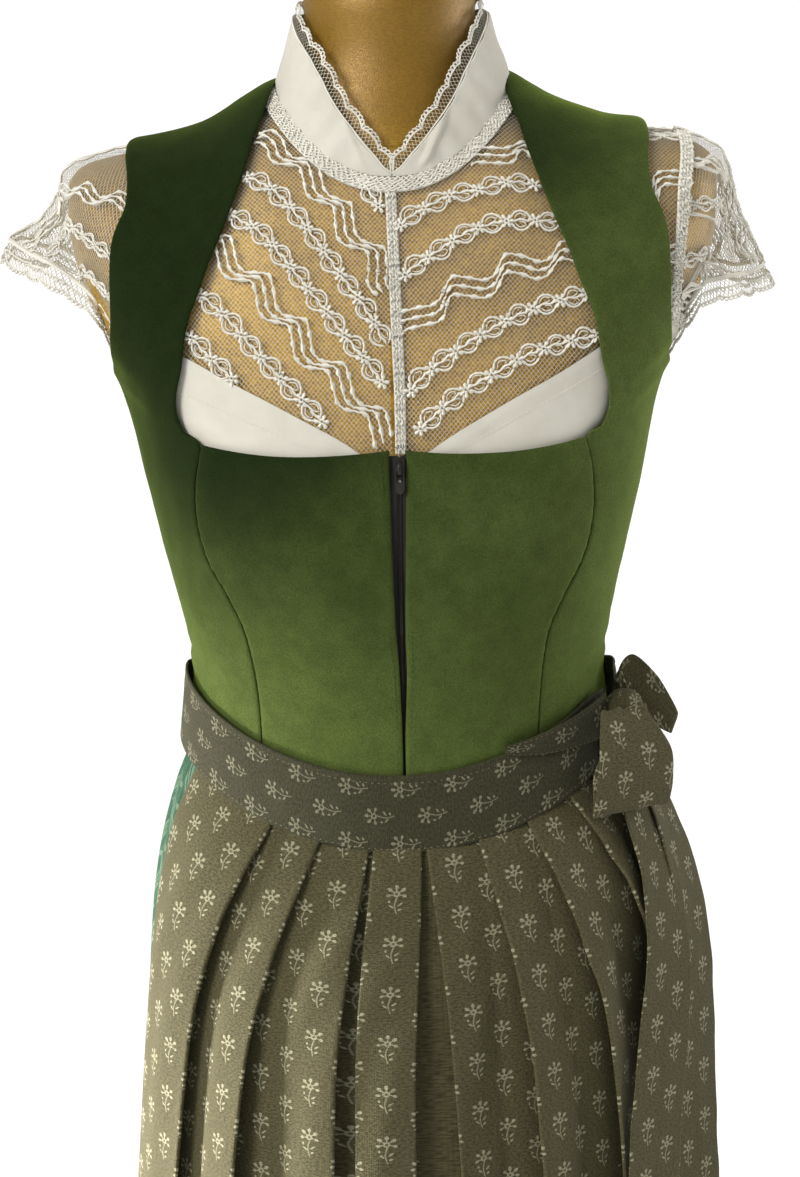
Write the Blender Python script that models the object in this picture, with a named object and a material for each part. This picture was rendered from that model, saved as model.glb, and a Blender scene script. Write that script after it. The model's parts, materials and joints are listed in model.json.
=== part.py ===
"""A dirndl dress with its apron and lace blouse, standing on a limbless dress form.

Metres, +Z up. The wearer faces -Y and the wearer's left is +X. The origin is the middle of the foot
plate's underside, on the floor. The torso is one smooth surface through named rings: an angle runs
round it (0 at the front, 90 at the wearer's left, 180 at the back) and a level runs down it, one unit
for each ring. Every cloth panel is a wall between two curves drawn on that surface, moved out by the
clothes beneath it. The skirt and the apron hang on a second such surface.
"""

import math

import bpy
import numpy as np
from mathutils import Matrix, Vector

# ---------------------------------------------------------------- driving sizes
CLOTH = 0.0012          # blouse, skirt and apron wall
VELVET = 0.0020         # bodice wall, velvet on its interlining
BRAID = 0.0008          # lace braid laid on the blouse
SEAM = 0.0003           # gap between pieces at a seam
BLOUSE_OFF = 0.0017     # inside of the blouse above the form
ZIP_OFF = 0.0035        # inside of the zip tapes above the form
ZIP_TAPE = 0.0005
BODICE_OFF = 0.0050     # inside of the bodice above the form
BAND_OFF = 0.0082       # inside of the apron band above the form
BAND_WALL = 0.0020
FORM_SIDES = 30
FORM_INSET = 0.0012      # the form's facets lie this far inside its smooth surface
PLATE_RADIUS = 0.170
PLATE_THICK = 0.006
POLE_RADIUS = 0.0125
BRAID_OFF = BLOUSE_OFF + CLOTH + 0.0005
COLLAR_FRONT, COLLAR_BACK = 0.0075, 0.054
COLLAR_LACE = 0.0075

# Torso rings from the neck down. Widths and depths run from the middle; squareness pushes the diagonals out.
TORSO_COLUMNS = ("ring", "half_width", "front", "back", "z_front", "z_side", "z_back", "square")
TORSO = (
    ("neck_top",     0.0520, 0.052, 0.052, 1.548, 1.548, 1.548, 0.00),
    ("neck_middle",  0.0515, 0.055, 0.055, 1.508, 1.522, 1.525, 0.00),
    ("neck_base",    0.0560, 0.074, 0.064, 1.457, 1.499, 1.500, 0.00),
    ("upper_chest",  0.0880, 0.093, 0.083, 1.422, 1.489, 1.470, 0.03),
    ("mid_shoulder", 0.1220, 0.109, 0.098, 1.390, 1.477, 1.435, 0.06),
    ("shoulder_tip", 0.1560, 0.119, 0.108, 1.357, 1.461, 1.398, 0.06),
    ("arm_end",      0.1890, 0.124, 0.112, 1.330, 1.438, 1.360, 0.03),
    ("arm_middle",   0.1850, 0.127, 0.113, 1.302, 1.386, 1.325, 0.02),
    ("arm_lower",    0.1585, 0.129, 0.111, 1.270, 1.328, 1.285, 0.06),
    ("bust",         0.1440, 0.127, 0.106, 1.230, 1.264, 1.238, 0.08),
    ("under_bust",   0.1290, 0.113, 0.098, 1.175, 1.195, 1.180, 0.07),
    ("waist",        0.1215, 0.100, 0.090, 1.105, 1.140, 1.115, 0.05),
    ("high_hip",     0.1300, 0.104, 0.100, 1.024, 1.066, 1.045, 0.05),
    ("hip",          0.1420, 0.111, 0.115, 0.955, 0.965, 0.960, 0.04),
    ("form_bottom",  0.1330, 0.104, 0.104, 0.850, 0.850, 0.850, 0.02),
)
BUST_APEX_X, BUST_APEX_Z = 0.074, 1.226
BUST_RISE, BUST_SPREAD_X, BUST_SPREAD_Z = 0.015, 0.052, 0.050

# Skirt rings from the waist seam down, as above, with how deep the folds are.
SKIRT_COLUMNS = TORSO_COLUMNS + ("fold",)
SKIRT = (
    ("seam",     0.1293, 0.1060, 0.0975, 1.0588, 1.0978, 1.0750, 0.05, 0.0004),
    ("gather",   0.1430, 0.1215, 0.1190, 1.022, 1.062, 1.036, 0.05, 0.0030),
    ("high_hip", 0.1530, 0.1350, 0.1380, 0.985, 1.015, 0.995, 0.05, 0.0055),
    ("hip",      0.1590, 0.1440, 0.1500, 0.930, 0.945, 0.930, 0.05, 0.0080),
    ("thigh",    0.1690, 0.1570, 0.1650, 0.790, 0.795, 0.790, 0.04, 0.0105),
    ("knee",     0.1850, 0.1750, 0.1840, 0.600, 0.600, 0.600, 0.03, 0.0130),
    ("hem",      0.2030, 0.1940, 0.2050, 0.405, 0.405, 0.405, 0.02, 0.0155),
)
SKIRT_FOLDS = 26
SKIRT_LEVELS = (0.0, 0.8, 1.8, 3.0, 4.5, 6.0)

# The apron's panels between its folds, from the wearer's right to left: edge angles at the band and at the hip.
APRON_COLUMNS = ("top_from", "top_to", "hip_from", "hip_to", "hem_from", "hem_to")
APRON_FOLDS = (
    (-68.0, -34.0, -66.0, -45.0, -73.0, -53.0),
    (-33.0, -20.6, -42.0, -31.0, -49.0, -39.0),
    (-19.4,  -8.2, -25.0, -13.2, -27.0, -15.0),
    ( -7.0,   4.6,  -9.6,   1.2,  -9.5,   0.0),
    (  5.8,  17.6,   8.4,  17.6,  12.5,  20.5),
    ( 18.8,  31.2,  23.4,  33.6,  27.0,  36.0),
    ( 32.4,  45.2,  40.6,  49.0,  43.0,  53.0),
    ( 46.6,  56.6,  59.5,  66.0,  60.5,  68.5),
    ( 58.0,  69.0,  70.0,  76.5,  73.0,  80.0),
    ( 70.4,  82.0,  80.0,  86.5,  84.5,  92.0),
)
APRON_LEANS = (1, 1, 1, 0, -1, -1, -1, -1, -1, -1)   # which edge of each panel stands up: 1 the one to its left
APRON_CLEAR = ((0.06, 1.00, 6.00), (0.0022, 0.0048, 0.0056))                    # above the skirt's crests, by level
APRON_RISE = ((0.06, 0.50, 3.00, 5.80), (0.0005, 0.0035, 0.0130, 0.0210))       # how far the panels' edges stand up
APRON_TOP_LEVEL = 0.06
APRON_HIP_LEVEL = 3.0
APRON_HEM_LEVEL = 5.8
APRON_ROWS = 11

# Outlines seen from the front, on the wearer's left: x and z of points on the outside of the cloth.
PRINCESS_SEAM = ((0.0840, 1.080), (0.0835, 1.123), (0.0845, 1.150), (0.0868, 1.177), (0.0915, 1.197),
                 (0.1000, 1.216), (0.1090, 1.232), (0.1145, 1.250), (0.1160, 1.267), (0.1148, 1.285),
                 (0.1110, 1.3035))
NECK_CORNER = ((0.1110, 1.3035), (0.1190, 1.3075), (0.1235, 1.3150), (0.1245, 1.3260))
NECKLINE = ((0.0050, 1.3025), (0.0350, 1.3000), (0.0750, 1.3000), (0.1110, 1.3035))
ZIP_EDGE_LEFT = ((0.0030, 1.080), (0.0030, 1.125), (0.0046, 1.165), (0.0042, 1.197), (0.0052, 1.235),
                 (0.0068, 1.3025))
ZIP_EDGE_RIGHT = ((0.0013, 1.080), (0.0013, 1.125), (0.0004, 1.165), (-0.0011, 1.197), (-0.0020, 1.235),
                  (-0.0026, 1.3025))
ZIP_MIDDLE = 1.0         # the zip's own angle
# The same on the surface itself, as angle and level.
STRAP_INNER = ((36.6, 6.25), (37.2, 5.45), (41.8, 4.52), (47.3, 3.80), (56.6, 3.10), (73.6, 2.58), (94.0, 2.42))
ARMHOLE_FRONT = ((94.0, 8.00), (78.0, 7.84), (63.0, 7.30), (54.5, 6.45), (56.0, 5.75), (67.0, 5.22),
                 (94.0, 4.88))
ARMHOLE_BACK = ((94.0, 8.00), (108.0, 7.86), (122.0, 7.25), (129.0, 6.45), (126.0, 5.75), (115.0, 5.22),
                (94.0, 4.88))
SIDE_SEAM = ((92.0, 11.56), (92.5, 10.60), (93.5, 9.40), (94.0, 8.00))
BACK_SEAM = ((146.0, 11.56), (144.5, 10.40), (140.5, 9.00), (133.0, 8.00), (122.0, 7.25))
BACK_NECK = ((180.0, 4.50), (160.0, 4.46), (140.0, 4.20), (124.0, 3.55), (108.0, 2.80), (94.0, 2.42))
WAIST_LEVEL = 11.56

# Blouse seams, as angle and level. The yoke is lace and the part below it plain cotton.
NECK_LEVEL = 2.25
YOKE_SEAM = ((0.3, 7.60), (8.7, 6.92), (21.5, 6.50), (37.0, 6.47), (58.3, 6.55))
BLOUSE_HEM_LEVEL = 9.70
NECK_DENSITY = 1.5       # rows of the blouse crowd towards the neck
SLEEVE_HOLE = ((90.0, 7.55), (72.0, 7.38), (61.5, 7.05), (58.3, 6.55), (60.0, 6.05), (69.0, 5.66), (90.0, 5.42),
               (111.0, 5.66), (120.0, 6.05), (122.0, 6.55), (118.5, 7.05), (108.0, 7.38))
ARM_MIDDLE = (90.0, 6.42)

# The sleeve's hem ring: its middle, its outward lean and its two radii.
SLEEVE_HEM_CENTRE = (0.1990, -0.002, 1.3770)
SLEEVE_HEM_SLOPE = (0.6215, 0.0, 0.7834)     # from the underarm to the outermost point
SLEEVE_HEM_RADII = (0.0370, 0.0680)
SLEEVE_EDGING_DROP = 0.0140

BOW_ANGLE, BOW_LEVEL, BOW_STAND = 69.0, 11.10, 0.0165
KNOT_RADII = (0.0110, 0.0145, 0.0130)
LOOP_COLUMNS = ("ahead", "sideways", "up", "half_width")   # from the knot's middle
FRONT_LOOP = (
    (0.0129, -0.003,  0.0020, 0.0110),
    (0.0200, -0.009,  0.0105, 0.0190),
    (0.0280, -0.013,  0.0050, 0.0240),
    (0.0320, -0.014, -0.0160, 0.0262),
    (0.0330, -0.014, -0.0400, 0.0276),
    (0.0320, -0.014, -0.0580, 0.0280),
    (0.0270, -0.014, -0.0640, 0.0275),
    (0.0220, -0.013, -0.0560, 0.0262),
    (0.0170, -0.012, -0.0360, 0.0230),
    (0.0120, -0.006, -0.0195, 0.0120),
)
REAR_LOOP = (
    (-0.0060, 0.0163,  0.0050, 0.0080),
    (-0.0110, 0.0200,  0.0120, 0.0125),
    (-0.0130, 0.0300,  0.0060, 0.0140),
    (-0.0160, 0.0430, -0.0080, 0.0120),
    (-0.0230, 0.0530, -0.0210, 0.0095),
    (-0.0350, 0.0510, -0.0220, 0.0095),
    (-0.0370, 0.0380, -0.0120, 0.0110),
    (-0.0300, 0.0270, -0.0050, 0.0100),
    (-0.0210, 0.0210, -0.0030, 0.0070),
)
START_COLUMNS = ("out", "back", "up", "half_width")         # from the knot's middle
FRONT_TAIL_START = ((0.0005, -0.0045, -0.0132, 0.0055), (-0.0020, -0.0030, -0.0230, 0.0080))
REAR_TAIL_START = ((-0.0015, 0.0070, -0.0131, 0.0055), (-0.0035, 0.0150, -0.0220, 0.0075))
TAIL_COLUMNS = ("angle", "level", "lift", "half_width", "turn")
FRONT_TAIL = (
    (69.0, 0.12, 0.0125, 0.0110,   0.0),
    (67.0, 0.60, 0.0130, 0.0190,   0.0),
    (64.5, 1.50, 0.0170, 0.0215,   0.0),
    (60.0, 2.40, 0.0225, 0.0215,   8.0),
    (57.0, 3.00, 0.0250, 0.0215,  12.0),
    (50.5, 3.60, 0.0265, 0.0215,   6.0),
    (46.0, 4.40, 0.0290, 0.0215,   0.0),
    (44.0, 5.30, 0.0320, 0.0215,  -3.0),
)
REAR_TAIL = (
    (79.5, 0.15, 0.0130, 0.0100,   0.0),
    (81.5, 0.80, 0.0140, 0.0180,   0.0),
    (82.0, 1.60, 0.0180, 0.0215,   0.0),
    (81.0, 2.50, 0.0230, 0.0215,   5.0),
    (79.0, 3.30, 0.0260, 0.0215,   0.0),
    (76.0, 4.20, 0.0285, 0.0215,  -3.0),
    (75.0, 5.00, 0.0310, 0.0215,   0.0),
)

COLOURS = {
    "form_jersey": ((0.50, 0.36, 0.10), 0.55, 0.0),
    "steel": ((0.62, 0.62, 0.63), 0.30, 1.0),
    "blouse_cotton": ((0.86, 0.84, 0.78), 0.80, 0.0),
    "blouse_lace": ((0.88, 0.86, 0.82), 0.85, 0.0),
    "bodice_velvet": ((0.07, 0.15, 0.035), 0.75, 0.0),
    "skirt_cloth": ((0.04, 0.12, 0.06), 0.75, 0.0),
    "apron_jacquard": ((0.15, 0.13, 0.085), 0.70, 0.0),
    "zip_tape": ((0.015, 0.015, 0.014), 0.70, 0.0),
    "zip_metal": ((0.03, 0.03, 0.03), 0.40, 0.8),
}


# ---------------------------------------------------------------- surfaces
class RingSurface:
    """A closed surface through rings, which a spline joins from one to the next."""

    def __init__(self, rows, bust=False):
        self.values = np.array([row[1:] for row in rows], float)
        self.last = len(rows) - 1
        self.bust = bust
        slopes = np.gradient(self.values, axis=0)
        self.slopes = slopes

    def at(self, level):
        """The ring's columns at a level, which may lie between two rings."""
        level = np.clip(np.asarray(level, float), 0.0, self.last - 1e-9)
        first = np.floor(level).astype(int)
        t = (level - first)[..., None]
        a, b = self.values[first], self.values[first + 1]
        da, db = self.slopes[first], self.slopes[first + 1]
        t2, t3 = t * t, t * t * t
        return (2 * t3 - 3 * t2 + 1) * a + (t3 - 2 * t2 + t) * da + (3 * t2 - 2 * t3) * b + (t3 - t2) * db

    def bare(self, angle, level):
        """Points of the surface itself."""
        ring = self.at(level)
        width, front, back, z_front, z_side, z_back, square = np.moveaxis(ring[..., :7], -1, 0)
        sine, cosine = np.sin(np.radians(angle)), np.cos(np.radians(angle))
        ahead = cosine > 0
        depth = np.where(ahead, front, back)
        z_middle = np.where(ahead, z_front, z_back)
        x = width * sine * (1 + square * cosine ** 2)
        y = -depth * cosine * (1 + square * sine ** 2)
        z = z_side + (z_middle - z_side) * cosine ** 2
        if self.bust:
            across = (np.abs(x) - BUST_APEX_X) / BUST_SPREAD_X
            along = (z - BUST_APEX_Z) / BUST_SPREAD_Z
            y = y - BUST_RISE * np.exp(-0.5 * (across ** 2 + along ** 2)) * np.clip(cosine * 3, 0, 1)
        return np.stack([x, y, z], -1)

    def normal(self, angle, level):
        """Unit vectors that point out of the surface."""
        step_angle, step_level = 0.4, 0.02
        round_it = self.bare(angle + step_angle, level) - self.bare(angle - step_angle, level)
        low = np.clip(np.asarray(level, float) - step_level, 0, self.last)
        high = np.clip(np.asarray(level, float) + step_level, 0, self.last)
        down_it = self.bare(angle, high) - self.bare(angle, low)
        out = np.cross(down_it, round_it)
        return out / np.linalg.norm(out, axis=-1, keepdims=True)

    def point(self, angle, level, offset=0.0):
        """Points moved out from the surface along its normal."""
        angle, level = np.broadcast_arrays(np.asarray(angle, float), np.asarray(level, float))
        return self.bare(angle, level) + self.normal(angle, level) * np.asarray(offset)[..., None]

    def locate(self, x, z, offset):
        """The angle and level of the front point that is seen at x, z when the surface is moved out."""
        angles, levels = np.meshgrid(np.linspace(-88, 88, 45), np.linspace(2, self.last - 0.5, 60))
        seen = self.point(angles, levels, offset)
        near = np.argmin((seen[..., 0] - x) ** 2 + (seen[..., 2] - z) ** 2)
        spot = np.array([angles.flat[near], levels.flat[near]])
        steps = np.array([0.3, 0.01])
        for _ in range(12):
            here = self.point(spot[0], spot[1], offset)[[0, 2]]
            by_angle = (self.point(spot[0] + steps[0], spot[1], offset)[[0, 2]] - here) / steps[0]
            by_level = (self.point(spot[0], spot[1] + steps[1], offset)[[0, 2]] - here) / steps[1]
            change = np.linalg.solve(np.stack([by_angle, by_level], 1), np.array([x, z]) - here)
            spot = spot + np.clip(change, (-8.0, -0.5), (8.0, 0.5))
        return spot


BODY = RingSurface(TORSO, bust=True)
HANG = RingSurface(SKIRT)
BODICE_OUT = BODICE_OFF + VELVET


def smooth_curve(points, count):
    """Evenly spaced points on a Catmull-Rom curve through the given ones."""
    points = np.array(points, float)
    ends = np.vstack([2 * points[0] - points[1], points, 2 * points[-1] - points[-2]])
    fine = []
    for a, b, c, d in zip(ends[:-3], ends[1:-2], ends[2:-1], ends[3:]):
        for t in np.linspace(0, 1, 12, endpoint=False):
            fine.append(0.5 * (2 * b + (c - a) * t + (2 * a - 5 * b + 4 * c - d) * t ** 2
                               + (3 * b - a - 3 * c + d) * t ** 3))
    fine.append(points[-1])
    return respaced(np.array(fine), count)


def respaced(line, count, scale=None):
    """The line's own course, in count points at equal steps."""
    weights = np.ones(line.shape[1]) if scale is None else np.array(scale)
    steps = np.linalg.norm(np.diff(line, axis=0) * weights, axis=1)
    run = np.concatenate([[0], np.cumsum(steps)])
    marks = np.linspace(0, run[-1], count)
    return np.stack([np.interp(marks, run, column) for column in line.T], 1)


def seen_curve(points, count, offset=BODICE_OUT):
    """A curve drawn on the front view, as angle and level on the torso."""
    line = smooth_curve(points, count)
    return np.array([BODY.locate(x, z, offset) for x, z in line])


def drawn_curve(points, count):
    """A curve given on the surface itself, spaced by its real length."""
    fine = smooth_curve(points, 8 * count)
    return respaced(fine, count, (0.0024, 0.045))


def straight(start, end, count, density=1.0):
    """Points between two, evenly spaced or crowded towards the end."""
    share = 1 - np.linspace(1, 0, count)[:, None] ** density
    return np.array(start) * (1 - share) + np.array(end) * share


def flipped(grid):
    """The same points of angle and level on the wearer's right."""
    return grid * (-1, 1)


def patch(left, right, bottom=None, top=None, across=6):
    """A grid of angle and level between two edge curves, with its ends bent to two more if they are given."""
    share = np.linspace(0, 1, across)[None, :, None]
    grid = left[:, None, :] * (1 - share) + right[:, None, :] * share
    climb = np.linspace(0, 1, len(left))[:, None, None]
    flat = np.linspace(0, 1, across)[:, None]
    if bottom is not None:
        straight = left[0] * (1 - flat) + right[0] * flat
        grid = grid + (bottom - straight)[None] * (1 - climb)
    if top is not None:
        straight = left[-1] * (1 - flat) + right[-1] * flat
        grid = grid + (top - straight)[None] * climb
    return grid


def shrunk(points, gap=SEAM / 2 + 0.00005):
    """The grid of points with each free edge drawn in by half a seam's gap."""
    moved = points.copy()
    for edge, inner in ((np.s_[0, :], np.s_[1, :]), (np.s_[-1, :], np.s_[-2, :]),
                        (np.s_[:, 0], np.s_[:, 1]), (np.s_[:, -1], np.s_[:, -2])):
        run = points[inner] - points[edge]
        moved[edge] += gap * run / np.maximum(np.linalg.norm(run, axis=-1, keepdims=True), 1e-9)
    return moved


# ---------------------------------------------------------------- solids
def material(name):
    """The Principled material of one finish."""
    made = bpy.data.materials.get(name)
    if made is None:
        colour, roughness, metallic = COLOURS[name]
        made = bpy.data.materials.new(name)
        made.use_nodes = True
        shader = made.node_tree.nodes["Principled BSDF"]
        shader.inputs["Base Color"].default_value = (*colour, 1.0)
        shader.inputs["Roughness"].default_value = roughness
        shader.inputs["Metallic"].default_value = metallic
    return made


def solid(name, points, faces, finish):
    """A mesh object of one closed body with its faces turned out."""
    points = np.asarray(points, float)
    mesh = bpy.data.meshes.new(name)
    mesh.from_pydata([tuple(p) for p in points], [], [tuple(f) for f in faces])
    mesh.validate()
    volume = 0.0
    for face in faces:
        a = points[face[0]]
        for b, c in zip(face[1:-1], face[2:]):
            volume += np.dot(a, np.cross(points[b], points[c]))
    if volume < 0:
        mesh.flip_normals()
    mesh.materials.append(material(finish))
    mesh.shade_smooth()
    mesh.set_sharp_from_angle(angle=math.radians(40))
    made = bpy.data.objects.new(name, mesh)
    bpy.context.scene.collection.objects.link(made)
    return made


def wall(name, outer, inner, finish, closed=False):
    """A wall between two equal grids of points. A closed one joins its last column to its first."""
    rows, columns = outer.shape[:2]
    points = np.concatenate([outer.reshape(-1, 3), inner.reshape(-1, 3)])
    back = rows * columns
    faces = []
    spans = columns if closed else columns - 1
    for i in range(rows - 1):
        for j in range(spans):
            k = (j + 1) % columns
            a, b, c, d = i * columns + j, i * columns + k, (i + 1) * columns + k, (i + 1) * columns + j
            faces.append((a, b, c, d))
            faces.append((back + d, back + c, back + b, back + a))
    for i, turn in ((0, 1), (rows - 1, -1)):
        for j in range(spans):
            a, b = i * columns + j, i * columns + (j + 1) % columns
            faces.append((a, back + a, back + b, b)[::turn])
    if not closed:
        for j, turn in ((0, -1), (columns - 1, 1)):
            for i in range(rows - 1):
                a, b = i * columns + j, (i + 1) * columns + j
                faces.append((a, back + a, back + b, b)[::turn])
    return solid(name, points, faces, finish)


def panel(name, grid, inside, thick, finish, surface=BODY):
    """A cloth panel: a grid of angle and level on a surface, as a wall with seam gaps round it."""
    outer = shrunk(surface.point(grid[..., 0], grid[..., 1], inside + thick))
    inner = shrunk(surface.point(grid[..., 0], grid[..., 1], inside))
    return wall(name, outer, inner, finish)


def turned(name, profile, finish, segments=32):
    """A solid of revolution about +Z from radius and height pairs that start and end on the axis."""
    points, faces = [(0, 0, profile[0][1])], []
    for radius, height in profile[1:-1]:
        for k in range(segments):
            angle = 2 * math.pi * k / segments
            points.append((radius * math.cos(angle), radius * math.sin(angle), height))
    points.append((0, 0, profile[-1][1]))
    last, rings = len(points) - 1, len(profile) - 2
    for k in range(segments):
        following = (k + 1) % segments
        faces.append((0, 1 + following, 1 + k))
        for r in range(rings - 1):
            a, b = 1 + r * segments + k, 1 + r * segments + following
            faces.append((a, b, b + segments, a + segments))
        base = 1 + (rings - 1) * segments
        faces.append((base + k, base + following, last))
    return solid(name, points, faces, finish)


def ribbon(name, spine, across, half_widths, thick, finish):
    """A strip of doubled cloth along a spine. across points along its width."""
    spine, across = np.array(spine, float), np.array(across, float)
    across = across / np.linalg.norm(across, axis=1, keepdims=True)
    run = np.gradient(spine, axis=0)
    facing = np.cross(across, run)
    facing = facing / np.linalg.norm(facing, axis=1, keepdims=True)
    half_widths = np.broadcast_to(half_widths, len(spine))
    outer, inner = [], []
    for share in (-1, 0, 1):
        middle = spine + across * (half_widths * share)[:, None]
        outer.append(middle + facing * thick / 2)
        inner.append(middle - facing * thick / 2)
    return wall(name, np.stack(outer, 1), np.stack(inner, 1), finish)


# ---------------------------------------------------------------- the dress form
def build_form():
    """The padded torso with its flat neck plate, the pole and the foot plate."""
    levels = np.concatenate([(0, 0.7, 1.4, 1.8, 2.1, 2.4, 2.8), np.linspace(3.3, 12, 18), (13, 14)])
    angles = np.arange(0, 360, 360 / FORM_SIDES)
    wrapped = np.where(angles > 180, angles - 360, angles)
    rings = [BODY.point(wrapped, np.full(FORM_SIDES, level), -FORM_INSET) for level in levels]
    points = np.concatenate(rings + [[(0, 0, rings[0][0, 2])], [(0, 0, rings[-1][0, 2])]])
    faces = []
    for r in range(len(rings) - 1):
        for k in range(FORM_SIDES):
            a, b = r * FORM_SIDES + k, r * FORM_SIDES + (k + 1) % FORM_SIDES
            faces.append((a, b, b + FORM_SIDES, a + FORM_SIDES))
    top, bottom, last = len(points) - 2, len(points) - 1, (len(rings) - 1) * FORM_SIDES
    for k in range(FORM_SIDES):
        faces.append((top, (k + 1) % FORM_SIDES, k))
        faces.append((bottom, last + k, last + (k + 1) % FORM_SIDES))
    solid("form_torso", points, faces, "form_jersey")
    under = rings[-1][0, 2] - SEAM
    turned("stand_pole", ((0, PLATE_THICK + SEAM), (POLE_RADIUS, PLATE_THICK + SEAM), (POLE_RADIUS, under),
                          (0, under)), "steel", 16)
    edge = 0.002
    turned("stand_foot_plate", ((0, 0), (PLATE_RADIUS - edge, 0), (PLATE_RADIUS, edge),
                                (PLATE_RADIUS, PLATE_THICK - edge), (PLATE_RADIUS - edge, PLATE_THICK),
                                (0, PLATE_THICK)), "steel", 28)


# ---------------------------------------------------------------- the blouse
def collar_point(angle, height):
    """A point on the standing collar, which leans in from the neck seam to the neck."""
    seam = BODY.point(angle, np.full(np.shape(angle), NECK_LEVEL), BLOUSE_OFF)
    top = BODY.point(angle, np.full(np.shape(angle), 0.15), 0.0045)
    top[..., 2] = 1.553
    lean = np.clip(height / (top[..., 2] - seam[..., 2]), 0, 1.2)[..., None]
    return seam * (1 - lean) + top * lean


def collar_height(angle):
    """How high the collar stands above the neck seam, a V from a low front."""
    turn = np.clip(np.abs(angle) / 80.0, 0, 1)
    return COLLAR_FRONT + (COLLAR_BACK - COLLAR_FRONT) * np.sin(turn * math.pi / 2) ** 1.10


def collar_wall(name, angles, low, high, thick, finish, rows=3):
    """A stretch of the collar between two heights."""
    share = np.linspace(0, 1, rows)[:, None]
    heights = low[None] * (1 - share) + high[None] * share
    grid = np.broadcast_to(angles[None], heights.shape)
    inner = collar_point(grid, heights)
    out = inner * (1, 1, 0)
    out = out / np.linalg.norm(out, axis=-1, keepdims=True)
    return wall(name, shrunk(inner + out * thick), shrunk(inner), finish)


def build_collar():
    """Two collar halves that meet at the front and the back, each with a lace edge."""
    for side, sign in (("left", 1), ("right", -1)):
        angles = sign * np.concatenate([np.linspace(0.3, 84, 15), np.linspace(96, 179.9, 8)])
        top = collar_height(angles)
        low = np.full(len(angles), 0.0020)
        collar_wall("collar_" + side, angles, low, top, CLOTH, "blouse_cotton")
        wave = 0.0013 * np.cos(np.arange(len(angles)) * math.pi)
        collar_wall("collar_lace_" + side, angles, top + SEAM, top + COLLAR_LACE + wave, 0.0010, "blouse_lace", 2)


def build_neck_braid():
    """The lace braid that covers the neck seam."""
    angles = np.linspace(-180, 180, 37)[:-1]
    levels = np.array([NECK_LEVEL + 0.03, NECK_LEVEL + 0.25])
    grid = np.stack(np.meshgrid(angles, levels), -1)
    outer = BODY.point(grid[..., 0], grid[..., 1], BRAID_OFF + BRAID)
    inner = BODY.point(grid[..., 0], grid[..., 1], BRAID_OFF)
    wall("neck_braid", outer, inner, "blouse_lace", closed=True)


def build_blouse_body():
    """Lace yoke, plain front, back, front strip and the two sleeves."""
    hole = np.array(SLEEVE_HOLE)
    seam = drawn_curve(YOKE_SEAM, 8)
    hole_yoke = drawn_curve(hole[3:7], 7)
    shoulder = straight((90.0, 5.42), (90.0, NECK_LEVEL), 9, NECK_DENSITY)
    outer_edge = np.concatenate([hole_yoke, shoulder[1:]])
    middle = straight(YOKE_SEAM[0], (0.3, NECK_LEVEL), len(outer_edge), NECK_DENSITY)
    neck = straight((0.3, NECK_LEVEL), (90.0, NECK_LEVEL), 8)
    yoke = patch(middle, outer_edge, seam, neck, 8)
    side = straight((90.0, BLOUSE_HEM_LEVEL), (90.0, 7.55), 5)
    front_edge = np.concatenate([side, drawn_curve(hole[:4], 5)[1:]])
    low_middle = straight((0.3, BLOUSE_HEM_LEVEL), YOKE_SEAM[0], len(front_edge))
    front = patch(low_middle, front_edge, None, seam, 8)
    back_hole = drawn_curve(np.concatenate([hole[:1], hole[:5:-1]]), 9)
    back_edge = np.concatenate([side, back_hole[1:], shoulder[1:]])
    back_middle = straight((180.0, BLOUSE_HEM_LEVEL), (180.0, NECK_LEVEL), len(back_edge), NECK_DENSITY)
    back_neck = straight((90.0, NECK_LEVEL), (180.0, NECK_LEVEL), 7)
    back = patch(back_edge, back_middle, None, back_neck, 7)
    for name, grid, finish in (("yoke", yoke, "blouse_lace"), ("blouse_front", front, "blouse_cotton"),
                               ("blouse_back", back, "blouse_lace")):
        panel(name + "_left", grid, BLOUSE_OFF, CLOTH, finish)
        panel(name + "_right", flipped(grid), BLOUSE_OFF, CLOTH, finish)
    levels = np.linspace(7.05, NECK_LEVEL + 0.30, 12)
    half = np.degrees(0.0045 / BODY.at(levels)[:, 0])
    strip = patch(np.stack([-half, levels], 1), np.stack([half, levels], 1), across=3)
    panel("front_strip", strip, BRAID_OFF, BRAID, "blouse_lace")


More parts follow.
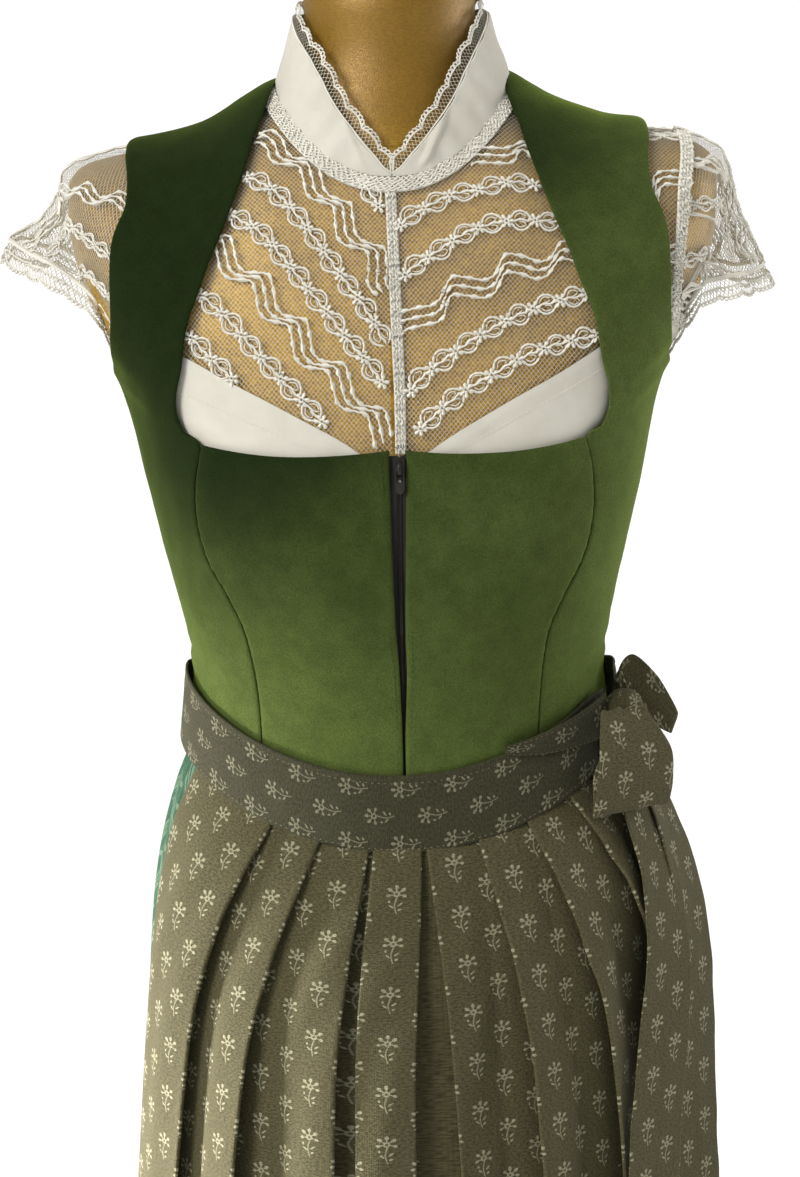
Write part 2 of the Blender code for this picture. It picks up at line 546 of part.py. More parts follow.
def sleeve_rings(count):
    """The left sleeve's inside as rings: the armhole, off the form, over its arm, the hem and the edging's end."""
    turn = np.linspace(0, 2 * math.pi, count, endpoint=False)[:, None]
    upper = (1 - np.cos(turn)) / 2
    hole = np.array(SLEEVE_HOLE + SLEEVE_HOLE[:1])
    spots = np.linspace(0, len(hole) - 1, count, endpoint=False)
    hole = np.stack([np.interp(spots, np.arange(len(hole)), column) for column in hole.T], 1)

    def shrunk_loop(scale, lift):
        loop = ARM_MIDDLE + (hole - ARM_MIDDLE) * scale
        return BODY.point(loop[:, 0], loop[:, 1], lift)

    slope, normal = np.array(SLEEVE_HEM_SLOPE), np.array((SLEEVE_HEM_SLOPE[2], 0.0, -SLEEVE_HEM_SLOPE[0]))
    hem = (np.array(SLEEVE_HEM_CENTRE) - SLEEVE_HEM_RADII[0] * np.cos(turn) * slope
           - SLEEVE_HEM_RADII[1] * np.sin(turn) * (0.0, 1.0, 0.0))
    start = shrunk_loop(0.930, BLOUSE_OFF)
    rise = shrunk_loop(0.93, 0.0045) * upper + (start * 0.8 + hem * 0.2) * (1 - upper)
    crest = shrunk_loop(0.72, 0.0065) * upper + (start * 0.6 + hem * 0.4) * (1 - upper)
    over = shrunk_loop(0.45, 0.0075) * upper ** 1.3 + (start * 0.4 + hem * 0.6) * (1 - upper ** 1.3)
    flare = over * 0.42 + hem * 0.58 - normal * 0.003 * upper
    outward_hem = (hem - hem.mean(0)) / np.linalg.norm(hem - hem.mean(0), axis=1, keepdims=True)
    edge = hem + normal * SLEEVE_EDGING_DROP + outward_hem * 0.002
    return np.stack([start, rise, crest, over, flare, hem, edge])


def outward(grid):
    """Unit vectors out of a closed grid of rings."""
    round_it = np.roll(grid, -1, 1) - np.roll(grid, 1, 1)
    down_it = np.gradient(grid, axis=0)
    out = np.cross(down_it, round_it)
    return out / np.linalg.norm(out, axis=-1, keepdims=True)


def build_sleeves():
    """Short flared lace sleeves, each with a braid round the armhole and a scalloped edging."""
    hole = drawn_curve(SLEEVE_HOLE[2:11], 21)
    scales = np.array([1.09, 1.012])[:, None, None]
    braid = ARM_MIDDLE + (hole[None] - ARM_MIDDLE) * scales
    for side, flip in (("left", (1, 1, 1)), ("right", (-1, 1, 1))):
        low = BODY.point(braid[..., 0], braid[..., 1], BRAID_OFF)
        high = BODY.point(braid[..., 0], braid[..., 1], BRAID_OFF + BRAID)
        wall("armhole_braid_" + side, high * flip, low * flip, "blouse_lace")
        body = sleeve_rings(22)[:6]
        wave = np.cos(np.arange(22) * math.pi)[None, :, None]
        gather = np.array([0.0, 0.0, 0.0008, 0.0008, 0.0010, 0.0])[:, None, None]
        body = body + outward(body) * wave * gather
        wall("sleeve_" + side, (body + outward(body) * CLOTH) * flip, body * flip, "blouse_lace", closed=True)
        hem, edge = sleeve_rings(44)[5:]
        shares = np.array([0.05, 1.0])[:, None, None]
        edging = hem[None] * (1 - shares) + edge[None] * shares
        wave = 0.0018 * np.cos(np.arange(44) * math.pi / 2)[None, :, None]
        edging = edging + outward(edging) * wave * np.array([0.0, 1.0])[:, None, None]
        out = outward(edging)
        wall("sleeve_edging_" + side, (edging + out * 0.0010) * flip, edging * flip, "blouse_lace", closed=True)


# ---------------------------------------------------------------- the bodice
def build_bodice():
    """Eight velvet panels with princess seams, and straps in one with the side and back panels."""
    princess = seen_curve(PRINCESS_SEAM, 11)
    princess[0] = (princess[0, 0], WAIST_LEVEL)
    corner = seen_curve(NECK_CORNER, 4)
    strap = drawn_curve(np.vstack([corner[-1:], STRAP_INNER]), 9)
    inner_edge = np.concatenate([princess, corner[1:], strap[1:]])
    side = drawn_curve(SIDE_SEAM, 9)
    armhole = drawn_curve(ARMHOLE_FRONT, len(inner_edge) - 8)
    outer_edge = np.concatenate([side, armhole[1:]])
    neckline = seen_curve(NECKLINE, 6)
    back_seam = drawn_curve(BACK_SEAM, 9)
    back_hole_low = drawn_curve(ARMHOLE_BACK[:3], 5)
    back_hole_high = drawn_curve(ARMHOLE_BACK[2:], 8)
    centre = straight((180.0, WAIST_LEVEL), BACK_NECK[0], 10)
    back_neck = drawn_curve(BACK_NECK, 7)
    side_front = patch(inner_edge, outer_edge, across=6)
    side_back = patch(side, back_seam, None, back_hole_low, 5)
    back = patch(np.concatenate([back_seam, back_hole_high[1:]]), np.concatenate([centre, back_neck[1:]]), across=6)
    for name, turn, zip_points in (("left", 1, ZIP_EDGE_LEFT), ("right", -1, ZIP_EDGE_RIGHT)):
        zip_edge = seen_curve(zip_points, 11)
        zip_edge[0] = (zip_edge[0, 0], WAIST_LEVEL)
        zip_edge = zip_edge * (turn, 1)
        top = neckline.copy()
        top[0] = zip_edge[-1]
        front = patch(zip_edge, princess, None, top, 6)
        for part, grid in (("front", front), ("side_front", side_front), ("side_back", side_back),
                           ("back", back)):
            panel("bodice_" + part + "_" + name, grid * (turn, 1), BODICE_OFF, VELVET, "bodice_velvet")


# ---------------------------------------------------------------- the zip
ZIP_TOP_Z = 1.2985
SLIDER_LONG, SLIDER_WIDE, SLIDER_THICK = 0.0130, 0.0066, 0.0028
BRIDGE_WIDE, BRIDGE_RISE = 0.0022, 0.0042
PULL_HINGE_GAP = 0.0008  # from the slider's top to the pull
PULL_LONG, PULL_WIDE, PULL_THICK = 0.0150, 0.0058, 0.0012
PULL_BAR = 0.0022        # the pull's bar under the bridge, round whose middle it swings


def zip_frame():
    """The slider's middle, the way down along the zip and the way out of the cloth."""
    level = BODY.locate(0.0, ZIP_TOP_Z - SLIDER_LONG / 2, BODICE_OFF)[1]
    middle = BODY.point(ZIP_MIDDLE, level, BODICE_OFF - 0.0002)
    below = BODY.point(ZIP_MIDDLE, level + 0.25, BODICE_OFF - 0.0002)
    down = (below - middle) * (0, 1, 1)
    down = down / np.linalg.norm(down)
    out = np.cross(down, (1.0, 0.0, 0.0))
    out = out * -np.sign(out[1])
    return middle, down, out / np.linalg.norm(out)


def framed(name, outline, hole, low, high, place, finish):
    """A plate with one hole, both outlines having as many points, placed by a function of across, along, out."""
    rings = [[place(x, y, h) for x, y in ring] for ring, h in
             ((outline, low), (outline, high), (hole, high), (hole, low))]
    count = len(outline)
    points = np.concatenate(rings)
    faces = []
    for r in range(4):
        for k in range(count):
            a, b = r * count + k, r * count + (k + 1) % count
            c, d = ((r + 1) % 4) * count + (k + 1) % count, ((r + 1) % 4) * count + k
            faces.append((a, b, c, d))
    return solid(name, points, faces, finish)


def oval(half_wide, half_long, count=16, middle=0.0, squareness=0.6):
    """A rounded rectangle's outline."""
    out = []
    for k in range(count):
        angle = 2 * math.pi * (k + 0.5) / count
        c, s = math.cos(angle), math.sin(angle)
        out.append((half_wide * math.copysign(abs(c) ** squareness, c),
                    middle + half_long * math.copysign(abs(s) ** squareness, s)))
    return out


def build_zip():
    """Two tapes under the bodice's edges, the slider with its bridge, and the hinged pull tab."""
    for name, sign in (("left", 1), ("right", -1)):
        levels = np.linspace(11.3, 7.12, 14)
        grid = patch(np.stack([np.full(14, ZIP_MIDDLE + sign * 0.25), levels], 1),
                     np.stack([np.full(14, ZIP_MIDDLE + sign * 5.2), levels], 1), across=2)
        outer = BODY.point(grid[..., 0], grid[..., 1], ZIP_OFF + ZIP_TAPE)
        inner = BODY.point(grid[..., 0], grid[..., 1], ZIP_OFF)
        wall("zip_tape_" + name, outer, inner, "zip_tape")
    middle, down, out = zip_frame()

    def place(x, y, h):
        return middle + np.array((x, 0.0, 0.0)) + down * y + out * h

    base = oval(SLIDER_WIDE / 2, SLIDER_LONG / 2, 16)
    lower = [place(x * (1 - 0.16 * y / SLIDER_LONG * 2), y, 0.0) for x, y in base]
    upper = [place(x * (0.9 - 0.16 * y / SLIDER_LONG * 2), y * 0.94, SLIDER_THICK) for x, y in base]
    count = len(base)
    points = np.concatenate([lower, upper])
    faces = [tuple(range(count))[::-1], tuple(range(count, 2 * count))]
    for k in range(count):
        a, b = k, (k + 1) % count
        faces.append((a, b, b + count, a + count))
    body = solid("zip_slider", points, faces, "zip_metal")
    half = BRIDGE_WIDE / 2
    reach, bar = 0.0052, 0.0012
    foot, bend, crest = SLIDER_THICK - 0.0006, SLIDER_THICK + BRIDGE_RISE * 0.72, SLIDER_THICK + BRIDGE_RISE
    arch = [(-reach, foot), (-reach * 0.85, bend), (-reach * 0.4, crest),
            (reach * 0.4, crest), (reach * 0.85, bend), (reach, foot)]
    hollow = [(-reach + bar, foot), (-reach * 0.85 + bar, bend - bar * 0.6),
              (-reach * 0.4 + bar * 0.4, crest - bar),
              (reach * 0.4 - bar * 0.4, crest - bar), (reach * 0.85 - bar, bend - bar * 0.6), (reach - bar, foot)]
    outer = np.array([[place(x, y, h) for y, h in arch] for x in (-half, half)]).transpose(1, 0, 2)
    inner = np.array([[place(x, y, h) for y, h in hollow] for x in (-half, half)]).transpose(1, 0, 2)
    bridge = wall("bridge_shape", outer, inner, "zip_metal")
    join = body.modifiers.new("bridge", "BOOLEAN")
    join.operation = "UNION"
    join.solver = "EXACT"
    join.object = bridge
    bridge.hide_render = True
    bridge.display_type = "WIRE"
    pin_height = SLIDER_THICK + PULL_HINGE_GAP + PULL_THICK / 2
    tab = oval(PULL_WIDE / 2, PULL_LONG / 2, 16, PULL_LONG / 2 - PULL_BAR / 2)
    window = oval(BRIDGE_WIDE / 2 + 0.0006, 0.0032, 16, PULL_BAR / 2 + 0.0032)
    pull = framed("zip_pull", tab, window, pin_height - PULL_THICK / 2, pin_height + PULL_THICK / 2, place,
                  "zip_metal")
    hinge = Vector(place(0.0, 0.0, pin_height))
    pull.data.transform(Matrix.Translation(-hinge))
    pull.location = hinge


# ---------------------------------------------------------------- skirt and apron
def offset_inside(along, height, thick):
    """The inner course of a folded wall: along and height moved in by its thickness, mitred at each bend."""
    course = np.stack([along, height], 1)
    steps = np.diff(course, axis=0)
    steps = steps / np.linalg.norm(steps, axis=1, keepdims=True)
    left = np.vstack([steps[:1], steps])
    right = np.vstack([steps, steps[-1:]])
    normal_left = np.stack([left[:, 1], -left[:, 0]], 1)
    normal_right = np.stack([right[:, 1], -right[:, 0]], 1)
    mitre = normal_left + normal_right
    mitre = mitre / np.linalg.norm(mitre, axis=1, keepdims=True)
    stretch = 1 / np.clip((mitre * normal_left).sum(1), 0.55, 1)
    return course + mitre * (thick * stretch)[:, None]


def folded_wall(name, sections, thick, finish):
    """A hanging wall from its sections: level, angles, heights above the hanging surface."""
    outer, inner = [], []
    for level, angles, heights in sections:
        radius = np.linalg.norm(HANG.point(angles, level)[:, :2], axis=1).mean()
        inside = offset_inside(np.radians(angles) * radius, heights, thick)
        outer.append(HANG.point(angles, np.full(len(angles), level), heights))
        inner.append(HANG.point(np.degrees(inside[:, 0] / radius), np.full(len(angles), level), inside[:, 1]))
    return wall(name, np.array(outer), np.array(inner), finish)


def skirt_section(level, start, folds, spacing):
    """Flat-topped folds of even spacing round half the skirt."""
    depth = HANG.at(level)[7]
    shape = ((0.06, 1.0), (0.44, 1.0), (0.56, -1.0), (0.94, -1.0))
    angles, heights = [], []
    for k in range(folds):
        for share, height in shape:
            angles.append(start + (k + share) * spacing)
            heights.append(depth * height)
    return level, np.array(angles), np.array(heights)


def build_skirt():
    """Front and back of the gathered skirt, which meet at side seams."""
    spacing = 360 / SKIRT_FOLDS
    for name, start in (("front", -90.0), ("back", 90.0)):
        sections = [skirt_section(level, start, SKIRT_FOLDS // 2, spacing) for level in SKIRT_LEVELS]
        closed = []
        for level, angles, heights in sections:
            edge_gap = 0.16
            angles = np.concatenate([[start + edge_gap], angles, [start + 180 - edge_gap]])
            depth = HANG.at(level)[7]
            heights = np.concatenate([[0.0], heights, [0.0]])
            closed.append((level, angles, np.clip(heights, -depth, depth)))
        folded_wall("skirt_" + name, closed, CLOTH, "skirt_cloth")


def apron_section(level):
    """The apron's folds at one level: panels that stand up on one edge, with hollows between them."""
    to_hip = min(level - APRON_TOP_LEVEL, APRON_HIP_LEVEL - APRON_TOP_LEVEL) / (APRON_HIP_LEVEL - APRON_TOP_LEVEL)
    to_hem = max(level - APRON_HIP_LEVEL, 0) / (APRON_HEM_LEVEL - APRON_HIP_LEVEL)
    base = HANG.at(level)[7] + np.interp(level, *APRON_CLEAR)
    rise = np.interp(level, *APRON_RISE)
    edges = []
    for row in APRON_FOLDS:
        top, hip, hem = np.array(row[0:2]), np.array(row[2:4]), np.array(row[4:6])
        edges.append(top + (hip - top) * to_hip + (hem - hip) * to_hem)
    angles, heights = [], []
    last = len(edges) - 1
    for k, (start, end) in enumerate(edges):
        if k:
            before = edges[k - 1][1]
            lean = 0.30 * (start - before)
            angles += [before + lean, start - lean]
            heights += [base, base]
        low_start = 0.0 if k == 0 else (0.45 if APRON_LEANS[k] > 0 else 1.0)
        low_end = 0.0 if k == last else (0.45 if APRON_LEANS[k] < 0 else 1.0)
        steps = 3 if k == 0 else 1
        for share in np.linspace(0, 1, steps + 1):
            swell = 0.12 * math.sin(math.pi * share)
            angles.append(start + (end - start) * share)
            heights.append(base + rise * (low_start + (low_end - low_start) * share + swell))
    return level, np.array(angles), np.array(heights)


def belt(name, angles, top, bottom, lift_top, lift_bottom):
    """A strip of jacquard round the waist between two levels, each edge lifted off the bodice."""
    shares = np.linspace(0, 1, 3)[:, None]
    levels = bottom[None] * (1 - shares) + top[None] * shares
    lift = lift_bottom[None] * (1 - shares) + lift_top[None] * shares
    grid = np.broadcast_to((angles[None] + 180) % 360 - 180, levels.shape)
    wall(name, BODY.point(grid, levels, BAND_OFF + BAND_WALL + lift), BODY.point(grid, levels, BAND_OFF + lift),
         "apron_jacquard")


def build_apron():
    """The pleated apron skirt, its band and the ties that run on from the band."""
    levels = np.concatenate([(APRON_TOP_LEVEL, 0.3, 0.65), np.linspace(1.05, APRON_HEM_LEVEL, APRON_ROWS - 3)])
    folded_wall("apron_skirt", [apron_section(level) for level in levels], CLOTH, "apron_jacquard")
    angles = np.linspace(-92, 66, 26)
    lean = np.sin(np.radians(angles)) ** 2
    ones = np.ones_like(angles)
    stand = 0.0020 * lean * (angles < 0) + 0.0045 * np.clip((angles - 56) / 10, 0, 1) ** 2
    belt("apron_band", angles, 11.03 - 0.10 * lean, 11.62 * ones, stand, 0.0030 * ones)
    angles = np.linspace(-92.6, -287.0, 28)
    share = np.clip((angles + 92.6) / -25, 0, 1) * np.clip((angles + 287.0) / 25, 0, 1)
    climb = np.clip((-angles - 250.0) / 37, 0, 1) ** 2
    belt("apron_tie_back", angles, 10.93 + 0.10 * share - 0.14 * climb, 11.62 - 0.08 * share - 0.34 * climb,
         0.0008 + 0.0012 * (1 - share) + 0.0038 * climb, 0.0030 + 0.0029 * climb)
    angles = np.linspace(27.0, 64.2, 8)
    share = (angles - 27.0) / 37.2
    belt("apron_tie_front", angles, 10.92 + 0.04 * share, 10.98 + 0.42 * share ** 0.8,
         0.0024 + 0.0050 * share, 0.0026 + 0.0044 * share)


# ---------------------------------------------------------------- the bow
def build_knot():
    """The knot, an oval lump over the ends of the band."""
    middle, out, back = knot_frame()
    rows, columns, points = 7, 12, []
    for i in range(rows):
        latitude = math.pi * (i + 0.5) / rows
        for j in range(columns):
            turn = 2 * math.pi * j / columns
            points.append(middle + out * KNOT_RADII[0] * math.sin(latitude) * math.cos(turn)
                          + back * KNOT_RADII[1] * math.sin(latitude) * math.sin(turn)
                          + np.array((0.0, 0.0, KNOT_RADII[2] * math.cos(latitude))))
    faces = [tuple(range(columns))[::-1], tuple(range((rows - 1) * columns, rows * columns))]
    for i in range(rows - 1):
        for j in range(columns):
            a, b = i * columns + j, i * columns + (j + 1) % columns
            faces.append((a, b, b + columns, a + columns))
    solid("bow_knot", points, faces, "apron_jacquard")


def knot_frame():
    """The knot's middle, the way out of the body there, and the way round it towards the back."""
    middle = BODY.point(BOW_ANGLE, BOW_LEVEL, BAND_OFF + BOW_STAND)
    out = BODY.normal(BOW_ANGLE, BOW_LEVEL) * (1, 1, 0)
    out = out / np.linalg.norm(out)
    return middle, out, np.array((-out[1], out[0], 0.0))


def build_loop(name, table, ahead, across, samples=16):
    """A bow loop from its table: ahead of the knot, sideways, up, and half its width."""
    middle = knot_frame()[0]
    ahead, across = np.array(ahead), np.array(across)
    sideways = np.array((-ahead[1], ahead[0], 0.0))
    rows = smooth_curve(table, samples)
    spine = middle + rows[:, :1] * ahead + rows[:, 1:2] * sideways + rows[:, 2:3] * (0.0, 0.0, 1.0)
    ribbon(name, spine, np.tile(across, (samples, 1)), rows[:, 3], BAND_WALL, "apron_jacquard")


def build_tail(name, start, table, samples=15):
    """A tie that leaves the knot and then hangs over the apron, by angle and level on the hanging surface."""
    rows = smooth_curve(table, samples)
    fold = np.array([HANG.at(level)[7] for level in rows[:, 1]])
    spine = HANG.point(rows[:, 0], rows[:, 1], fold + rows[:, 2])
    out = HANG.normal(rows[:, 0], rows[:, 1]) * (1, 1, 0)
    out = out / np.linalg.norm(out, axis=1, keepdims=True)
    tangent = np.stack([-out[:, 1], out[:, 0], np.zeros(samples)], 1)
    turn = np.radians(rows[:, 4])[:, None]
    across = tangent * np.cos(turn) + out * np.sin(turn)
    middle, ahead, back = knot_frame()
    first = np.array(start)
    knotted = middle + first[:, :1] * ahead + first[:, 1:2] * back + first[:, 2:3] * (0.0, 0.0, 1.0)
    ribbon(name, np.vstack([knotted, spine]), np.vstack([np.tile(back, (len(first), 1)), across]),
           np.concatenate([first[:, 3], rows[:, 3]]), BAND_WALL, "apron_jacquard")


def build_bow():
    """Knot, front loop, rear loop and two hanging tails."""
    build_knot()
    build_loop("bow_loop_front", FRONT_LOOP, (0.469, -0.883, 0.0), (0.883, 0.469, 0.0))
    build_loop("bow_loop_rear", REAR_LOOP, (0.469, -0.883, 0.0), (0.44, 0.08, 0.89))
    build_tail("bow_tail_front", FRONT_TAIL_START, FRONT_TAIL)
    build_tail("bow_tail_rear", REAR_TAIL_START, REAR_TAIL)


ASSEMBLIES = {
    "dress_form": ("form_", "stand_"),
    "blouse": ("collar_", "neck_braid", "yoke_", "blouse_", "front_strip", "sleeve_", "armhole_braid_"),
    "bodice": ("bodice_", "zip_"),
    "skirt": ("skirt_",),
    "apron": ("apron_", "bow_"),
}


def gather(assembly, prefixes):
    """Parents the assembly's pieces to one empty at the origin."""
    empty = bpy.data.objects.new(assembly, None)
    bpy.context.scene.collection.objects.link(empty)
    for piece in bpy.data.objects:
        if piece.type == "MESH" and piece.name.startswith(prefixes):
            piece.parent = empty


def main():
    """Clears the scene and builds every sub-part."""
    for existing in list(bpy.data.objects):
        bpy.data.objects.remove(existing)
    build_form()
    build_collar()
    build_neck_braid()
    build_blouse_body()
    build_sleeves()
    build_bodice()
    build_zip()
    build_skirt()
    build_apron()
    build_bow()
    for assembly, prefixes in ASSEMBLIES.items():
        gather(assembly, prefixes)


main()
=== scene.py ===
"""Finish of a dirndl with its apron and lace blouse, worn by a limbless dress form.

The frame holds the garment's solids. Each class below makes one sub-assembly's fine surface on the
same body surface as the solids, in metres, +Z up: the wearer faces -Y and the wearer's left is +X.
"""

from __future__ import annotations

import json
import logging
import math
from dataclasses import dataclass, field
from enum import Enum
from typing import Callable, Sequence

import bpy
import mathutils
import numpy as np
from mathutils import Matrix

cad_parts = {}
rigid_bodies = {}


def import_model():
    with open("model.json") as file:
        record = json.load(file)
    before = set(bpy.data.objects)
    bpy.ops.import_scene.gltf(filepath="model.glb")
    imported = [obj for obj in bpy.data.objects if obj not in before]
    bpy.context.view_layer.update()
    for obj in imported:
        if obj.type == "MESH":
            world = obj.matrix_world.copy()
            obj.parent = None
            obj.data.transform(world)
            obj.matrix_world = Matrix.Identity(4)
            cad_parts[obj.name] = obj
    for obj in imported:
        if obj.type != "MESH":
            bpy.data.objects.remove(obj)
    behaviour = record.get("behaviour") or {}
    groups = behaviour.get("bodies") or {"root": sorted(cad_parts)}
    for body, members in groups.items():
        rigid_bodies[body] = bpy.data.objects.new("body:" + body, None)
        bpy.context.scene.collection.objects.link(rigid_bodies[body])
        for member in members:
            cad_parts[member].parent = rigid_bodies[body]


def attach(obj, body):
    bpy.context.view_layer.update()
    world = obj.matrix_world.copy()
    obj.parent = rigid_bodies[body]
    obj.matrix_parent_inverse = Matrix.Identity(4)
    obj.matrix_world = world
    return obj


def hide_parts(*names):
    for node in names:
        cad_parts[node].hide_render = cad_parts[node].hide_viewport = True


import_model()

LOG = logging.getLogger("dirndl")
Array = np.ndarray
Point = tuple[float, float, float]
Side = tuple[str, int]
SIDES: tuple[Side, Side] = (("left", 1), ("right", -1))
BODY_NAME = "dressed_form"
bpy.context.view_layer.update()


# ---------------------------------------------------------------- sizes shared by the pieces
@dataclass(frozen=True)
class Layers:
    """How far each layer of clothing lies above the form, and how thick it is."""

    cloth: float = 0.0012
    velvet: float = 0.0020
    blouse: float = 0.0017
    zip_tape: float = 0.0035
    bodice: float = 0.0050
    band: float = 0.0082
    band_wall: float = 0.0020

    @property
    def over_blouse(self) -> float:
        """The height at which braid lies on the blouse."""
        return self.blouse + self.cloth + 0.0005

    @property
    def over_bodice(self) -> float:
        """The height of the velvet's pile."""
        return self.bodice + self.velvet


LAYERS = Layers()

# ring, half_width, front, back, z_front, z_side, z_back, square
TORSO = (
    ("neck_top",     0.0520, 0.052, 0.052, 1.548, 1.548, 1.548, 0.00),
    ("neck_middle",  0.0515, 0.055, 0.055, 1.508, 1.522, 1.525, 0.00),
    ("neck_base",    0.0560, 0.074, 0.064, 1.457, 1.499, 1.500, 0.00),
    ("upper_chest",  0.0880, 0.093, 0.083, 1.422, 1.489, 1.470, 0.03),
    ("mid_shoulder", 0.1220, 0.109, 0.098, 1.390, 1.477, 1.435, 0.06),
    ("shoulder_tip", 0.1560, 0.119, 0.108, 1.357, 1.461, 1.398, 0.06),
    ("arm_end",      0.1890, 0.124, 0.112, 1.330, 1.438, 1.360, 0.03),
    ("arm_middle",   0.1850, 0.127, 0.113, 1.302, 1.386, 1.325, 0.02),
    ("arm_lower",    0.1585, 0.129, 0.111, 1.270, 1.328, 1.285, 0.06),
    ("bust",         0.1440, 0.127, 0.106, 1.230, 1.264, 1.238, 0.08),
    ("under_bust",   0.1290, 0.113, 0.098, 1.175, 1.195, 1.180, 0.07),
    ("waist",        0.1215, 0.100, 0.090, 1.105, 1.140, 1.115, 0.05),
    ("high_hip",     0.1300, 0.104, 0.100, 1.024, 1.066, 1.045, 0.05),
    ("hip",          0.1420, 0.111, 0.115, 0.955, 0.965, 0.960, 0.04),
    ("form_bottom",  0.1330, 0.104, 0.104, 0.850, 0.850, 0.850, 0.02),
)
# as above, and fold
SKIRT = (
    ("seam",     0.1293, 0.1060, 0.0975, 1.0588, 1.0978, 1.0750, 0.05, 0.0004),
    ("gather",   0.1430, 0.1215, 0.1190, 1.022, 1.062, 1.036, 0.05, 0.0030),
    ("high_hip", 0.1530, 0.1350, 0.1380, 0.985, 1.015, 0.995, 0.05, 0.0055),
    ("hip",      0.1590, 0.1440, 0.1500, 0.930, 0.945, 0.930, 0.05, 0.0080),
    ("thigh",    0.1690, 0.1570, 0.1650, 0.790, 0.795, 0.790, 0.04, 0.0105),
    ("knee",     0.1850, 0.1750, 0.1840, 0.600, 0.600, 0.600, 0.03, 0.0130),
    ("hem",      0.2030, 0.1940, 0.2050, 0.405, 0.405, 0.405, 0.02, 0.0155),
)


# ---------------------------------------------------------------- surfaces and curves
@dataclass(frozen=True)
class Bust:
    """The swell of the bust on the torso's front."""

    apex_x: float = 0.074
    apex_z: float = 1.226
    rise: float = 0.015
    spread_x: float = 0.052
    spread_z: float = 0.050

    def lift(self, x: Array, z: Array, ahead: Array) -> Array:
        """How far the front comes forward.

        Args:
            x: the place across.
            z: the height.
            ahead: the cosine of the angle round the torso.

        Returns:
            Metres towards the front.
        """
        across = (np.abs(x) - self.apex_x) / self.spread_x
        along = (z - self.apex_z) / self.spread_z
        return self.rise * np.exp(-0.5 * (across ** 2 + along ** 2)) * np.clip(ahead * 3, 0, 1)


@dataclass(frozen=True)
class Stance:
    """How the worn shoulders differ from even ones: a lower one, a leaning neck, a hollow beside it."""

    # place across and rise
    shoulders: tuple = (
        (-0.200, 0.0080), (-0.180, 0.0070), (-0.165, 0.0030), (-0.152, 0.0), (-0.141, -0.0047),
        (-0.122, -0.0097), (-0.105, -0.0104), (-0.0926, -0.0074), (-0.083, -0.0040), (-0.070, 0.0015),
        (-0.055, 0.0025), (0.0, 0.0020), (0.055, 0.0040), (0.070, 0.0050), (0.0894, -0.0030),
        (0.104, -0.0040), (0.1275, -0.0033), (0.137, -0.0005), (0.151, 0.0050), (0.165, 0.0090),
        (0.180, 0.0120), (0.200, 0.0130))
    shoulder: tuple[float, float] = (1.385, 1.440)
    neck_lean: float = 0.0033
    neck: tuple[float, float] = (1.470, 1.520)
    arm: tuple[float, float] = (0.155, 0.190)
    longer_arms: tuple[float, float] = (0.0015, 0.0065)

    def shift(self, x: Array, z: Array) -> tuple[Array, Array]:
        """How far a point moves across and up.

        Args:
            x: the place across.
            z: the height.

        Returns:
            Metres across and metres up.
        """
        places = np.linspace(-0.22, 0.22, 221)
        rise = smoothed(np.interp(places, *np.array(self.shoulders).T), 2.6, 8, "edge")
        aside = self.neck_lean * ease(z, *self.neck)
        right, left = self.longer_arms
        aside = aside + ease(x, *self.arm) * left - ease(-x, *self.arm) * right
        return aside, np.interp(x, places, rise) * ease(z, *self.shoulder)


def ease(value: Array, low: float, high: float) -> Array:
    """0 up to low, 1 from high, and smooth between them.

    Args:
        value: the value.
        low: where the rise starts.
        high: where it ends.

    Returns:
        The share of the rise.
    """
    share = np.clip((value - low) / (high - low), 0, 1)
    return share * share * (3 - 2 * share)


def smoothed(table: Array, spread: float, reach: int, ends: str) -> Array:
    """A table of evenly spaced values with its corners taken off.

    Args:
        table: the values.
        spread: how far a value is spread, in steps.
        reach: how many steps on each side count.
        ends: how the table goes on at its ends, as numpy's pad has it.

    Returns:
        As many values.
    """
    weights = np.exp(-0.5 * (np.arange(-reach, reach + 1) / spread) ** 2)
    return np.convolve(np.pad(table, reach, ends), weights / weights.sum(), "valid")


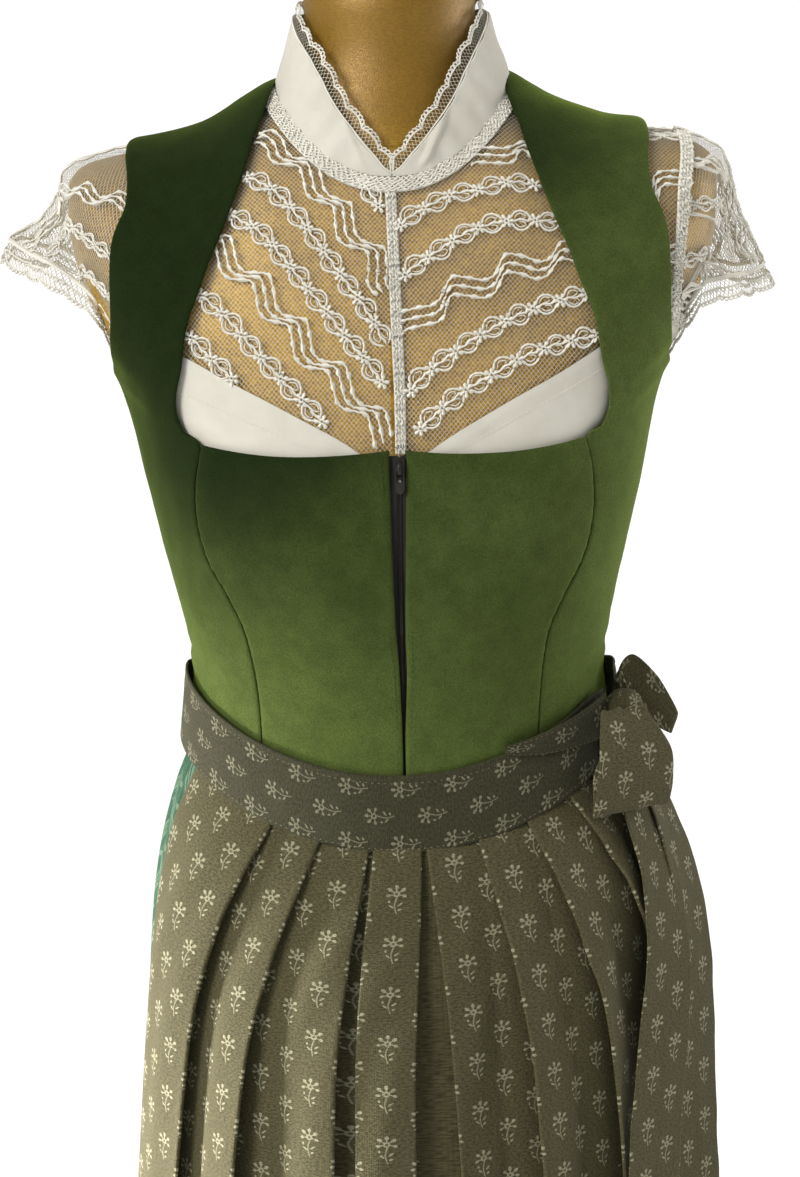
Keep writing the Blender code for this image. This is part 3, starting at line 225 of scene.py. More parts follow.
class RingSurface:
    """A closed surface through rings. An angle runs round it, 0 at the front, and a level down it."""

    def __init__(self, rows: Sequence[tuple], bust: Bust | None = None, stance: Stance | None = None) -> None:
        """Keeps the rings' columns and the slopes of the spline that joins them.

        Args:
            rows: one row for each ring, its name first.
            bust: the swell of the front, if the surface has one.
            stance: the unevenness of the shoulders, if it has any.
        """
        self.stance = stance
        self.values = np.array([row[1:] for row in rows], float)
        self.slopes = np.gradient(self.values, axis=0)
        self.last = len(rows) - 1
        self.bust = bust

    def at(self, level: Array) -> Array:
        """The rings' columns at a level, which may lie between two rings."""
        level = np.clip(np.asarray(level, float), 0.0, self.last - 1e-9)
        first = np.floor(level).astype(int)
        t = (level - first)[..., None]
        t2, t3 = t * t, t * t * t
        return ((2 * t3 - 3 * t2 + 1) * self.values[first] + (t3 - 2 * t2 + t) * self.slopes[first]
                + (3 * t2 - 2 * t3) * self.values[first + 1] + (t3 - t2) * self.slopes[first + 1])

    def bare(self, angle: Array, level: Array) -> Array:
        """Points of the surface itself."""
        width, front, back, z_front, z_side, z_back, square = np.moveaxis(self.at(level)[..., :7], -1, 0)
        sine, cosine = np.sin(np.radians(angle)), np.cos(np.radians(angle))
        x = width * sine * (1 + square * cosine ** 2)
        y = -np.where(cosine > 0, front, back) * cosine * (1 + square * sine ** 2)
        z = z_side + (np.where(cosine > 0, z_front, z_back) - z_side) * cosine ** 2
        if self.bust is not None:
            y = y - self.bust.lift(x, z, cosine)
        if self.stance is not None:
            aside, up = self.stance.shift(x, z)
            x, z = x + aside, z + up
        return np.stack([x, y, z], -1)

    def normal(self, angle: Array, level: Array) -> Array:
        """Unit vectors that point out of the surface."""
        level = np.asarray(level, float)
        round_it = self.bare(angle + 0.4, level) - self.bare(angle - 0.4, level)
        low, high = np.clip(level - 0.02, 0, self.last), np.clip(level + 0.02, 0, self.last)
        return unit(np.cross(self.bare(angle, high) - self.bare(angle, low), round_it))

    def point(self, angle: Array, level: Array, offset: Array | float = 0.0) -> Array:
        """Points moved out from the surface along its normal.

        Args:
            angle: degrees round the surface.
            level: rings down the surface.
            offset: metres out of it.

        Returns:
            The points, with one more axis than the angles.
        """
        angle, level = np.broadcast_arrays(np.asarray(angle, float), np.asarray(level, float))
        return self.bare(angle, level) + self.normal(angle, level) * np.asarray(offset)[..., None]

    def on(self, places: Array, offset: Array | float = 0.0) -> Array:
        """Points at places that hold angle and level in their last axis; see point()."""
        return self.point(places[..., 0], places[..., 1], offset)

    def normals(self, places: Array) -> Array:
        """The ways out at such places."""
        return self.normal(places[..., 0], places[..., 1])

    def locate(self, x: Array, z: Array, offset: float) -> Array:
        """The angle and level of the front points that lie at x, z when the surface is moved out.

        Args:
            x: places across the front.
            z: heights.
            offset: metres out of the surface.

        Returns:
            Angle and level in the last axis.
        """
        x, z = np.atleast_1d(x).astype(float), np.atleast_1d(z).astype(float)
        angles, levels = np.meshgrid(np.linspace(-88, 88, 45), np.linspace(2, self.last - 0.5, 60))
        seen = self.point(angles, levels, offset)[..., [0, 2]].reshape(-1, 2)
        near = np.argmin((seen[None, :, 0] - x[:, None]) ** 2 + (seen[None, :, 1] - z[:, None]) ** 2, axis=1)
        angle, level = angles.flat[near].copy(), levels.flat[near].copy()
        for _ in range(12):
            here = self.point(angle, level, offset)[..., [0, 2]]
            by_angle = (self.point(angle + 0.3, level, offset)[..., [0, 2]] - here) / 0.3
            by_level = (self.point(angle, level + 0.01, offset)[..., [0, 2]] - here) / 0.01
            left_x, left_z = x - here[:, 0], z - here[:, 1]
            whole = by_angle[:, 0] * by_level[:, 1] - by_level[:, 0] * by_angle[:, 1]
            angle += np.clip((left_x * by_level[:, 1] - left_z * by_level[:, 0]) / whole, -8, 8)
            level += np.clip((by_angle[:, 0] * left_z - by_angle[:, 1] * left_x) / whole, -0.5, 0.5)
        return np.stack([angle, level], -1)


def unit(vectors: Array) -> Array:
    """The vectors at length one."""
    return vectors / np.maximum(np.linalg.norm(vectors, axis=-1, keepdims=True), 1e-12)


TORSO_SURFACE = RingSurface(TORSO, Bust(), Stance())
HANGING_SURFACE = RingSurface(SKIRT)
# metres for a degree and for a level of the torso
ON_TORSO = (0.0024, 0.045)


def run_along(points: Array, axis: int = 0) -> Array:
    """The length from the first point along an axis of a grid or a path."""
    run = np.cumsum(np.linalg.norm(np.diff(points, axis=axis), axis=-1), axis=axis)
    return np.concatenate([np.zeros_like(np.take(run, [0], axis=axis)), run], axis=axis)


def at_run(marks_at: Array, run: Array, values: Array) -> Array:
    """The rows of a table at marks along its run."""
    return np.stack([np.interp(marks_at, run, column) for column in values.T], -1)


def spline(points: Sequence, marks: Array) -> Array:
    """A Catmull-Rom curve through points along the first axis.

    Args:
        points: the points that it passes through.
        marks: places along it, counted in points.

    Returns:
        One point for each mark.
    """
    points = np.asarray(points, float)
    ends = np.concatenate([2 * points[:1] - points[1:2], points, 2 * points[-1:] - points[-2:-1]])
    first = np.clip(np.floor(marks).astype(int), 0, len(points) - 2)
    t = (np.asarray(marks, float) - first).reshape((-1,) + (1,) * (points.ndim - 1))
    a, b, c, d = ends[first], ends[first + 1], ends[first + 2], ends[first + 3]
    return 0.5 * (2 * b + (c - a) * t + (2 * a - 5 * b + 4 * c - d) * t ** 2
                  + (3 * b - a - 3 * c + d) * t ** 3)


def smooth_curve(points: Sequence, count: int, scale: Sequence[float] | None = None) -> Array:
    """A spline's course in count points at equal steps.

    Args:
        points: the points that it passes through.
        count: how many to return.
        scale: what each column's step weighs.

    Returns:
        The evenly spaced points.
    """
    points = np.asarray(points, float)
    fine = spline(points, np.linspace(0, len(points) - 1, 14 * len(points)))
    run = run_along(fine * (1.0 if scale is None else np.array(scale)))
    return at_run(np.linspace(0, run[-1], count), run, fine)


def drawn_curve(points: Sequence, count: int) -> Array:
    """A curve of angle and level on the torso, spaced by its real length."""
    return smooth_curve(points, count, ON_TORSO)


def seen_curve(points: Sequence, count: int, offset: float) -> Array:
    """A curve drawn on the front view in x and z, as angle and level on the torso.

    Args:
        points: x and z of the points that it passes through.
        count: how many points to return.
        offset: how far out of the torso it lies.

    Returns:
        Angle and level of each point.
    """
    return TORSO_SURFACE.locate(*smooth_curve(points, count).T, offset)


def straight(start: Sequence[float], end: Sequence[float], count: int, density: float = 1.0) -> Array:
    """Points between two, evenly spaced or crowded towards the end.

    Args:
        start: the first point.
        end: the last point.
        count: how many points.
        density: above 1 crowds them towards the end.

    Returns:
        The points.
    """
    share = 1 - np.linspace(1, 0, count)[:, None] ** density
    return np.array(start) * (1 - share) + np.array(end) * share


def patch(left: Array, right: Array, bottom: Array | None = None, top: Array | None = None,
          across: int = 6) -> Array:
    """A coarse grid of angle and level between two edge curves.

    Args:
        left: the edge at the first column.
        right: the edge at the last column.
        bottom: the first row, if it isn't straight.
        top: the last row, if it isn't straight.
        across: how many columns.

    Returns:
        The grid.
    """
    flat = np.linspace(0, 1, across)[:, None]
    climb = np.linspace(0, 1, len(left))[:, None, None]
    grid = left[:, None, :] * (1 - flat[None]) + right[:, None, :] * flat[None]
    if bottom is not None:
        grid = grid + (bottom - (left[0] * (1 - flat) + right[0] * flat))[None] * (1 - climb)
    if top is not None:
        grid = grid + (top - (left[-1] * (1 - flat) + right[-1] * flat))[None] * climb
    return grid


def marks(last: float, count: int, rim: float) -> Array:
    """Places from 0 to last, crowded at both ends.

    Args:
        last: the last place.
        count: how many places lie between the rims.
        rim: the share of the whole that each rim takes.

    Returns:
        The places.
    """
    edge = np.array([0.0, 0.12, 0.35, 0.65]) * rim
    middle = np.linspace(rim, 1 - rim, count)
    return np.concatenate([edge, middle, 1 - edge[::-1]]) * last


def refined(grid: Array, rows: Array, columns: Array) -> Array:
    """The coarse grid on finer rows and columns, both counted in its own.

    Args:
        grid: the coarse grid.
        rows: places down it, counted in its rows.
        columns: places across it, counted in its columns.

    Returns:
        The finer grid.
    """
    down = spline(grid, rows)
    return np.moveaxis(spline(np.moveaxis(down, 1, 0), columns), 0, 1)


def wander(where: Array, size: float, seed: float) -> Array:
    """A smooth, gentle unevenness between -1 and 1.

    Args:
        where: points in metres.
        size: the length of its waves in metres.
        seed: a number that sets it apart from the others.

    Returns:
        One value for each point.
    """
    total = np.zeros(where.shape[:-1])
    for k in range(5):
        turn = seed * 1.7 + k * 2.399
        direction = np.array((math.cos(turn), math.sin(turn * 1.3), math.sin(turn)))
        phase = where @ direction * (2 * math.pi / size) * (0.7 + 0.25 * k) + seed * (k + 1)
        total += np.sin(phase) / (1 + 0.3 * k)
    return total / 3.2


# ---------------------------------------------------------------- meshes
def grid_faces(rows: int, columns: int, closed: bool, start: int = 0) -> Array:
    """The quads of a grid of points.

    Args:
        rows: how many rows.
        columns: how many columns.
        closed: whether the last column joins the first.
        start: the first point's number.

    Returns:
        Four point numbers for each quad.
    """
    spans = columns if closed else columns - 1
    i, j = np.meshgrid(np.arange(rows - 1), np.arange(spans), indexing="ij")
    k = (j + 1) % columns
    quads = np.stack([i * columns + j, i * columns + k, (i + 1) * columns + k, (i + 1) * columns + j], -1)
    return quads.reshape(-1, 4) + start


def mesh_object(name: str, points: Array, faces: Array | list, cloth: Array | None = None,
                sharp: float = 50.0, body: str = BODY_NAME) -> bpy.types.Object:
    """A mesh object that rides on a body of the frame.

    Args:
        name: the piece's name.
        points: its points, in any grid.
        faces: its faces as point numbers.
        cloth: each point's place on the flat cloth, in metres.
        sharp: the angle in degrees from which an edge is sharp.
        body: the body that it rides on.

    Returns:
        The object.
    """
    mesh = bpy.data.meshes.new(name)
    mesh.from_pydata(points.reshape(-1, 3).tolist(), [], faces if isinstance(faces, list) else faces.tolist())
    if cloth is not None:
        layer = mesh.uv_layers.new(name="cloth")
        corners = np.empty(len(mesh.loops), int)
        mesh.loops.foreach_get("vertex_index", corners)
        layer.uv.foreach_set("vector", cloth.reshape(-1, 2).astype(np.float32)[corners].ravel())
    mesh.shade_smooth()
    mesh.set_sharp_from_angle(angle=math.radians(sharp))
    made = bpy.data.objects.new(name, mesh)
    bpy.context.scene.collection.objects.link(made)
    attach(made, body)
    return made


def sheet_object(name: str, grid: Array, cloth: Array, closed: bool = False) -> bpy.types.Object:
    """A single layer of net; see mesh_object().

    Args:
        name: the piece's name.
        grid: its points.
        cloth: each point's place on the flat cloth, in metres.
        closed: whether the last column joins the first.

    Returns:
        The object.
    """
    return mesh_object(name, grid, grid_faces(*grid.shape[:2], closed), cloth)


def shell(name: str, walls: tuple[Array, Array], cloth: Array, sharp: float = 50.0) -> bpy.types.Object:
    """A thin closed wall between two equal grids of points.

    Args:
        name: the piece's name.
        walls: the outside's grid and the inside's.
        cloth: each point's place on the flat cloth, in metres.
        sharp: the angle in degrees from which an edge is sharp.

    Returns:
        The object.
    """
    rows, columns = walls[0].shape[:2]
    back, top = rows * columns, (rows - 1) * columns
    i, j = np.arange(rows - 1) * columns, np.arange(columns - 1)
    k = i + columns - 1
    faces = np.concatenate([
        grid_faces(rows, columns, False), grid_faces(rows, columns, False, back)[:, ::-1],
        np.stack([j, j + back, j + 1 + back, j + 1], 1),
        np.stack([j + top, j + 1 + top, j + 1 + top + back, j + top + back], 1),
        np.stack([i, i + columns, i + columns + back, i + back], 1),
        np.stack([k, k + back, k + columns + back, k + columns], 1)])
    points = np.concatenate([wall.reshape(-1, 3) for wall in walls])
    if signed_volume(points, faces) < 0:
        faces = faces[:, ::-1]
    return mesh_object(name, points, faces, np.concatenate([cloth, cloth]), sharp)


def capped(grid: Array) -> tuple[Array, list]:
    """A closed grid of rings with both ends closed by triangles.

    Args:
        grid: the rings.

    Returns:
        Points, the two ends' middles last, and faces that look out.
    """
    rows, columns = grid.shape[:2]
    points = np.concatenate([grid.reshape(-1, 3), grid[:1].mean(1), grid[-1:].mean(1)])
    quads, count = grid_faces(rows, columns, True), rows * columns
    k = np.arange(columns)
    after, first, second = (k + 1) % columns, np.full(columns, count), np.full(columns, count + 1)
    last = count - columns
    fans = np.stack([first, after, k, k, second, last + k, last + after, last + after], 1).reshape(-1, 4)
    faces = quads.tolist() + fans[:, :3].tolist()
    outward = signed_volume(points, np.concatenate([quads, fans])) > 0
    return points, faces if outward else [face[::-1] for face in faces]


def signed_volume(points: Array, faces: Array) -> float:
    """Six times the volume inside quads, below 0 where they face in."""
    a, b, c, d = (points[faces[:, k]] for k in range(4))
    return float((a * (np.cross(b, c) + np.cross(c, d))).sum())


def rim_share(middle: Array, rim: float) -> Array:
    """How much of a wall's thickness is left at each point, so that its free edges are rounded.

    Args:
        middle: the grid of the wall's middle layer.
        rim: how far the rounding reaches in from an edge.

    Returns:
        A share of 1 for each point, with one more axis.
    """
    reach = np.ones(middle.shape[:2])
    for axis in (0, 1):
        run = run_along(middle, axis)
        near = np.minimum(run, np.take(run, [-1], axis=axis) - run)
        reach = np.minimum(reach, near / rim)
    return np.maximum(np.sqrt(1 - (1 - np.clip(reach, 0, 1)) ** 2), 0.08)


def rounded(points_at: Callable[[Array | float], Array], thick: float, rim: float) -> tuple[Array, Array]:
    """The outside and inside of a cloth wall that lies on a surface.

    Args:
        points_at: gives the grid's points at a height above the surface.
        thick: how thick the wall is.
        rim: how far the rounding reaches in from an edge.

    Returns:
        The outer and the inner grid.
    """
    half = thick / 2
    share = rim_share(points_at(half), rim)
    return points_at(half + half * share), points_at(half - half * share)


def thickened(middle: Array, thick: float, rim: float, outward: Array) -> tuple[Array, Array]:
    """The outside and inside of cloth whose middle layer is a grid.

    Args:
        middle: the grid.
        thick: the cloth's thickness.
        rim: how far the rounding of a free edge reaches in.
        outward: a rough way out at each point, which settles the side.

    Returns:
        The outer and the inner grid.
    """
    normal = unit(np.cross(np.gradient(middle, axis=0), np.gradient(middle, axis=1)))
    if (normal * outward).sum() < 0:
        normal = -normal
    half = normal * (thick / 2 * rim_share(middle, rim)[..., None])
    return middle + half, middle - half


def cloth_map(points: Array) -> Array:
    """Each grid point's place on the flat cloth, in metres, with the grain down the middle column."""
    column = points.shape[1] // 2
    across = run_along(points, 1)
    along = run_along(points)[:, column:column + 1]
    return np.stack([across - across[:, column:column + 1], np.broadcast_to(along, across.shape)], -1)


def hung_map(points: Array) -> Array:
    """Each point's place on cloth that hangs straight down in front and behind, in metres."""
    return np.stack([points[..., 0], 0.6 * np.abs(points[..., 1]) - points[..., 2]], -1)


def sleeve_map(points: Array) -> Array:
    """Each point's place on a sleeve's cloth, in metres."""
    return np.stack([np.abs(points[..., 0]) - 0.8 * np.abs(points[..., 1]), -points[..., 2]], -1)


class Strands:
    """Many small cords that become one mesh."""

    def __init__(self) -> None:
        """Starts with nothing."""
        self.points: list[Array] = []
        self.faces: list[Array] = []
        self.count = 0

    def cord(self, path: Array, radius: Array | float, sides: int = 5, closed: bool = False,
             up: Array | None = None, flat: float = 1.0) -> None:
        """Adds a cord. An open one's ends are drawn in to a small hole.

        Args:
            path: its centre line.
            radius: one radius, or one for each point.
            sides: how many sides.
            closed: whether the path returns to its start.
            up: a direction for each point that the flattening keeps to.
            flat: how high the cord is for its width.
        """
        run = unit(np.roll(path, -1, 0) - np.roll(path, 1, 0) if closed else np.gradient(path, axis=0))
        if up is None:
            up = np.where(np.abs(run[:, 2:3]) > 0.9, (1.0, 0.0, 0.0), (0.0, 0.0, 1.0))
        side = unit(np.cross(run, up))
        rise = np.cross(side, run)
        turn = np.arange(sides)[:, None] * 2 * math.pi / sides
        sizes = np.broadcast_to(np.asarray(radius, float), len(path)).copy()
        if not closed:
            sizes[[0, -1]] *= 0.3
        ring = side[:, None] * np.cos(turn) + rise[:, None] * np.sin(turn) * flat
        faces = grid_faces(len(path), sides, True)
        if closed:
            j = np.arange(sides)
            k, last = (j + 1) % sides, (len(path) - 1) * sides
            faces = np.concatenate([faces, np.stack([last + j, last + k, k, j], 1)])
        self.points.append((path[:, None] + ring * sizes[:, None, None]).reshape(-1, 3))
        self.faces.append(faces + self.count)
        self.count += len(self.points[-1])

    def made(self, name: str, sharp: float = 60.0) -> bpy.types.Object:
        """The mesh of all that was added."""
        return mesh_object(name, np.concatenate(self.points), np.concatenate(self.faces), sharp=sharp)


# ---------------------------------------------------------------- finishes
Socket = bpy.types.NodeSocket
Value = Socket | float | tuple


class Nodes:
    """A node tree and short ways to add to it."""

    def __init__(self, tree: bpy.types.NodeTree) -> None:
        """Keeps the tree."""
        self.tree = tree

    def node(self, kind: str, values: dict[str | int, Value] | None = None,
             **settings: object) -> bpy.types.Node:
        """Adds a node.

        Args:
            kind: the node's type.
            values: its inputs, each a socket to link or a value to set.
            settings: its own settings.

        Returns:
            The node.
        """
        made = self.tree.nodes.new(kind)
        for key, setting in settings.items():
            setattr(made, key, setting)
        for key, value in (values or {}).items():
            self.feed(made.inputs[key], value)
        return made

    def feed(self, socket: Socket, value: Value) -> None:
        """Links a socket or sets its value."""
        if isinstance(value, bpy.types.NodeSocket):
            self.tree.links.new(value, socket)
        elif isinstance(value, tuple) and len(value) == 3 and len(socket.default_value) == 4:
            socket.default_value = (*value, 1.0)
        else:
            socket.default_value = value

    def math(self, operation: str, *values: Value, clamp: bool = False) -> Socket:
        """The result of one sum.

        Args:
            operation: the sum's name.
            values: what it is made of.
            clamp: whether the result stays between 0 and 1.

        Returns:
            The result.
        """
        made = self.node("ShaderNodeMath", dict(enumerate(values)), operation=operation, use_clamp=clamp)
        return made.outputs[0]

    def spread(self, value: Value, low: float, high: float, start: Value = 0.0, end: Value = 1.0) -> Socket:
        """A value's way from low to high, smoothed, as one from start to end.

        Args:
            value: the value.
            low: where it starts to count.
            high: where it counts in full.
            start: the result at low.
            end: the result at high.

        Returns:
            The result.
        """
        made = self.node("ShaderNodeMapRange", {0: value, 1: low, 2: high, 3: start, 4: end},
                         interpolation_type="SMOOTHSTEP")
        return made.outputs[0]

    def mix(self, share: Value, first: Value, second: Value) -> Socket:
        """A colour between two.

        Args:
            share: how much of the second.
            first: the colour at 0.
            second: the colour at 1.

        Returns:
            The colour.
        """
        made = self.node("ShaderNodeMix", data_type="RGBA")
        self.feed(made.inputs[0], share)
        self.feed(made.inputs[6], first)
        self.feed(made.inputs[7], second)
        return made.outputs[2]

    def noise(self, place: Value, scale: float, detail: float = 2.0, rough: float = 0.5) -> Socket:
        """Smooth noise between 0 and 1.

        Args:
            place: where.
            scale: how many waves a unit holds.
            detail: how many finer layers.
            rough: how strong they are.

        Returns:
            The noise.
        """
        made = self.node("ShaderNodeTexNoise", {"Vector": place, "Scale": scale, "Detail": detail,
                                                "Roughness": rough})
        return made.outputs[0]

    def parts(self, vector: Value) -> tuple[Socket, Socket]:
        """The first two parts of a vector."""
        made = self.node("ShaderNodeSeparateXYZ", {0: vector})
        return made.outputs[0], made.outputs[1]

    def flat(self) -> Socket:
        """The place on the flat cloth, in metres."""
        return self.node("ShaderNodeUVMap", uv_map="cloth").outputs[0]

    def place(self) -> Socket:
        """The place on the object, in metres."""
        return self.node("ShaderNodeTexCoord").outputs["Object"]


class Effect:
    """A surface effect that several finishes share, kept as one node group."""

    name = ""
    inputs: tuple[tuple[str, str, float], ...] = ()
    outputs: tuple[str, ...] = ()

    def group(self) -> bpy.types.NodeTree:
        """The node group, built the first time that it is asked for."""
        tree = bpy.data.node_groups.get(self.name)
        if tree is None:
            tree = bpy.data.node_groups.new(self.name, "ShaderNodeTree")
            for label, kind, default in self.inputs:
                socket = tree.interface.new_socket(label, in_out="INPUT", socket_type=kind)
                if kind == "NodeSocketFloat":
                    socket.default_value = default
            for label in self.outputs:
                tree.interface.new_socket(label, in_out="OUTPUT", socket_type="NodeSocketFloat")
            nodes = Nodes(tree)
            start, end = nodes.node("NodeGroupInput"), nodes.node("NodeGroupOutput")
            self.build(nodes, start, end)
        return tree

    def build(self, nodes: Nodes, start: bpy.types.Node, end: bpy.types.Node) -> None:
        """Fills the group between its input and its output node.

        Args:
            nodes: the group's nodes.
            start: its input node.
            end: its output node.
        """
        raise NotImplementedError

    def used(self, nodes: Nodes, **values: Value) -> bpy.types.NodeOutputs:
        """Places the effect in a material and gives its outputs.

        Args:
            nodes: the material's nodes.
            values: the group's inputs by name.

        Returns:
            The group's outputs.
        """
        made = nodes.node("ShaderNodeGroup", node_tree=self.group())
        for key, value in values.items():
            nodes.feed(made.inputs[key], value)
        return made.outputs


class Weave(Effect):
    """Threads that pass over and under each other, with the unevenness of spun yarn."""

    name = "weave"
    inputs = (("Cloth", "NodeSocketVector", 0), ("Warp", "NodeSocketFloat", 0.001),
              ("Weft", "NodeSocketFloat", 0.001), ("Slub", "NodeSocketFloat", 0.3))
    outputs = ("Height", "Warp_Up", "Yarn")

    def build(self, nodes: Nodes, start: bpy.types.Node, end: bpy.types.Node) -> None:
        """A plain weave: warp and weft on top by turns.

        Args:
            nodes: the group's nodes.
            start: its input node.
            end: its output node.
        """
        u, v = nodes.parts(start.outputs["Cloth"])
        across = nodes.math("DIVIDE", u, start.outputs["Warp"])
        along = nodes.math("DIVIDE", v, start.outputs["Weft"])
        wave_u = nodes.math("ABSOLUTE", nodes.math("SINE", nodes.math("MULTIPLY", across, math.pi)))
        wave_v = nodes.math("ABSOLUTE", nodes.math("SINE", nodes.math("MULTIPLY", along, math.pi)))
        odd = nodes.math("ADD", nodes.math("FLOOR", across), nodes.math("FLOOR", along))
        up = nodes.math("ABSOLUTE", nodes.math("MODULO", odd, 2.0))
        over = nodes.math("MULTIPLY", wave_u, nodes.math("ADD", nodes.math("MULTIPLY", wave_v, 0.5), 0.5))
        under = nodes.math("MULTIPLY", wave_v, nodes.math("ADD", nodes.math("MULTIPLY", wave_u, 0.5), 0.5))
        height = nodes.math("ADD", nodes.math("MULTIPLY", over, up),
                            nodes.math("MULTIPLY", under, nodes.math("SUBTRACT", 1.0, up)))
        yarn = nodes.noise(start.outputs["Cloth"], 1100.0, 3.0, 0.6)
        long_slub = nodes.node("ShaderNodeVectorMath", {0: start.outputs["Cloth"], 1: (900.0, 120.0, 1.0)},
                               operation="MULTIPLY").outputs[0]
        slub = nodes.noise(long_slub, 1.0, 2.0)
        uneven = nodes.math("MULTIPLY", nodes.math("ADD", yarn, slub), 0.5)
        height = nodes.math("ADD", height, nodes.math("MULTIPLY", uneven, start.outputs["Slub"]))
        nodes.feed(end.inputs["Height"], height)
        nodes.feed(end.inputs["Warp_Up"], up)
        nodes.feed(end.inputs["Yarn"], uneven)


class Mottle(Effect):
    """Broad and fine unevenness of tone, as velvet pile or handled cloth has."""

    name = "mottle"
    inputs = (("Place", "NodeSocketVector", 0), ("Broad", "NodeSocketFloat", 18.0),
              ("Fine", "NodeSocketFloat", 700.0))
    outputs = ("Tone", "Grain")

    def build(self, nodes: Nodes, start: bpy.types.Node, end: bpy.types.Node) -> None:
        """Two noises, the broad one drawn out by a third.

        Args:
            nodes: the group's nodes.
            start: its input node.
            end: its output node.
        """
        bent = nodes.node("ShaderNodeTexNoise",
                          {"Vector": start.outputs["Place"], "Scale": 9.0, "Detail": 1.0})
        place = nodes.node("ShaderNodeVectorMath",
                           {0: bent.outputs[1], 1: (0.03,) * 3, 2: start.outputs["Place"]},
                           operation="MULTIPLY_ADD")
        broad = nodes.node("ShaderNodeTexNoise", {"Vector": place.outputs[0], "Scale": start.outputs["Broad"],
                                                  "Detail": 3.0, "Roughness": 0.55})
        fine = nodes.node("ShaderNodeTexNoise",
                          {"Vector": start.outputs["Place"], "Scale": start.outputs["Fine"],
                                                 "Detail": 2.0})
        nodes.feed(end.inputs["Tone"], nodes.spread(broad.outputs[0], 0.32, 0.68))
        nodes.feed(end.inputs["Grain"], fine.outputs[0])


class Sprig(Effect):
    """Small sprigs, each a head of five buds on a stem, in a half-drop repeat."""

    name = "sprig"
    inputs = (("Cloth", "NodeSocketVector", 0), ("Wide", "NodeSocketFloat", 0.033),
              ("High", "NodeSocketFloat", 0.031))
    outputs = ("Mask",)

    @staticmethod
    def leaf(nodes: Nodes, x: Socket, y: Socket, middle: tuple[float, float], half: tuple[float, float],
             turn: float) -> Socket:
        """A leaf-shaped mask in millimetres.

        Args:
            nodes: the tree.
            x: the place across.
            y: the place up.
            middle: the leaf's middle.
            half: its half length and half width.
            turn: its lean in degrees.

        Returns:
            1 inside and 0 outside.
        """
        c, s = math.cos(math.radians(turn)), math.sin(math.radians(turn))
        dx, dy = nodes.math("SUBTRACT", x, middle[0]), nodes.math("SUBTRACT", y, middle[1])
        long = nodes.math("ADD", nodes.math("MULTIPLY", dx, c / half[0]),
                          nodes.math("MULTIPLY", dy, s / half[0]))
        wide = nodes.math("SUBTRACT", nodes.math("MULTIPLY", dy, c / half[1]),
                          nodes.math("MULTIPLY", dx, s / half[1]))
        size = nodes.math("ADD", nodes.math("MULTIPLY", long, long), nodes.math("MULTIPLY", wide, wide))
        return nodes.spread(size, 0.75, 1.25, 1.0, 0.0)

    def build(self, nodes: Nodes, start: bpy.types.Node, end: bpy.types.Node) -> None:
        """One sprig in each cell: five buds round a ring, a stem and its leaves.

        Args:
            nodes: the group's nodes.
            start: its input node.
            end: its output node.
        """
        u, v = nodes.parts(start.outputs["Cloth"])
        half = nodes.math("MULTIPLY", start.outputs["Wide"], 0.5)
        column = nodes.math("DIVIDE", u, half)
        odd = nodes.math("ABSOLUTE", nodes.math("MODULO", nodes.math("FLOOR", column), 2.0))
        row = nodes.math("ADD", nodes.math("DIVIDE", v, start.outputs["High"]),
                         nodes.math("MULTIPLY", odd, 0.5))
        x = nodes.math("MULTIPLY", nodes.math("SUBTRACT", nodes.math("FRACT", column), 0.5),
                       nodes.math("MULTIPLY", half, 1000.0))
        y = nodes.math("MULTIPLY", nodes.math("SUBTRACT", 0.5, nodes.math("FRACT", row)),
                       nodes.math("MULTIPLY", start.outputs["High"], 1000.0))
        mirror = nodes.math("ABSOLUTE", x)
        up = nodes.math("SUBTRACT", y, 3.0)
        radius = nodes.math("SQRT", nodes.math("ADD", nodes.math("MULTIPLY", x, x),
                                               nodes.math("MULTIPLY", up, up)))
        ring = nodes.math("ABSOLUTE", nodes.math("SUBTRACT", radius, 1.25))
        mask = nodes.spread(ring, 0.35, 0.75, 0.9, 0.0)
        bend = nodes.math("MULTIPLY", nodes.math("SINE", nodes.math("MULTIPLY", y, 0.42)), 0.7)
        stem = nodes.spread(nodes.math("ABSOLUTE", nodes.math("SUBTRACT", x, bend)), 0.22, 0.5, 0.75, 0.0)
        stem = nodes.math("MULTIPLY", stem, nodes.math("MULTIPLY", nodes.math("LESS_THAN", y, 1.6),
                                                       nodes.math("GREATER_THAN", y, -9.0)))
        pieces = [stem]
        for bearing, reach, size in ((0.0, 4.1, 1.15), (52.0, 4.3, 1.15), (104.0, 4.2, 1.0)):
            s, c = math.sin(math.radians(bearing)), math.cos(math.radians(bearing))
            pieces.append(self.leaf(nodes, mirror, y, (reach * s, 3.0 + reach * c),
                                    (size * 1.15, size * 0.85), 90.0 - bearing))
            pieces.append(self.leaf(nodes, mirror, y, (2.4 * s, 3.0 + 2.4 * c), (1.1, 0.30), 90.0 - bearing))
        pieces += [self.leaf(nodes, x, y, (2.0, -3.2), (1.6, 0.5), 40.0),
                   self.leaf(nodes, x, y, (-2.3, -4.6), (1.5, 0.5), 140.0),
                   self.leaf(nodes, x, y, (1.9, -6.4), (1.0, 0.6), 30.0),
                   self.leaf(nodes, x, y, (-3.5, -1.6), (0.8, 0.6), 100.0)]
        for piece in pieces:
            mask = nodes.math("MAXIMUM", mask, piece)
        nodes.feed(end.inputs["Mask"], mask)


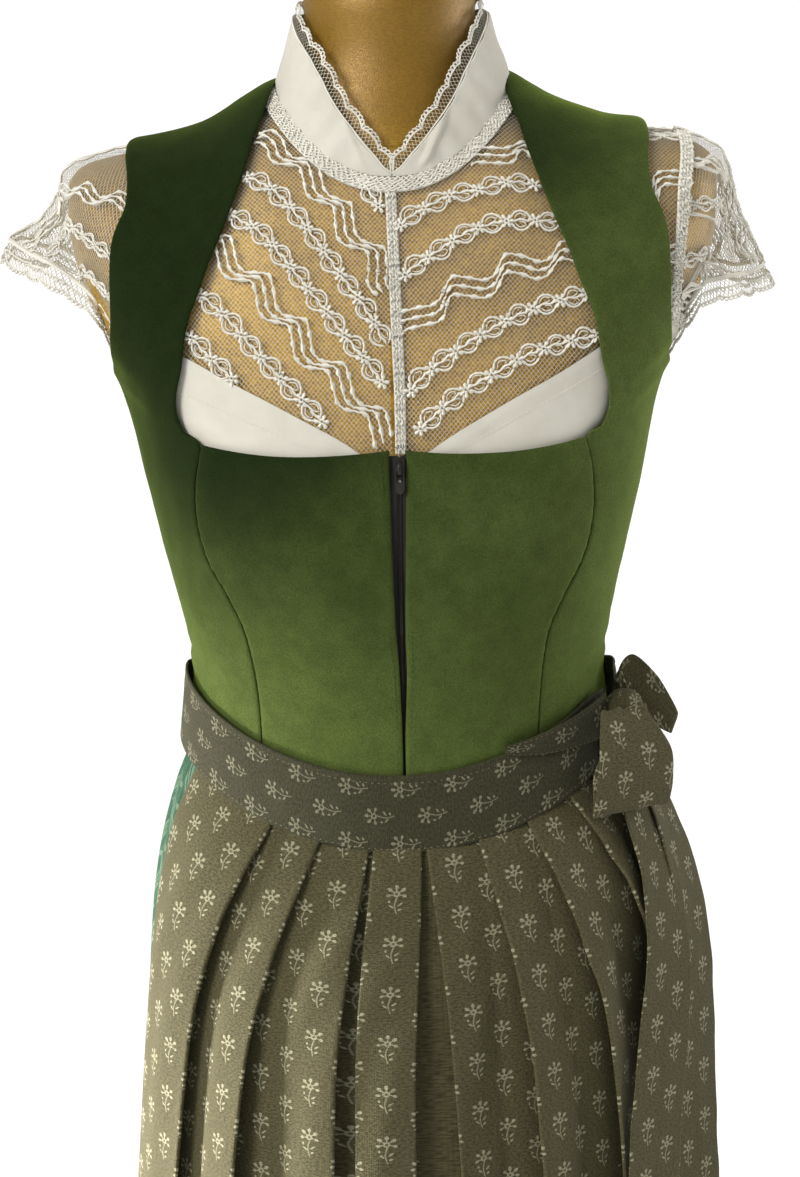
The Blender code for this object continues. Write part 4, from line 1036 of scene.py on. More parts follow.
class Net(Effect):
    """Fine net of twisted threads round lozenge openings."""

    name = "net"
    inputs = (("Cloth", "NodeSocketVector", 0), ("Wide", "NodeSocketFloat", 0.0022),
              ("High", "NodeSocketFloat", 0.0028), ("Thread", "NodeSocketFloat", 0.16))
    outputs = ("Alpha", "Height")

    def build(self, nodes: Nodes, start: bpy.types.Node, end: bpy.types.Node) -> None:
        """Two sets of slanting threads; the openings between them are clear.

        Args:
            nodes: the group's nodes.
            start: its input node.
            end: its output node.
        """
        u, v = nodes.parts(start.outputs["Cloth"])
        across = nodes.math("DIVIDE", u, start.outputs["Wide"])
        along = nodes.math("DIVIDE", v, start.outputs["High"])
        sides = []
        for sign in (1.0, -1.0):
            slant = nodes.math("ADD", across, nodes.math("MULTIPLY", along, sign))
            sides.append(nodes.math("ABSOLUTE", nodes.math("SUBTRACT", nodes.math("FRACT", slant), 0.5)))
        near = nodes.math("MAXIMUM", sides[0], sides[1])
        edge = nodes.math("SUBTRACT", 0.5, nodes.math("MULTIPLY", start.outputs["Thread"], 0.5))
        near_low = nodes.math("SUBTRACT", near, edge)
        nodes.feed(end.inputs["Alpha"], nodes.spread(near_low, -0.02, 0.02))
        nodes.feed(end.inputs["Height"], nodes.spread(near_low, 0.0, 0.12))


WEAVE, MOTTLE, SPRIG, NET = Weave(), Mottle(), Sprig(), Net()


@dataclass(frozen=True)
class Finish:
    """What every finish has: a name, a slot in the record, a colour and a roughness."""

    name: str
    slot: str
    colour: tuple[float, float, float]
    second: tuple[float, float, float]
    roughness: float = 0.8
    metallic: float = 0.0
    sheen: float = 0.0
    sheen_tint: tuple[float, float, float] = (1.0, 1.0, 1.0)
    sheen_roughness: float = 0.4
    specular: float = 0.3

    def started(self) -> tuple[bpy.types.Material, Nodes, bpy.types.Node]:
        """An empty material with its Principled shader set to the constants.

        Returns:
            The material, its nodes and the shader.
        """
        made = bpy.data.materials.new(self.name)
        made.use_nodes = True
        shader = made.node_tree.nodes["Principled BSDF"]
        shader.inputs["Roughness"].default_value = self.roughness
        shader.inputs["Metallic"].default_value = self.metallic
        shader.inputs["Sheen Weight"].default_value = self.sheen
        shader.inputs["Sheen Tint"].default_value = (*self.sheen_tint, 1.0)
        shader.inputs["Sheen Roughness"].default_value = self.sheen_roughness
        shader.inputs["Specular IOR Level"].default_value = self.specular
        return made, Nodes(made.node_tree), shader

    def bump(self, nodes: Nodes, shader: bpy.types.Node, height: Socket, depth: float,
             strength: float = 1.0) -> None:
        """Raises the surface by a height.

        Args:
            nodes: the material's nodes.
            shader: its shader.
            height: from 0 to 1.
            depth: what 1 stands for, in metres.
            strength: how much of it shows.
        """
        made = nodes.node("ShaderNodeBump", {"Height": height, "Distance": depth, "Strength": strength})
        nodes.feed(shader.inputs["Normal"], made.outputs[0])


@dataclass(frozen=True)
class Velvet(Finish):
    """Cotton velvet whose colour holds painted shade and light: a lit and a dark tone, mixed by height and
    side on the front, with random mottling.
    """

    # heights over which the pile goes from its painted lit tone to its painted shade
    painted_shade_height: tuple[float, float] = (1.05, 1.40)

    def made(self) -> bpy.types.Material:
        """The material."""
        made, nodes, shader = self.started()
        place = nodes.place()
        mottle = MOTTLE.used(nodes, Place=place, Broad=15.0, Fine=1100.0)
        height = nodes.node("ShaderNodeSeparateXYZ", {0: place}).outputs[2]
        # painted shade and light: on the front the pile darkens towards the top, more on the wearer's right,
        # as the light fell; the real random mottle shifts it a little, and the back keeps one middle tone
        painted_shade_height = nodes.math("MULTIPLY_ADD", mottle["Tone"], -0.05, height)
        aside = nodes.math("MULTIPLY", nodes.parts(place)[0], nodes.spread(height, 1.16, 1.36, 0.0, 1.5))
        painted_shade_height = nodes.math("SUBTRACT", painted_shade_height, aside)
        before = nodes.spread(nodes.parts(place)[1], -0.02, 0.05, 1.0, 0.0)
        painted_shade_height = nodes.math("MULTIPLY_ADD", nodes.math("SUBTRACT", painted_shade_height, 1.22), before, 1.22)
        # painted light low down, painted shade high up
        pile = nodes.mix(nodes.spread(painted_shade_height, *self.painted_shade_height), self.second, self.colour)
        grain = nodes.spread(mottle["Grain"], 0.25, 0.75, 0.74, 1.22)
        clouds = nodes.spread(nodes.noise(place, 85.0, 4.0, 0.6), 0.32, 0.68, 0.90, 1.10)
        grain = nodes.math("MULTIPLY", grain, clouds)
        shaded = nodes.node("ShaderNodeVectorMath", {0: pile, "Scale": grain}, operation="SCALE").outputs[0]
        nodes.feed(shader.inputs["Base Color"], shaded)
        self.bump(nodes, shader, mottle["Grain"], 0.0006, 0.55)
        return made


@dataclass(frozen=True)
class Jacquard(Finish):
    """Crepe ground with woven sprigs that catch the light."""

    sprig: tuple[float, float, float] = (0.40, 0.385, 0.26)
    quarter_turn: bool = False
    strength: float = 0.62
    repeat: tuple[float, float] = (0.033, 0.031)

    def made(self) -> bpy.types.Material:
        """The material."""
        made, nodes, shader = self.started()
        flat = nodes.flat()
        if self.quarter_turn:
            flat = nodes.node("ShaderNodeVectorRotate", {"Vector": flat, "Angle": math.pi / 2},
                              rotation_type="Z_AXIS").outputs[0]
        weave = WEAVE.used(nodes, Cloth=flat, Warp=0.00085, Weft=0.0011, Slub=0.9)
        mottle = MOTTLE.used(nodes, Place=nodes.place(), Broad=30.0, Fine=640.0)
        drawn = nodes.node("ShaderNodeVectorMath", {0: flat, 1: (520.0, 980.0, 1.0)},
                           operation="MULTIPLY").outputs[0]
        crepe = nodes.noise(drawn, 1.0, 3.0, 0.65)
        ground = nodes.mix(nodes.spread(crepe, 0.34, 0.66), self.colour, self.second)
        ground = nodes.mix(nodes.math("MULTIPLY", mottle["Grain"], 0.35), ground, self.second)
        broken = nodes.spread(crepe, 0.30, 0.55, 0.45, 1.0)
        sprig = SPRIG.used(nodes, Cloth=flat, Wide=self.repeat[0], High=self.repeat[1])["Mask"]
        share = nodes.math("MULTIPLY", nodes.math("MULTIPLY", sprig, broken), self.strength)
        nodes.feed(shader.inputs["Base Color"], nodes.mix(share, ground, self.sprig))
        nodes.feed(shader.inputs["Roughness"], nodes.spread(share, 0.0, 1.0, self.roughness, 0.48))
        height = nodes.math("ADD", nodes.math("MULTIPLY", weave["Height"], 0.55),
                            nodes.math("MULTIPLY", share, 0.5))
        height = nodes.math("ADD", height, nodes.math("MULTIPLY", mottle["Grain"], 0.8))
        self.bump(nodes, shader, height, 0.00045, 0.8)
        return made


@dataclass(frozen=True)
class StripedCloth(Finish):
    """Plain dark cloth with narrow pale stripes and small marks between them."""

    stripe: tuple[float, float, float] = (0.20, 0.27, 0.19)
    pitch: float = 0.021

    def made(self) -> bpy.types.Material:
        """The material."""
        made, nodes, shader = self.started()
        flat = nodes.flat()
        u, v = nodes.parts(flat)
        weave = WEAVE.used(nodes, Cloth=flat, Warp=0.0007, Weft=0.0009, Slub=0.5)
        ground = nodes.mix(nodes.spread(weave["Yarn"], 0.35, 0.65), self.colour, self.second)
        way = nodes.math("FRACT", nodes.math("DIVIDE", u, self.pitch))
        lines = []
        for middle, half in ((0.16, 0.035), (0.27, 0.02), (0.38, 0.035)):
            near = nodes.math("ABSOLUTE", nodes.math("SUBTRACT", way, middle))
            lines.append(nodes.spread(near, half * 0.6, half * 1.5, 1.0, 0.0))
        stripe = nodes.math("MAXIMUM", nodes.math("MAXIMUM", lines[0], lines[1]), lines[2])
        dots = nodes.math("SINE", nodes.math("MULTIPLY", v, 2 * math.pi / 0.012))
        gap = nodes.math("ABSOLUTE", nodes.math("SUBTRACT", way, 0.72))
        marks_between = nodes.math("MULTIPLY", nodes.spread(gap, 0.05, 0.13, 1.0, 0.0),
                                   nodes.spread(dots, 0.45, 0.8, 0.0, 0.55))
        share = nodes.math("MAXIMUM", nodes.math("MULTIPLY", stripe, 0.6), marks_between)
        share = nodes.math("MULTIPLY", share, nodes.spread(weave["Yarn"], 0.3, 0.6, 0.45, 1.0))
        nodes.feed(shader.inputs["Base Color"], nodes.mix(share, ground, self.stripe))
        self.bump(nodes, shader, nodes.math("ADD", weave["Height"], share), 0.00025, 0.7)
        return made


@dataclass(frozen=True)
class PlainCloth(Finish):
    """Plain woven cloth."""

    thread: float = 0.0006
    depth: float = 0.00016

    def made(self) -> bpy.types.Material:
        """The material."""
        made, nodes, shader = self.started()
        weave = WEAVE.used(nodes, Cloth=nodes.flat(), Warp=self.thread, Weft=self.thread, Slub=0.4)
        mottle = MOTTLE.used(nodes, Place=nodes.place(), Broad=45.0, Fine=260.0)
        share = nodes.math("MULTIPLY", nodes.math("ADD", mottle["Tone"], weave["Yarn"]), 0.5)
        nodes.feed(shader.inputs["Base Color"], nodes.mix(share, self.colour, self.second))
        height = nodes.math("ADD", weave["Height"], nodes.math("MULTIPLY", mottle["Grain"], 0.5))
        self.bump(nodes, shader, height, self.depth, 0.6)
        return made


@dataclass(frozen=True)
class NetCloth(Finish):
    """Net that lets what is under it show."""

    wide: float = 0.0026
    high: float = 0.0034
    thread: float = 0.12

    def made(self) -> bpy.types.Material:
        """The material."""
        made, nodes, shader = self.started()
        net = NET.used(nodes, Cloth=nodes.flat(), Wide=self.wide, High=self.high, Thread=self.thread)
        tone = nodes.noise(nodes.place(), 160.0)
        nodes.feed(shader.inputs["Base Color"], nodes.mix(tone, self.colour, self.second))
        nodes.feed(shader.inputs["Alpha"], net["Alpha"])
        self.bump(nodes, shader, net["Height"], 0.0002, 0.6)
        return made


@dataclass(frozen=True)
class Yarn(Finish):
    """Twisted thread, as in cords, embroidery and stitching."""

    def made(self) -> bpy.types.Material:
        """The material."""
        made, nodes, shader = self.started()
        mottle = MOTTLE.used(nodes, Place=nodes.place(), Broad=60.0, Fine=1500.0)
        share = nodes.math("MULTIPLY", nodes.math("ADD", mottle["Tone"], mottle["Grain"]), 0.5)
        nodes.feed(shader.inputs["Base Color"], nodes.mix(share, self.colour, self.second))
        self.bump(nodes, shader, mottle["Grain"], 0.0004, 0.7)
        return made


@dataclass(frozen=True)
class Jersey(Finish):
    """Fine shiny jersey, drawn tight, with painted shade that darkens it up the neck."""

    def made(self) -> bpy.types.Material:
        """The material."""
        made, nodes, shader = self.started()
        place = nodes.place()
        mottle = MOTTLE.used(nodes, Place=place, Broad=14.0, Fine=1300.0)
        drawn = nodes.node("ShaderNodeVectorMath", {0: place, 1: (420.0, 420.0, 1250.0)},
                           operation="MULTIPLY")
        knit = nodes.spread(nodes.noise(drawn.outputs[0], 1.0, 3.0, 0.7), 0.36, 0.64)
        broad = nodes.math("MULTIPLY_ADD", mottle["Tone"], 0.30, nodes.math("MULTIPLY", knit, 0.70))
        # painted shade: the jersey darkens up the neck, from 1.43 m to 1.49 m high
        height = nodes.node("ShaderNodeSeparateXYZ", {0: place}).outputs[2]
        broad = nodes.math("MULTIPLY", broad, nodes.spread(height, 1.43, 1.49, 1.0, 0.2))
        nodes.feed(shader.inputs["Base Color"], nodes.mix(broad, self.colour, self.second))
        glint = nodes.spread(mottle["Grain"], 0.35, 0.7, self.roughness - 0.08, self.roughness + 0.14)
        nodes.feed(shader.inputs["Roughness"], glint)
        self.bump(nodes, shader, mottle["Grain"], 0.0005, 0.5)
        return made


@dataclass(frozen=True)
class Metal(Finish):
    """Metal with fine scratches along one way and a mottled tone."""

    scratch: tuple[float, float, float] = (30.0, 30.0, 900.0)

    def made(self) -> bpy.types.Material:
        """The material."""
        made, nodes, shader = self.started()
        place = nodes.place()
        drawn = nodes.node("ShaderNodeVectorMath", {0: place, 1: self.scratch},
                           operation="MULTIPLY").outputs[0]
        lines = nodes.noise(drawn, 1.0, 3.0)
        mottle = MOTTLE.used(nodes, Place=place, Broad=12.0, Fine=500.0)
        share = nodes.math("MULTIPLY", nodes.math("ADD", lines, mottle["Tone"]), 0.5)
        nodes.feed(shader.inputs["Base Color"], nodes.mix(share, self.colour, self.second))
        nodes.feed(shader.inputs["Roughness"],
                   nodes.spread(lines, 0.3, 0.7, self.roughness - 0.06, self.roughness + 0.10))
        self.bump(nodes, shader, lines, 0.0002, 0.25)
        return made


class Wardrobe:
    """Every finish of the dress and its form, made once."""

    def __init__(self) -> None:
        """Makes the materials."""
        finishes = (
            # the moss velvet's first colour is its pile in painted shade, its second its pile in painted
            # light
            Velvet("moss_velvet", "bodice_velvet", (0.0075, 0.0155, 0.0025), (0.068, 0.094, 0.022), 0.92,
                   sheen=0.36, sheen_tint=(0.50, 0.70, 0.10), sheen_roughness=0.35, specular=0.10),
            Yarn("green_stitching", "bodice_velvet", (0.010, 0.032, 0.006), (0.020, 0.055, 0.010), 0.8),
            Jacquard("sprigged_jacquard", "apron_jacquard", (0.026, 0.0235, 0.0088), (0.094, 0.083, 0.038),
                     0.78, sheen=0.12, sheen_tint=(0.9, 0.85, 0.6), specular=0.2),
            Jacquard("crosswise_jacquard", "apron_jacquard", (0.014, 0.0138, 0.0058), (0.050, 0.0475, 0.0225),
                     0.78,
                     sheen=0.10, sheen_tint=(0.9, 0.85, 0.6), specular=0.2, quarter_turn=True, strength=0.42),
            Yarn("taupe_stitching", "apron_jacquard", (0.20, 0.18, 0.12), (0.33, 0.30, 0.20), 0.75),
            StripedCloth("dark_green_cloth", "skirt_cloth", (0.010, 0.045, 0.022), (0.022, 0.085, 0.042), 0.8,
                         sheen=0.1, specular=0.25),
            PlainCloth("white_cotton", "blouse_cotton", (0.535, 0.510, 0.435), (0.615, 0.595, 0.525), 0.85,
                       sheen=0.08, specular=0.2),
            NetCloth("white_net", "blouse_lace", (0.52, 0.49, 0.40), (0.64, 0.61, 0.51), 0.85, specular=0.15),
            # the sleeve net is the white net in a darker colour, which holds painted shade on its threads
            NetCloth("sleeve_net", "blouse_lace", (0.44, 0.41, 0.33), (0.56, 0.53, 0.44), 0.85, specular=0.15,
                     thread=0.19),
            Yarn("lace_cord", "blouse_lace", (0.61, 0.585, 0.51), (0.74, 0.72, 0.645), 0.85, sheen=0.1,
                 specular=0.2),
            Jersey("gold_jersey", "form_jersey", (0.17, 0.085, 0.003), (0.54, 0.320, 0.020), 0.44,
                   metallic=0.25, sheen=0.15, sheen_tint=(1.0, 0.85, 0.5), specular=0.5),
            Metal("satin_steel", "steel", (0.42, 0.42, 0.43), (0.62, 0.62, 0.63), 0.32, metallic=1.0),
            PlainCloth("zip_tape", "zip_tape", (0.010, 0.010, 0.009), (0.022, 0.021, 0.019), 0.8,
                       thread=0.0005),
            Metal("zip_metal", "zip_metal", (0.018, 0.017, 0.016), (0.050, 0.048, 0.044), 0.42, metallic=0.8),
        )
        self.finishes = {finish.name: finish for finish in finishes}
        self.materials = {finish.name: finish.made() for finish in finishes}

    def dress(self, piece: bpy.types.Object, finish: str, node: str = "", slot: str = "") -> bpy.types.Object:
        """Gives a piece its finish and hides the frame's node that it replaces, if any.

        Args:
            piece: the piece.
            finish: the finish's name.
            node: the frame's node that the piece replaces, if it replaces one.
            slot: the record's slot, if it isn't the finish's own.

        Returns:
            The piece.
        """
        piece.data.materials.append(self.materials[finish])
        slot or self.finishes[finish].slot
        if node:
            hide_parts(node)
        return piece


# ---------------------------------------------------------------- the dress form
@dataclass
class DressForm:
    """The padded torso with its neck disc, on a pole and a round foot plate."""

    wardrobe: Wardrobe
    inset: float = 0.0009
    rows: int = 96
    columns: int = 120
    neck_rim: float = 0.0022
    neck_seam: float = 1.86
    # share of the rim's ring and metres above it, then below it
    neck_disc: tuple = ((0.02, 0.0), (0.5, 0.00005), (0.90, 0.0001), (0.93, 0.0006), (0.97, 0.0002))
    underside: tuple = ((0.985, 0.0003), (0.95, 0.0008), (0.5, 0.0008), (0.02, 0.0008))
    pole_radius: float = 0.0125
    plate_radius: float = 0.170
    plate_thick: float = 0.006
    flange_radius: float = 0.030
    # a screw's head from its foot up; a cord's ends are drawn in
    screw_radii: tuple = (0.010, 0.0033, 0.0031, 0.00768)

    def build(self) -> None:
        """Builds every piece of the form."""
        self.torso()
        self.pole()
        self.foot_plate()

    def torso(self) -> None:
        """The jersey-covered torso, with its seams and a disc on its neck."""
        levels = np.unique(np.concatenate([np.linspace(0.0, 14.0, self.rows),
                                          self.neck_seam + np.linspace(-0.06, 0.06, 9)]))
        angles = np.linspace(-180, 180, self.columns, endpoint=False)
        angle, level = np.meshgrid(angles, levels)
        from_seam = np.minimum(np.abs(angle), 180 - np.abs(angle)) * 0.0022
        groove = 0.0008 * np.exp(-(from_seam / 0.0016) ** 2) * ease(level, 3.0, 3.6)
        groove = groove + 0.0007 * np.exp(-((level - self.neck_seam) / 0.018) ** 2)
        rim = self.neck_rim * np.clip(1 - level / 0.10, 0, 1) ** 2 * 0.5
        grid = TORSO_SURFACE.point(angle, level, -self.inset - groove - rim)
        grid[0, :, 2] -= 0.0006
        disc = [grid[0] * (share, share, 1.0) + (0.0, 0.0, rise) for share, rise in self.neck_disc]
        under = [grid[-1] * (share, share, 1.0) - (0.0, 0.0, sink) for share, sink in self.underside]
        grid = np.concatenate([disc, grid, under])
        made = mesh_object("jersey_torso", *capped(grid))
        self.wardrobe.dress(made, "gold_jersey", "form_torso")

    def lathed(self, name: str, node: str, profile: Sequence[tuple[float, float]], segments: int) -> None:
        """A turned steel piece with a flat bottom and top.

        Args:
            name: the piece's name.
            node: the frame's node that it stands for.
            profile: radius and height from the bottom's rim to the top's.
            segments: how many sides.
        """
        turn = np.arange(segments) * 2 * math.pi / segments
        radius, height = np.array(profile).T[..., None]
        grid = np.stack([radius * np.cos(turn), radius * np.sin(turn), height + 0 * turn], -1)
        self.wardrobe.dress(mesh_object(name, *capped(grid), sharp=32), "satin_steel", node)

    def pole(self) -> None:
        """The pole with a clamp ring under the torso and a flange on the plate."""
        r, t, low = self.pole_radius, self.plate_thick, float(TORSO[-1][5]) - 0.0006
        f = self.flange_radius
        profile = [(f - 0.001, t), (f, t + 0.001), (f, t + 0.004), (f - 0.001, t + 0.005),
                   (r + 0.006, t + 0.006), (r + 0.004, t + 0.009), (r + 0.004, t + 0.030),
                   (r + 0.003, t + 0.031),
                   (r, t + 0.031), (r, low - 0.030), (r + 0.005, low - 0.030), (r + 0.006, low - 0.029),
                   (r + 0.006, low - 0.008), (r + 0.022, low - 0.004), (r + 0.022, low)]
        self.lathed("steel_pole", "stand_pole", profile, 64)
        heads = Strands()
        for k in range(4):
            turn = math.pi / 4 + k * math.pi / 2
            middle = np.array((math.cos(turn), math.sin(turn), 0.0)) * (f - 0.0065) + (0, 0, t + 0.0048)
            path = middle + np.linspace(0, 1, 4)[:, None] * (0, 0, 0.0016)
            heads.cord(path, np.array(self.screw_radii), 16, up=np.tile((1.0, 0, 0), (4, 1)))
        self.wardrobe.dress(heads.made("flange_screws", 35), "satin_steel")

    def foot_plate(self) -> None:
        """The round plate that stands on the floor."""
        r, t = self.plate_radius, self.plate_thick
        profile = [(r - 0.0016, 0.0)]
        for k in range(7):
            turn = -math.pi / 2 + math.pi * k / 6
            profile.append((r - 0.002 + 0.002 * math.cos(turn), t / 2 + (t / 2) * math.sin(turn) * 0.98))
        profile += [(r - 0.0040, t), (0.060, t)]
        self.lathed("steel_foot_plate", "stand_foot_plate", profile, 128)


# ---------------------------------------------------------------- the bodice
@dataclass
class Bodice:
    """Eight velvet panels with princess seams and rounded edges, and the stitching along the zip."""

    wardrobe: Wardrobe
    waist_level: float = 11.56
    seam_dip: float = 0.0009
    rim: float = 0.0024
    turned_in: float = 0.03
    cut_share: float = 1.12
    rows: int = 76
    columns: int = 34
    princess: tuple = ((0.0840, 1.080), (0.0835, 1.123), (0.0845, 1.150), (0.0868, 1.177), (0.0915, 1.197),
                       (0.1000, 1.216), (0.1090, 1.232), (0.1145, 1.250), (0.1160, 1.267), (0.1148, 1.285),
                       (0.1110, 1.3035))
    neck_corner: tuple = ((0.1110, 1.3035), (0.1190, 1.3075), (0.1235, 1.3150), (0.1245, 1.3260))
    neckline: tuple = ((0.0050, 1.3025), (0.0350, 1.3000), (0.0750, 1.3000), (0.1110, 1.3035))
    zip_left: tuple = ((0.0030, 1.080), (0.0030, 1.125), (0.0046, 1.165), (0.0042, 1.197), (0.0052, 1.235),
                       (0.0068, 1.3025))
    zip_right: tuple = ((0.0013, 1.080), (0.0013, 1.125), (0.0004, 1.165), (-0.0011, 1.197), (-0.0020, 1.235),
                        (-0.0026, 1.3025))
    strap_inner: tuple = ((36.0, 6.25), (37.6, 5.45), (41.8, 4.60), (46.4, 3.85), (54.0, 3.15), (66.0, 2.62),
                          (80.0, 2.38), (94.0, 2.27))
    armhole_front: tuple = ((94.0, 8.00), (78.0, 7.84), (61.8, 7.30), (54.8, 6.45), (57.8, 5.75),
                            (67.0, 5.16), (94.0, 4.79))
    armhole_back: tuple = ((94.0, 8.00), (108.0, 7.86), (122.0, 7.25), (129.0, 6.45), (126.0, 5.75),
                           (115.0, 5.16), (94.0, 4.79))
    side_seam: tuple = ((92.0, 11.56), (92.5, 10.60), (93.5, 9.40), (94.0, 8.00))
    back_seam: tuple = ((146.0, 11.56), (144.5, 10.40), (140.5, 9.00), (133.0, 8.00), (122.0, 7.25))
    back_neck: tuple = ((180.0, 4.50), (160.0, 4.46), (140.0, 4.20), (124.0, 3.55), (108.0, 2.75),
                        (94.0, 2.27))

    def grids(self) -> dict[str, Array]:
        """The coarse grids of angle and level, named by panel, on the wearer's left.

        Returns:
            The fronts of both sides, because the zip isn't quite in the middle, and the other left panels.
        """
        lift = LAYERS.over_bodice
        princess = seen_curve(self.princess, 11, lift)
        princess[0, 1] = self.waist_level
        corner = seen_curve(self.neck_corner, 4, lift)
        strap = drawn_curve(np.vstack([corner[-1:], self.strap_inner]), 9)
        inner_edge = np.concatenate([princess, corner[1:], strap[1:]])
        side = drawn_curve(self.side_seam, 9)
        outer_edge = np.concatenate([side, drawn_curve(self.armhole_front, len(inner_edge) - 8)[1:]])
        neckline = seen_curve(self.neckline, 6, lift)
        back_seam = drawn_curve(self.back_seam, 9)
        hole_low, hole_high = drawn_curve(self.armhole_back[:3], 5), drawn_curve(self.armhole_back[2:], 8)
        centre = straight((180.0, self.waist_level), self.back_neck[0], 10)
        back_neck = drawn_curve(self.back_neck, 7)
        made = {
            "side_front": patch(inner_edge, outer_edge, across=6),
            "side_back": patch(side, back_seam, None, hole_low, 5),
            "back": patch(np.concatenate([back_seam, hole_high[1:]]), np.concatenate([centre, back_neck[1:]]),
                          across=6),
        }
        for side_name, turn in SIDES:
            zip_edge = seen_curve(self.zip_left if turn > 0 else self.zip_right, 11, lift)
            zip_edge[0, 1] = self.waist_level
            zip_edge = zip_edge * (turn, 1)
            top = neckline.copy()
            top[0] = zip_edge[-1]
            made["front_" + side_name] = patch(zip_edge, princess, None, top, 6)
        return made

    def creases(self, points: Array, angle: Array, level: Array) -> Array:
        """How far the velvet lies above its smooth course at each point.

        Args:
            points: where the points lie.
            angle: their angles.
            level: their levels.

        Returns:
            Metres out of the course.
        """
        soft = 0.0007 * wander(points, 0.085, 3.1) + 0.00035 * wander(points, 0.033, 7.7)
        waist = 0.0010 * np.sin(points[..., 2] * 2 * math.pi / 0.021 + 3.0 * np.sin(angle / 17.0))
        near_waist = np.exp(-((level - 10.75) / 0.45) ** 2) * np.clip((np.abs(angle) - 55) / 30, 0, 1)
        arm = 0.0011 * np.sin((points[..., 2] - 0.55 * np.abs(points[..., 0])) * 2 * math.pi / 0.017)
        near_arm = np.exp(-((level - 7.55) / 0.42) ** 2 - ((np.abs(angle) - 66) / 12.0) ** 2)
        return soft + waist * near_waist + arm * near_arm * np.where(angle > 0, 1.0, 0.35)

    def panel(self, name: str, grid: Array, seams: Sequence[str], columns: int) -> Array:
        """One velvet panel.

        Args:
            name: the panel's name in the frame, without its "bodice_".
            grid: its coarse angles and levels.
            seams: which of its edges dip into a seam: "first", "last", "low" or "high".
            columns: how many columns.

        Returns:
            The fine grid of angle and level.
        """
        rows_at = marks(len(grid) - 1, self.rows, 0.02)
        columns_at = marks(grid.shape[1] - 1, columns, 0.05)
        fine = refined(grid, rows_at, columns_at)
        base = TORSO_SURFACE.on(fine, LAYERS.bodice)
        lift = self.creases(base, fine[..., 0], fine[..., 1])
        run_columns, run_rows = run_along(base, 1), run_along(base)
        edges = {"first": run_columns, "last": run_columns[:, -1:] - run_columns,
                 "low": run_rows, "high": run_rows[-1:] - run_rows}
        for seam in seams:
            near = edges[seam]
            pucker = 0.00030 * np.exp(-(near / 0.010) ** 2) * np.sin(edges["low"] * 2 * math.pi / 0.0085)
            lift = lift + pucker - self.seam_dip * np.exp(-(near / 0.0022) ** 2)

        def at(height: Array | float) -> Array:
            """The panel's points at a height above its base."""
            return TORSO_SURFACE.on(fine, LAYERS.bodice + lift * 0.8 + height)

        flat = cloth_map(base)
        made = shell("velvet_" + name, rounded(at, LAYERS.velvet, self.rim), flat, 70)
        self.wardrobe.dress(made, "moss_velvet", "bodice_" + name)
        area = sheet_area(base)
        return fine

    def build(self) -> dict[str, Array]:
        """Builds the panels.

        Returns:
            The fine grid of each panel.
        """
        grids, made = self.grids(), {}
        for side, turn in SIDES:
            for name, source, seams, columns in (("front_" + side, "front_" + side, ("last",), self.columns),
                                                 ("side_front_" + side, "side_front", ("low",), 36),
                                                 ("side_back_" + side, "side_back", ("first", "last"), 26),
                                                 ("back_" + side, "back", (), 34)):
                made[name] = self.panel(name, grids[source] * (turn, 1), seams, columns)
        self.stitching(grids)
        return made

    def stitching(self, grids: dict[str, Array]) -> None:
        """The rows of machine stitches along the zip."""
        rows = Strands()
        for side, turn in SIDES:
            grid = grids["front_" + side] * (turn, 1)
            edge = TORSO_SURFACE.on(grid[:, 0])
            inward = np.concatenate([np.full(3, 3.1), np.linspace(3.1, 3.4, len(edge) - 4), [4.4]])
            x = edge[:, 0] + turn * inward / 1000.0
            line = TORSO_SURFACE.locate(x[1:], edge[1:, 2], LAYERS.over_bodice)
            stitch_row(rows, line, LAYERS.over_bodice - 0.0001, 0.0030, 0.0009, 0.00022)
        self.wardrobe.dress(rows.made("zip_stitching"), "green_stitching")


def sheet_area(points: Array) -> float:
    """The area of a grid of points."""
    a, b = points[1:, :-1] - points[:-1, :-1], points[:-1, 1:] - points[:-1, :-1]
    c, d = points[1:, :-1] - points[1:, 1:], points[:-1, 1:] - points[1:, 1:]
    return float(0.5 * (np.linalg.norm(np.cross(a, b), axis=-1)
                        + np.linalg.norm(np.cross(c, d), axis=-1)).sum())


def stitch_row(rows: Strands, line: Array, height: float, length: float, gap: float, radius: float) -> None:
    """Adds a row of stitches along a line of angle and level on the torso.

    Args:
        rows: what the stitches are added to.
        line: angle and level of points on the row.
        height: how high it lies above the torso.
        length: one stitch's length.
        gap: the gap between two stitches.
        radius: the thread's radius.
    """
    stitches(rows, TORSO_SURFACE.on(line, height), TORSO_SURFACE.normals(line), length, gap, radius)


def stitches(rows: Strands, path: Array, out: Array, length: float, gap: float, radius: float) -> None:
    """Adds stitches along a path, each a small cord that dips into the cloth at both ends.

    Args:
        rows: what they are added to.
        path: the row's course.
        out: the way out of the cloth at each of its points.
        length: one stitch's length.
        gap: the gap between two.
        radius: the thread's radius.
    """
    run = run_along(path)
    starts = np.arange(gap, run[-1] - length, length + gap)
    share = np.linspace(0, 1, 4)
    for start in starts:
        at = start + share * length
        points, outs = at_run(at, run, path), at_run(at, run, out)
        dip = -radius * 0.9 + radius * 1.3 * np.sin(math.pi * share)
        rows.cord(points + outs * dip[:, None], radius, 4, up=outs)


# ---------------------------------------------------------------- lace
class Motif(Enum):
    """The two patterns of the lace's bands."""

    CHAIN = "eye-shaped loops between small stars"
    WAVE = "three cords that wave side by side"


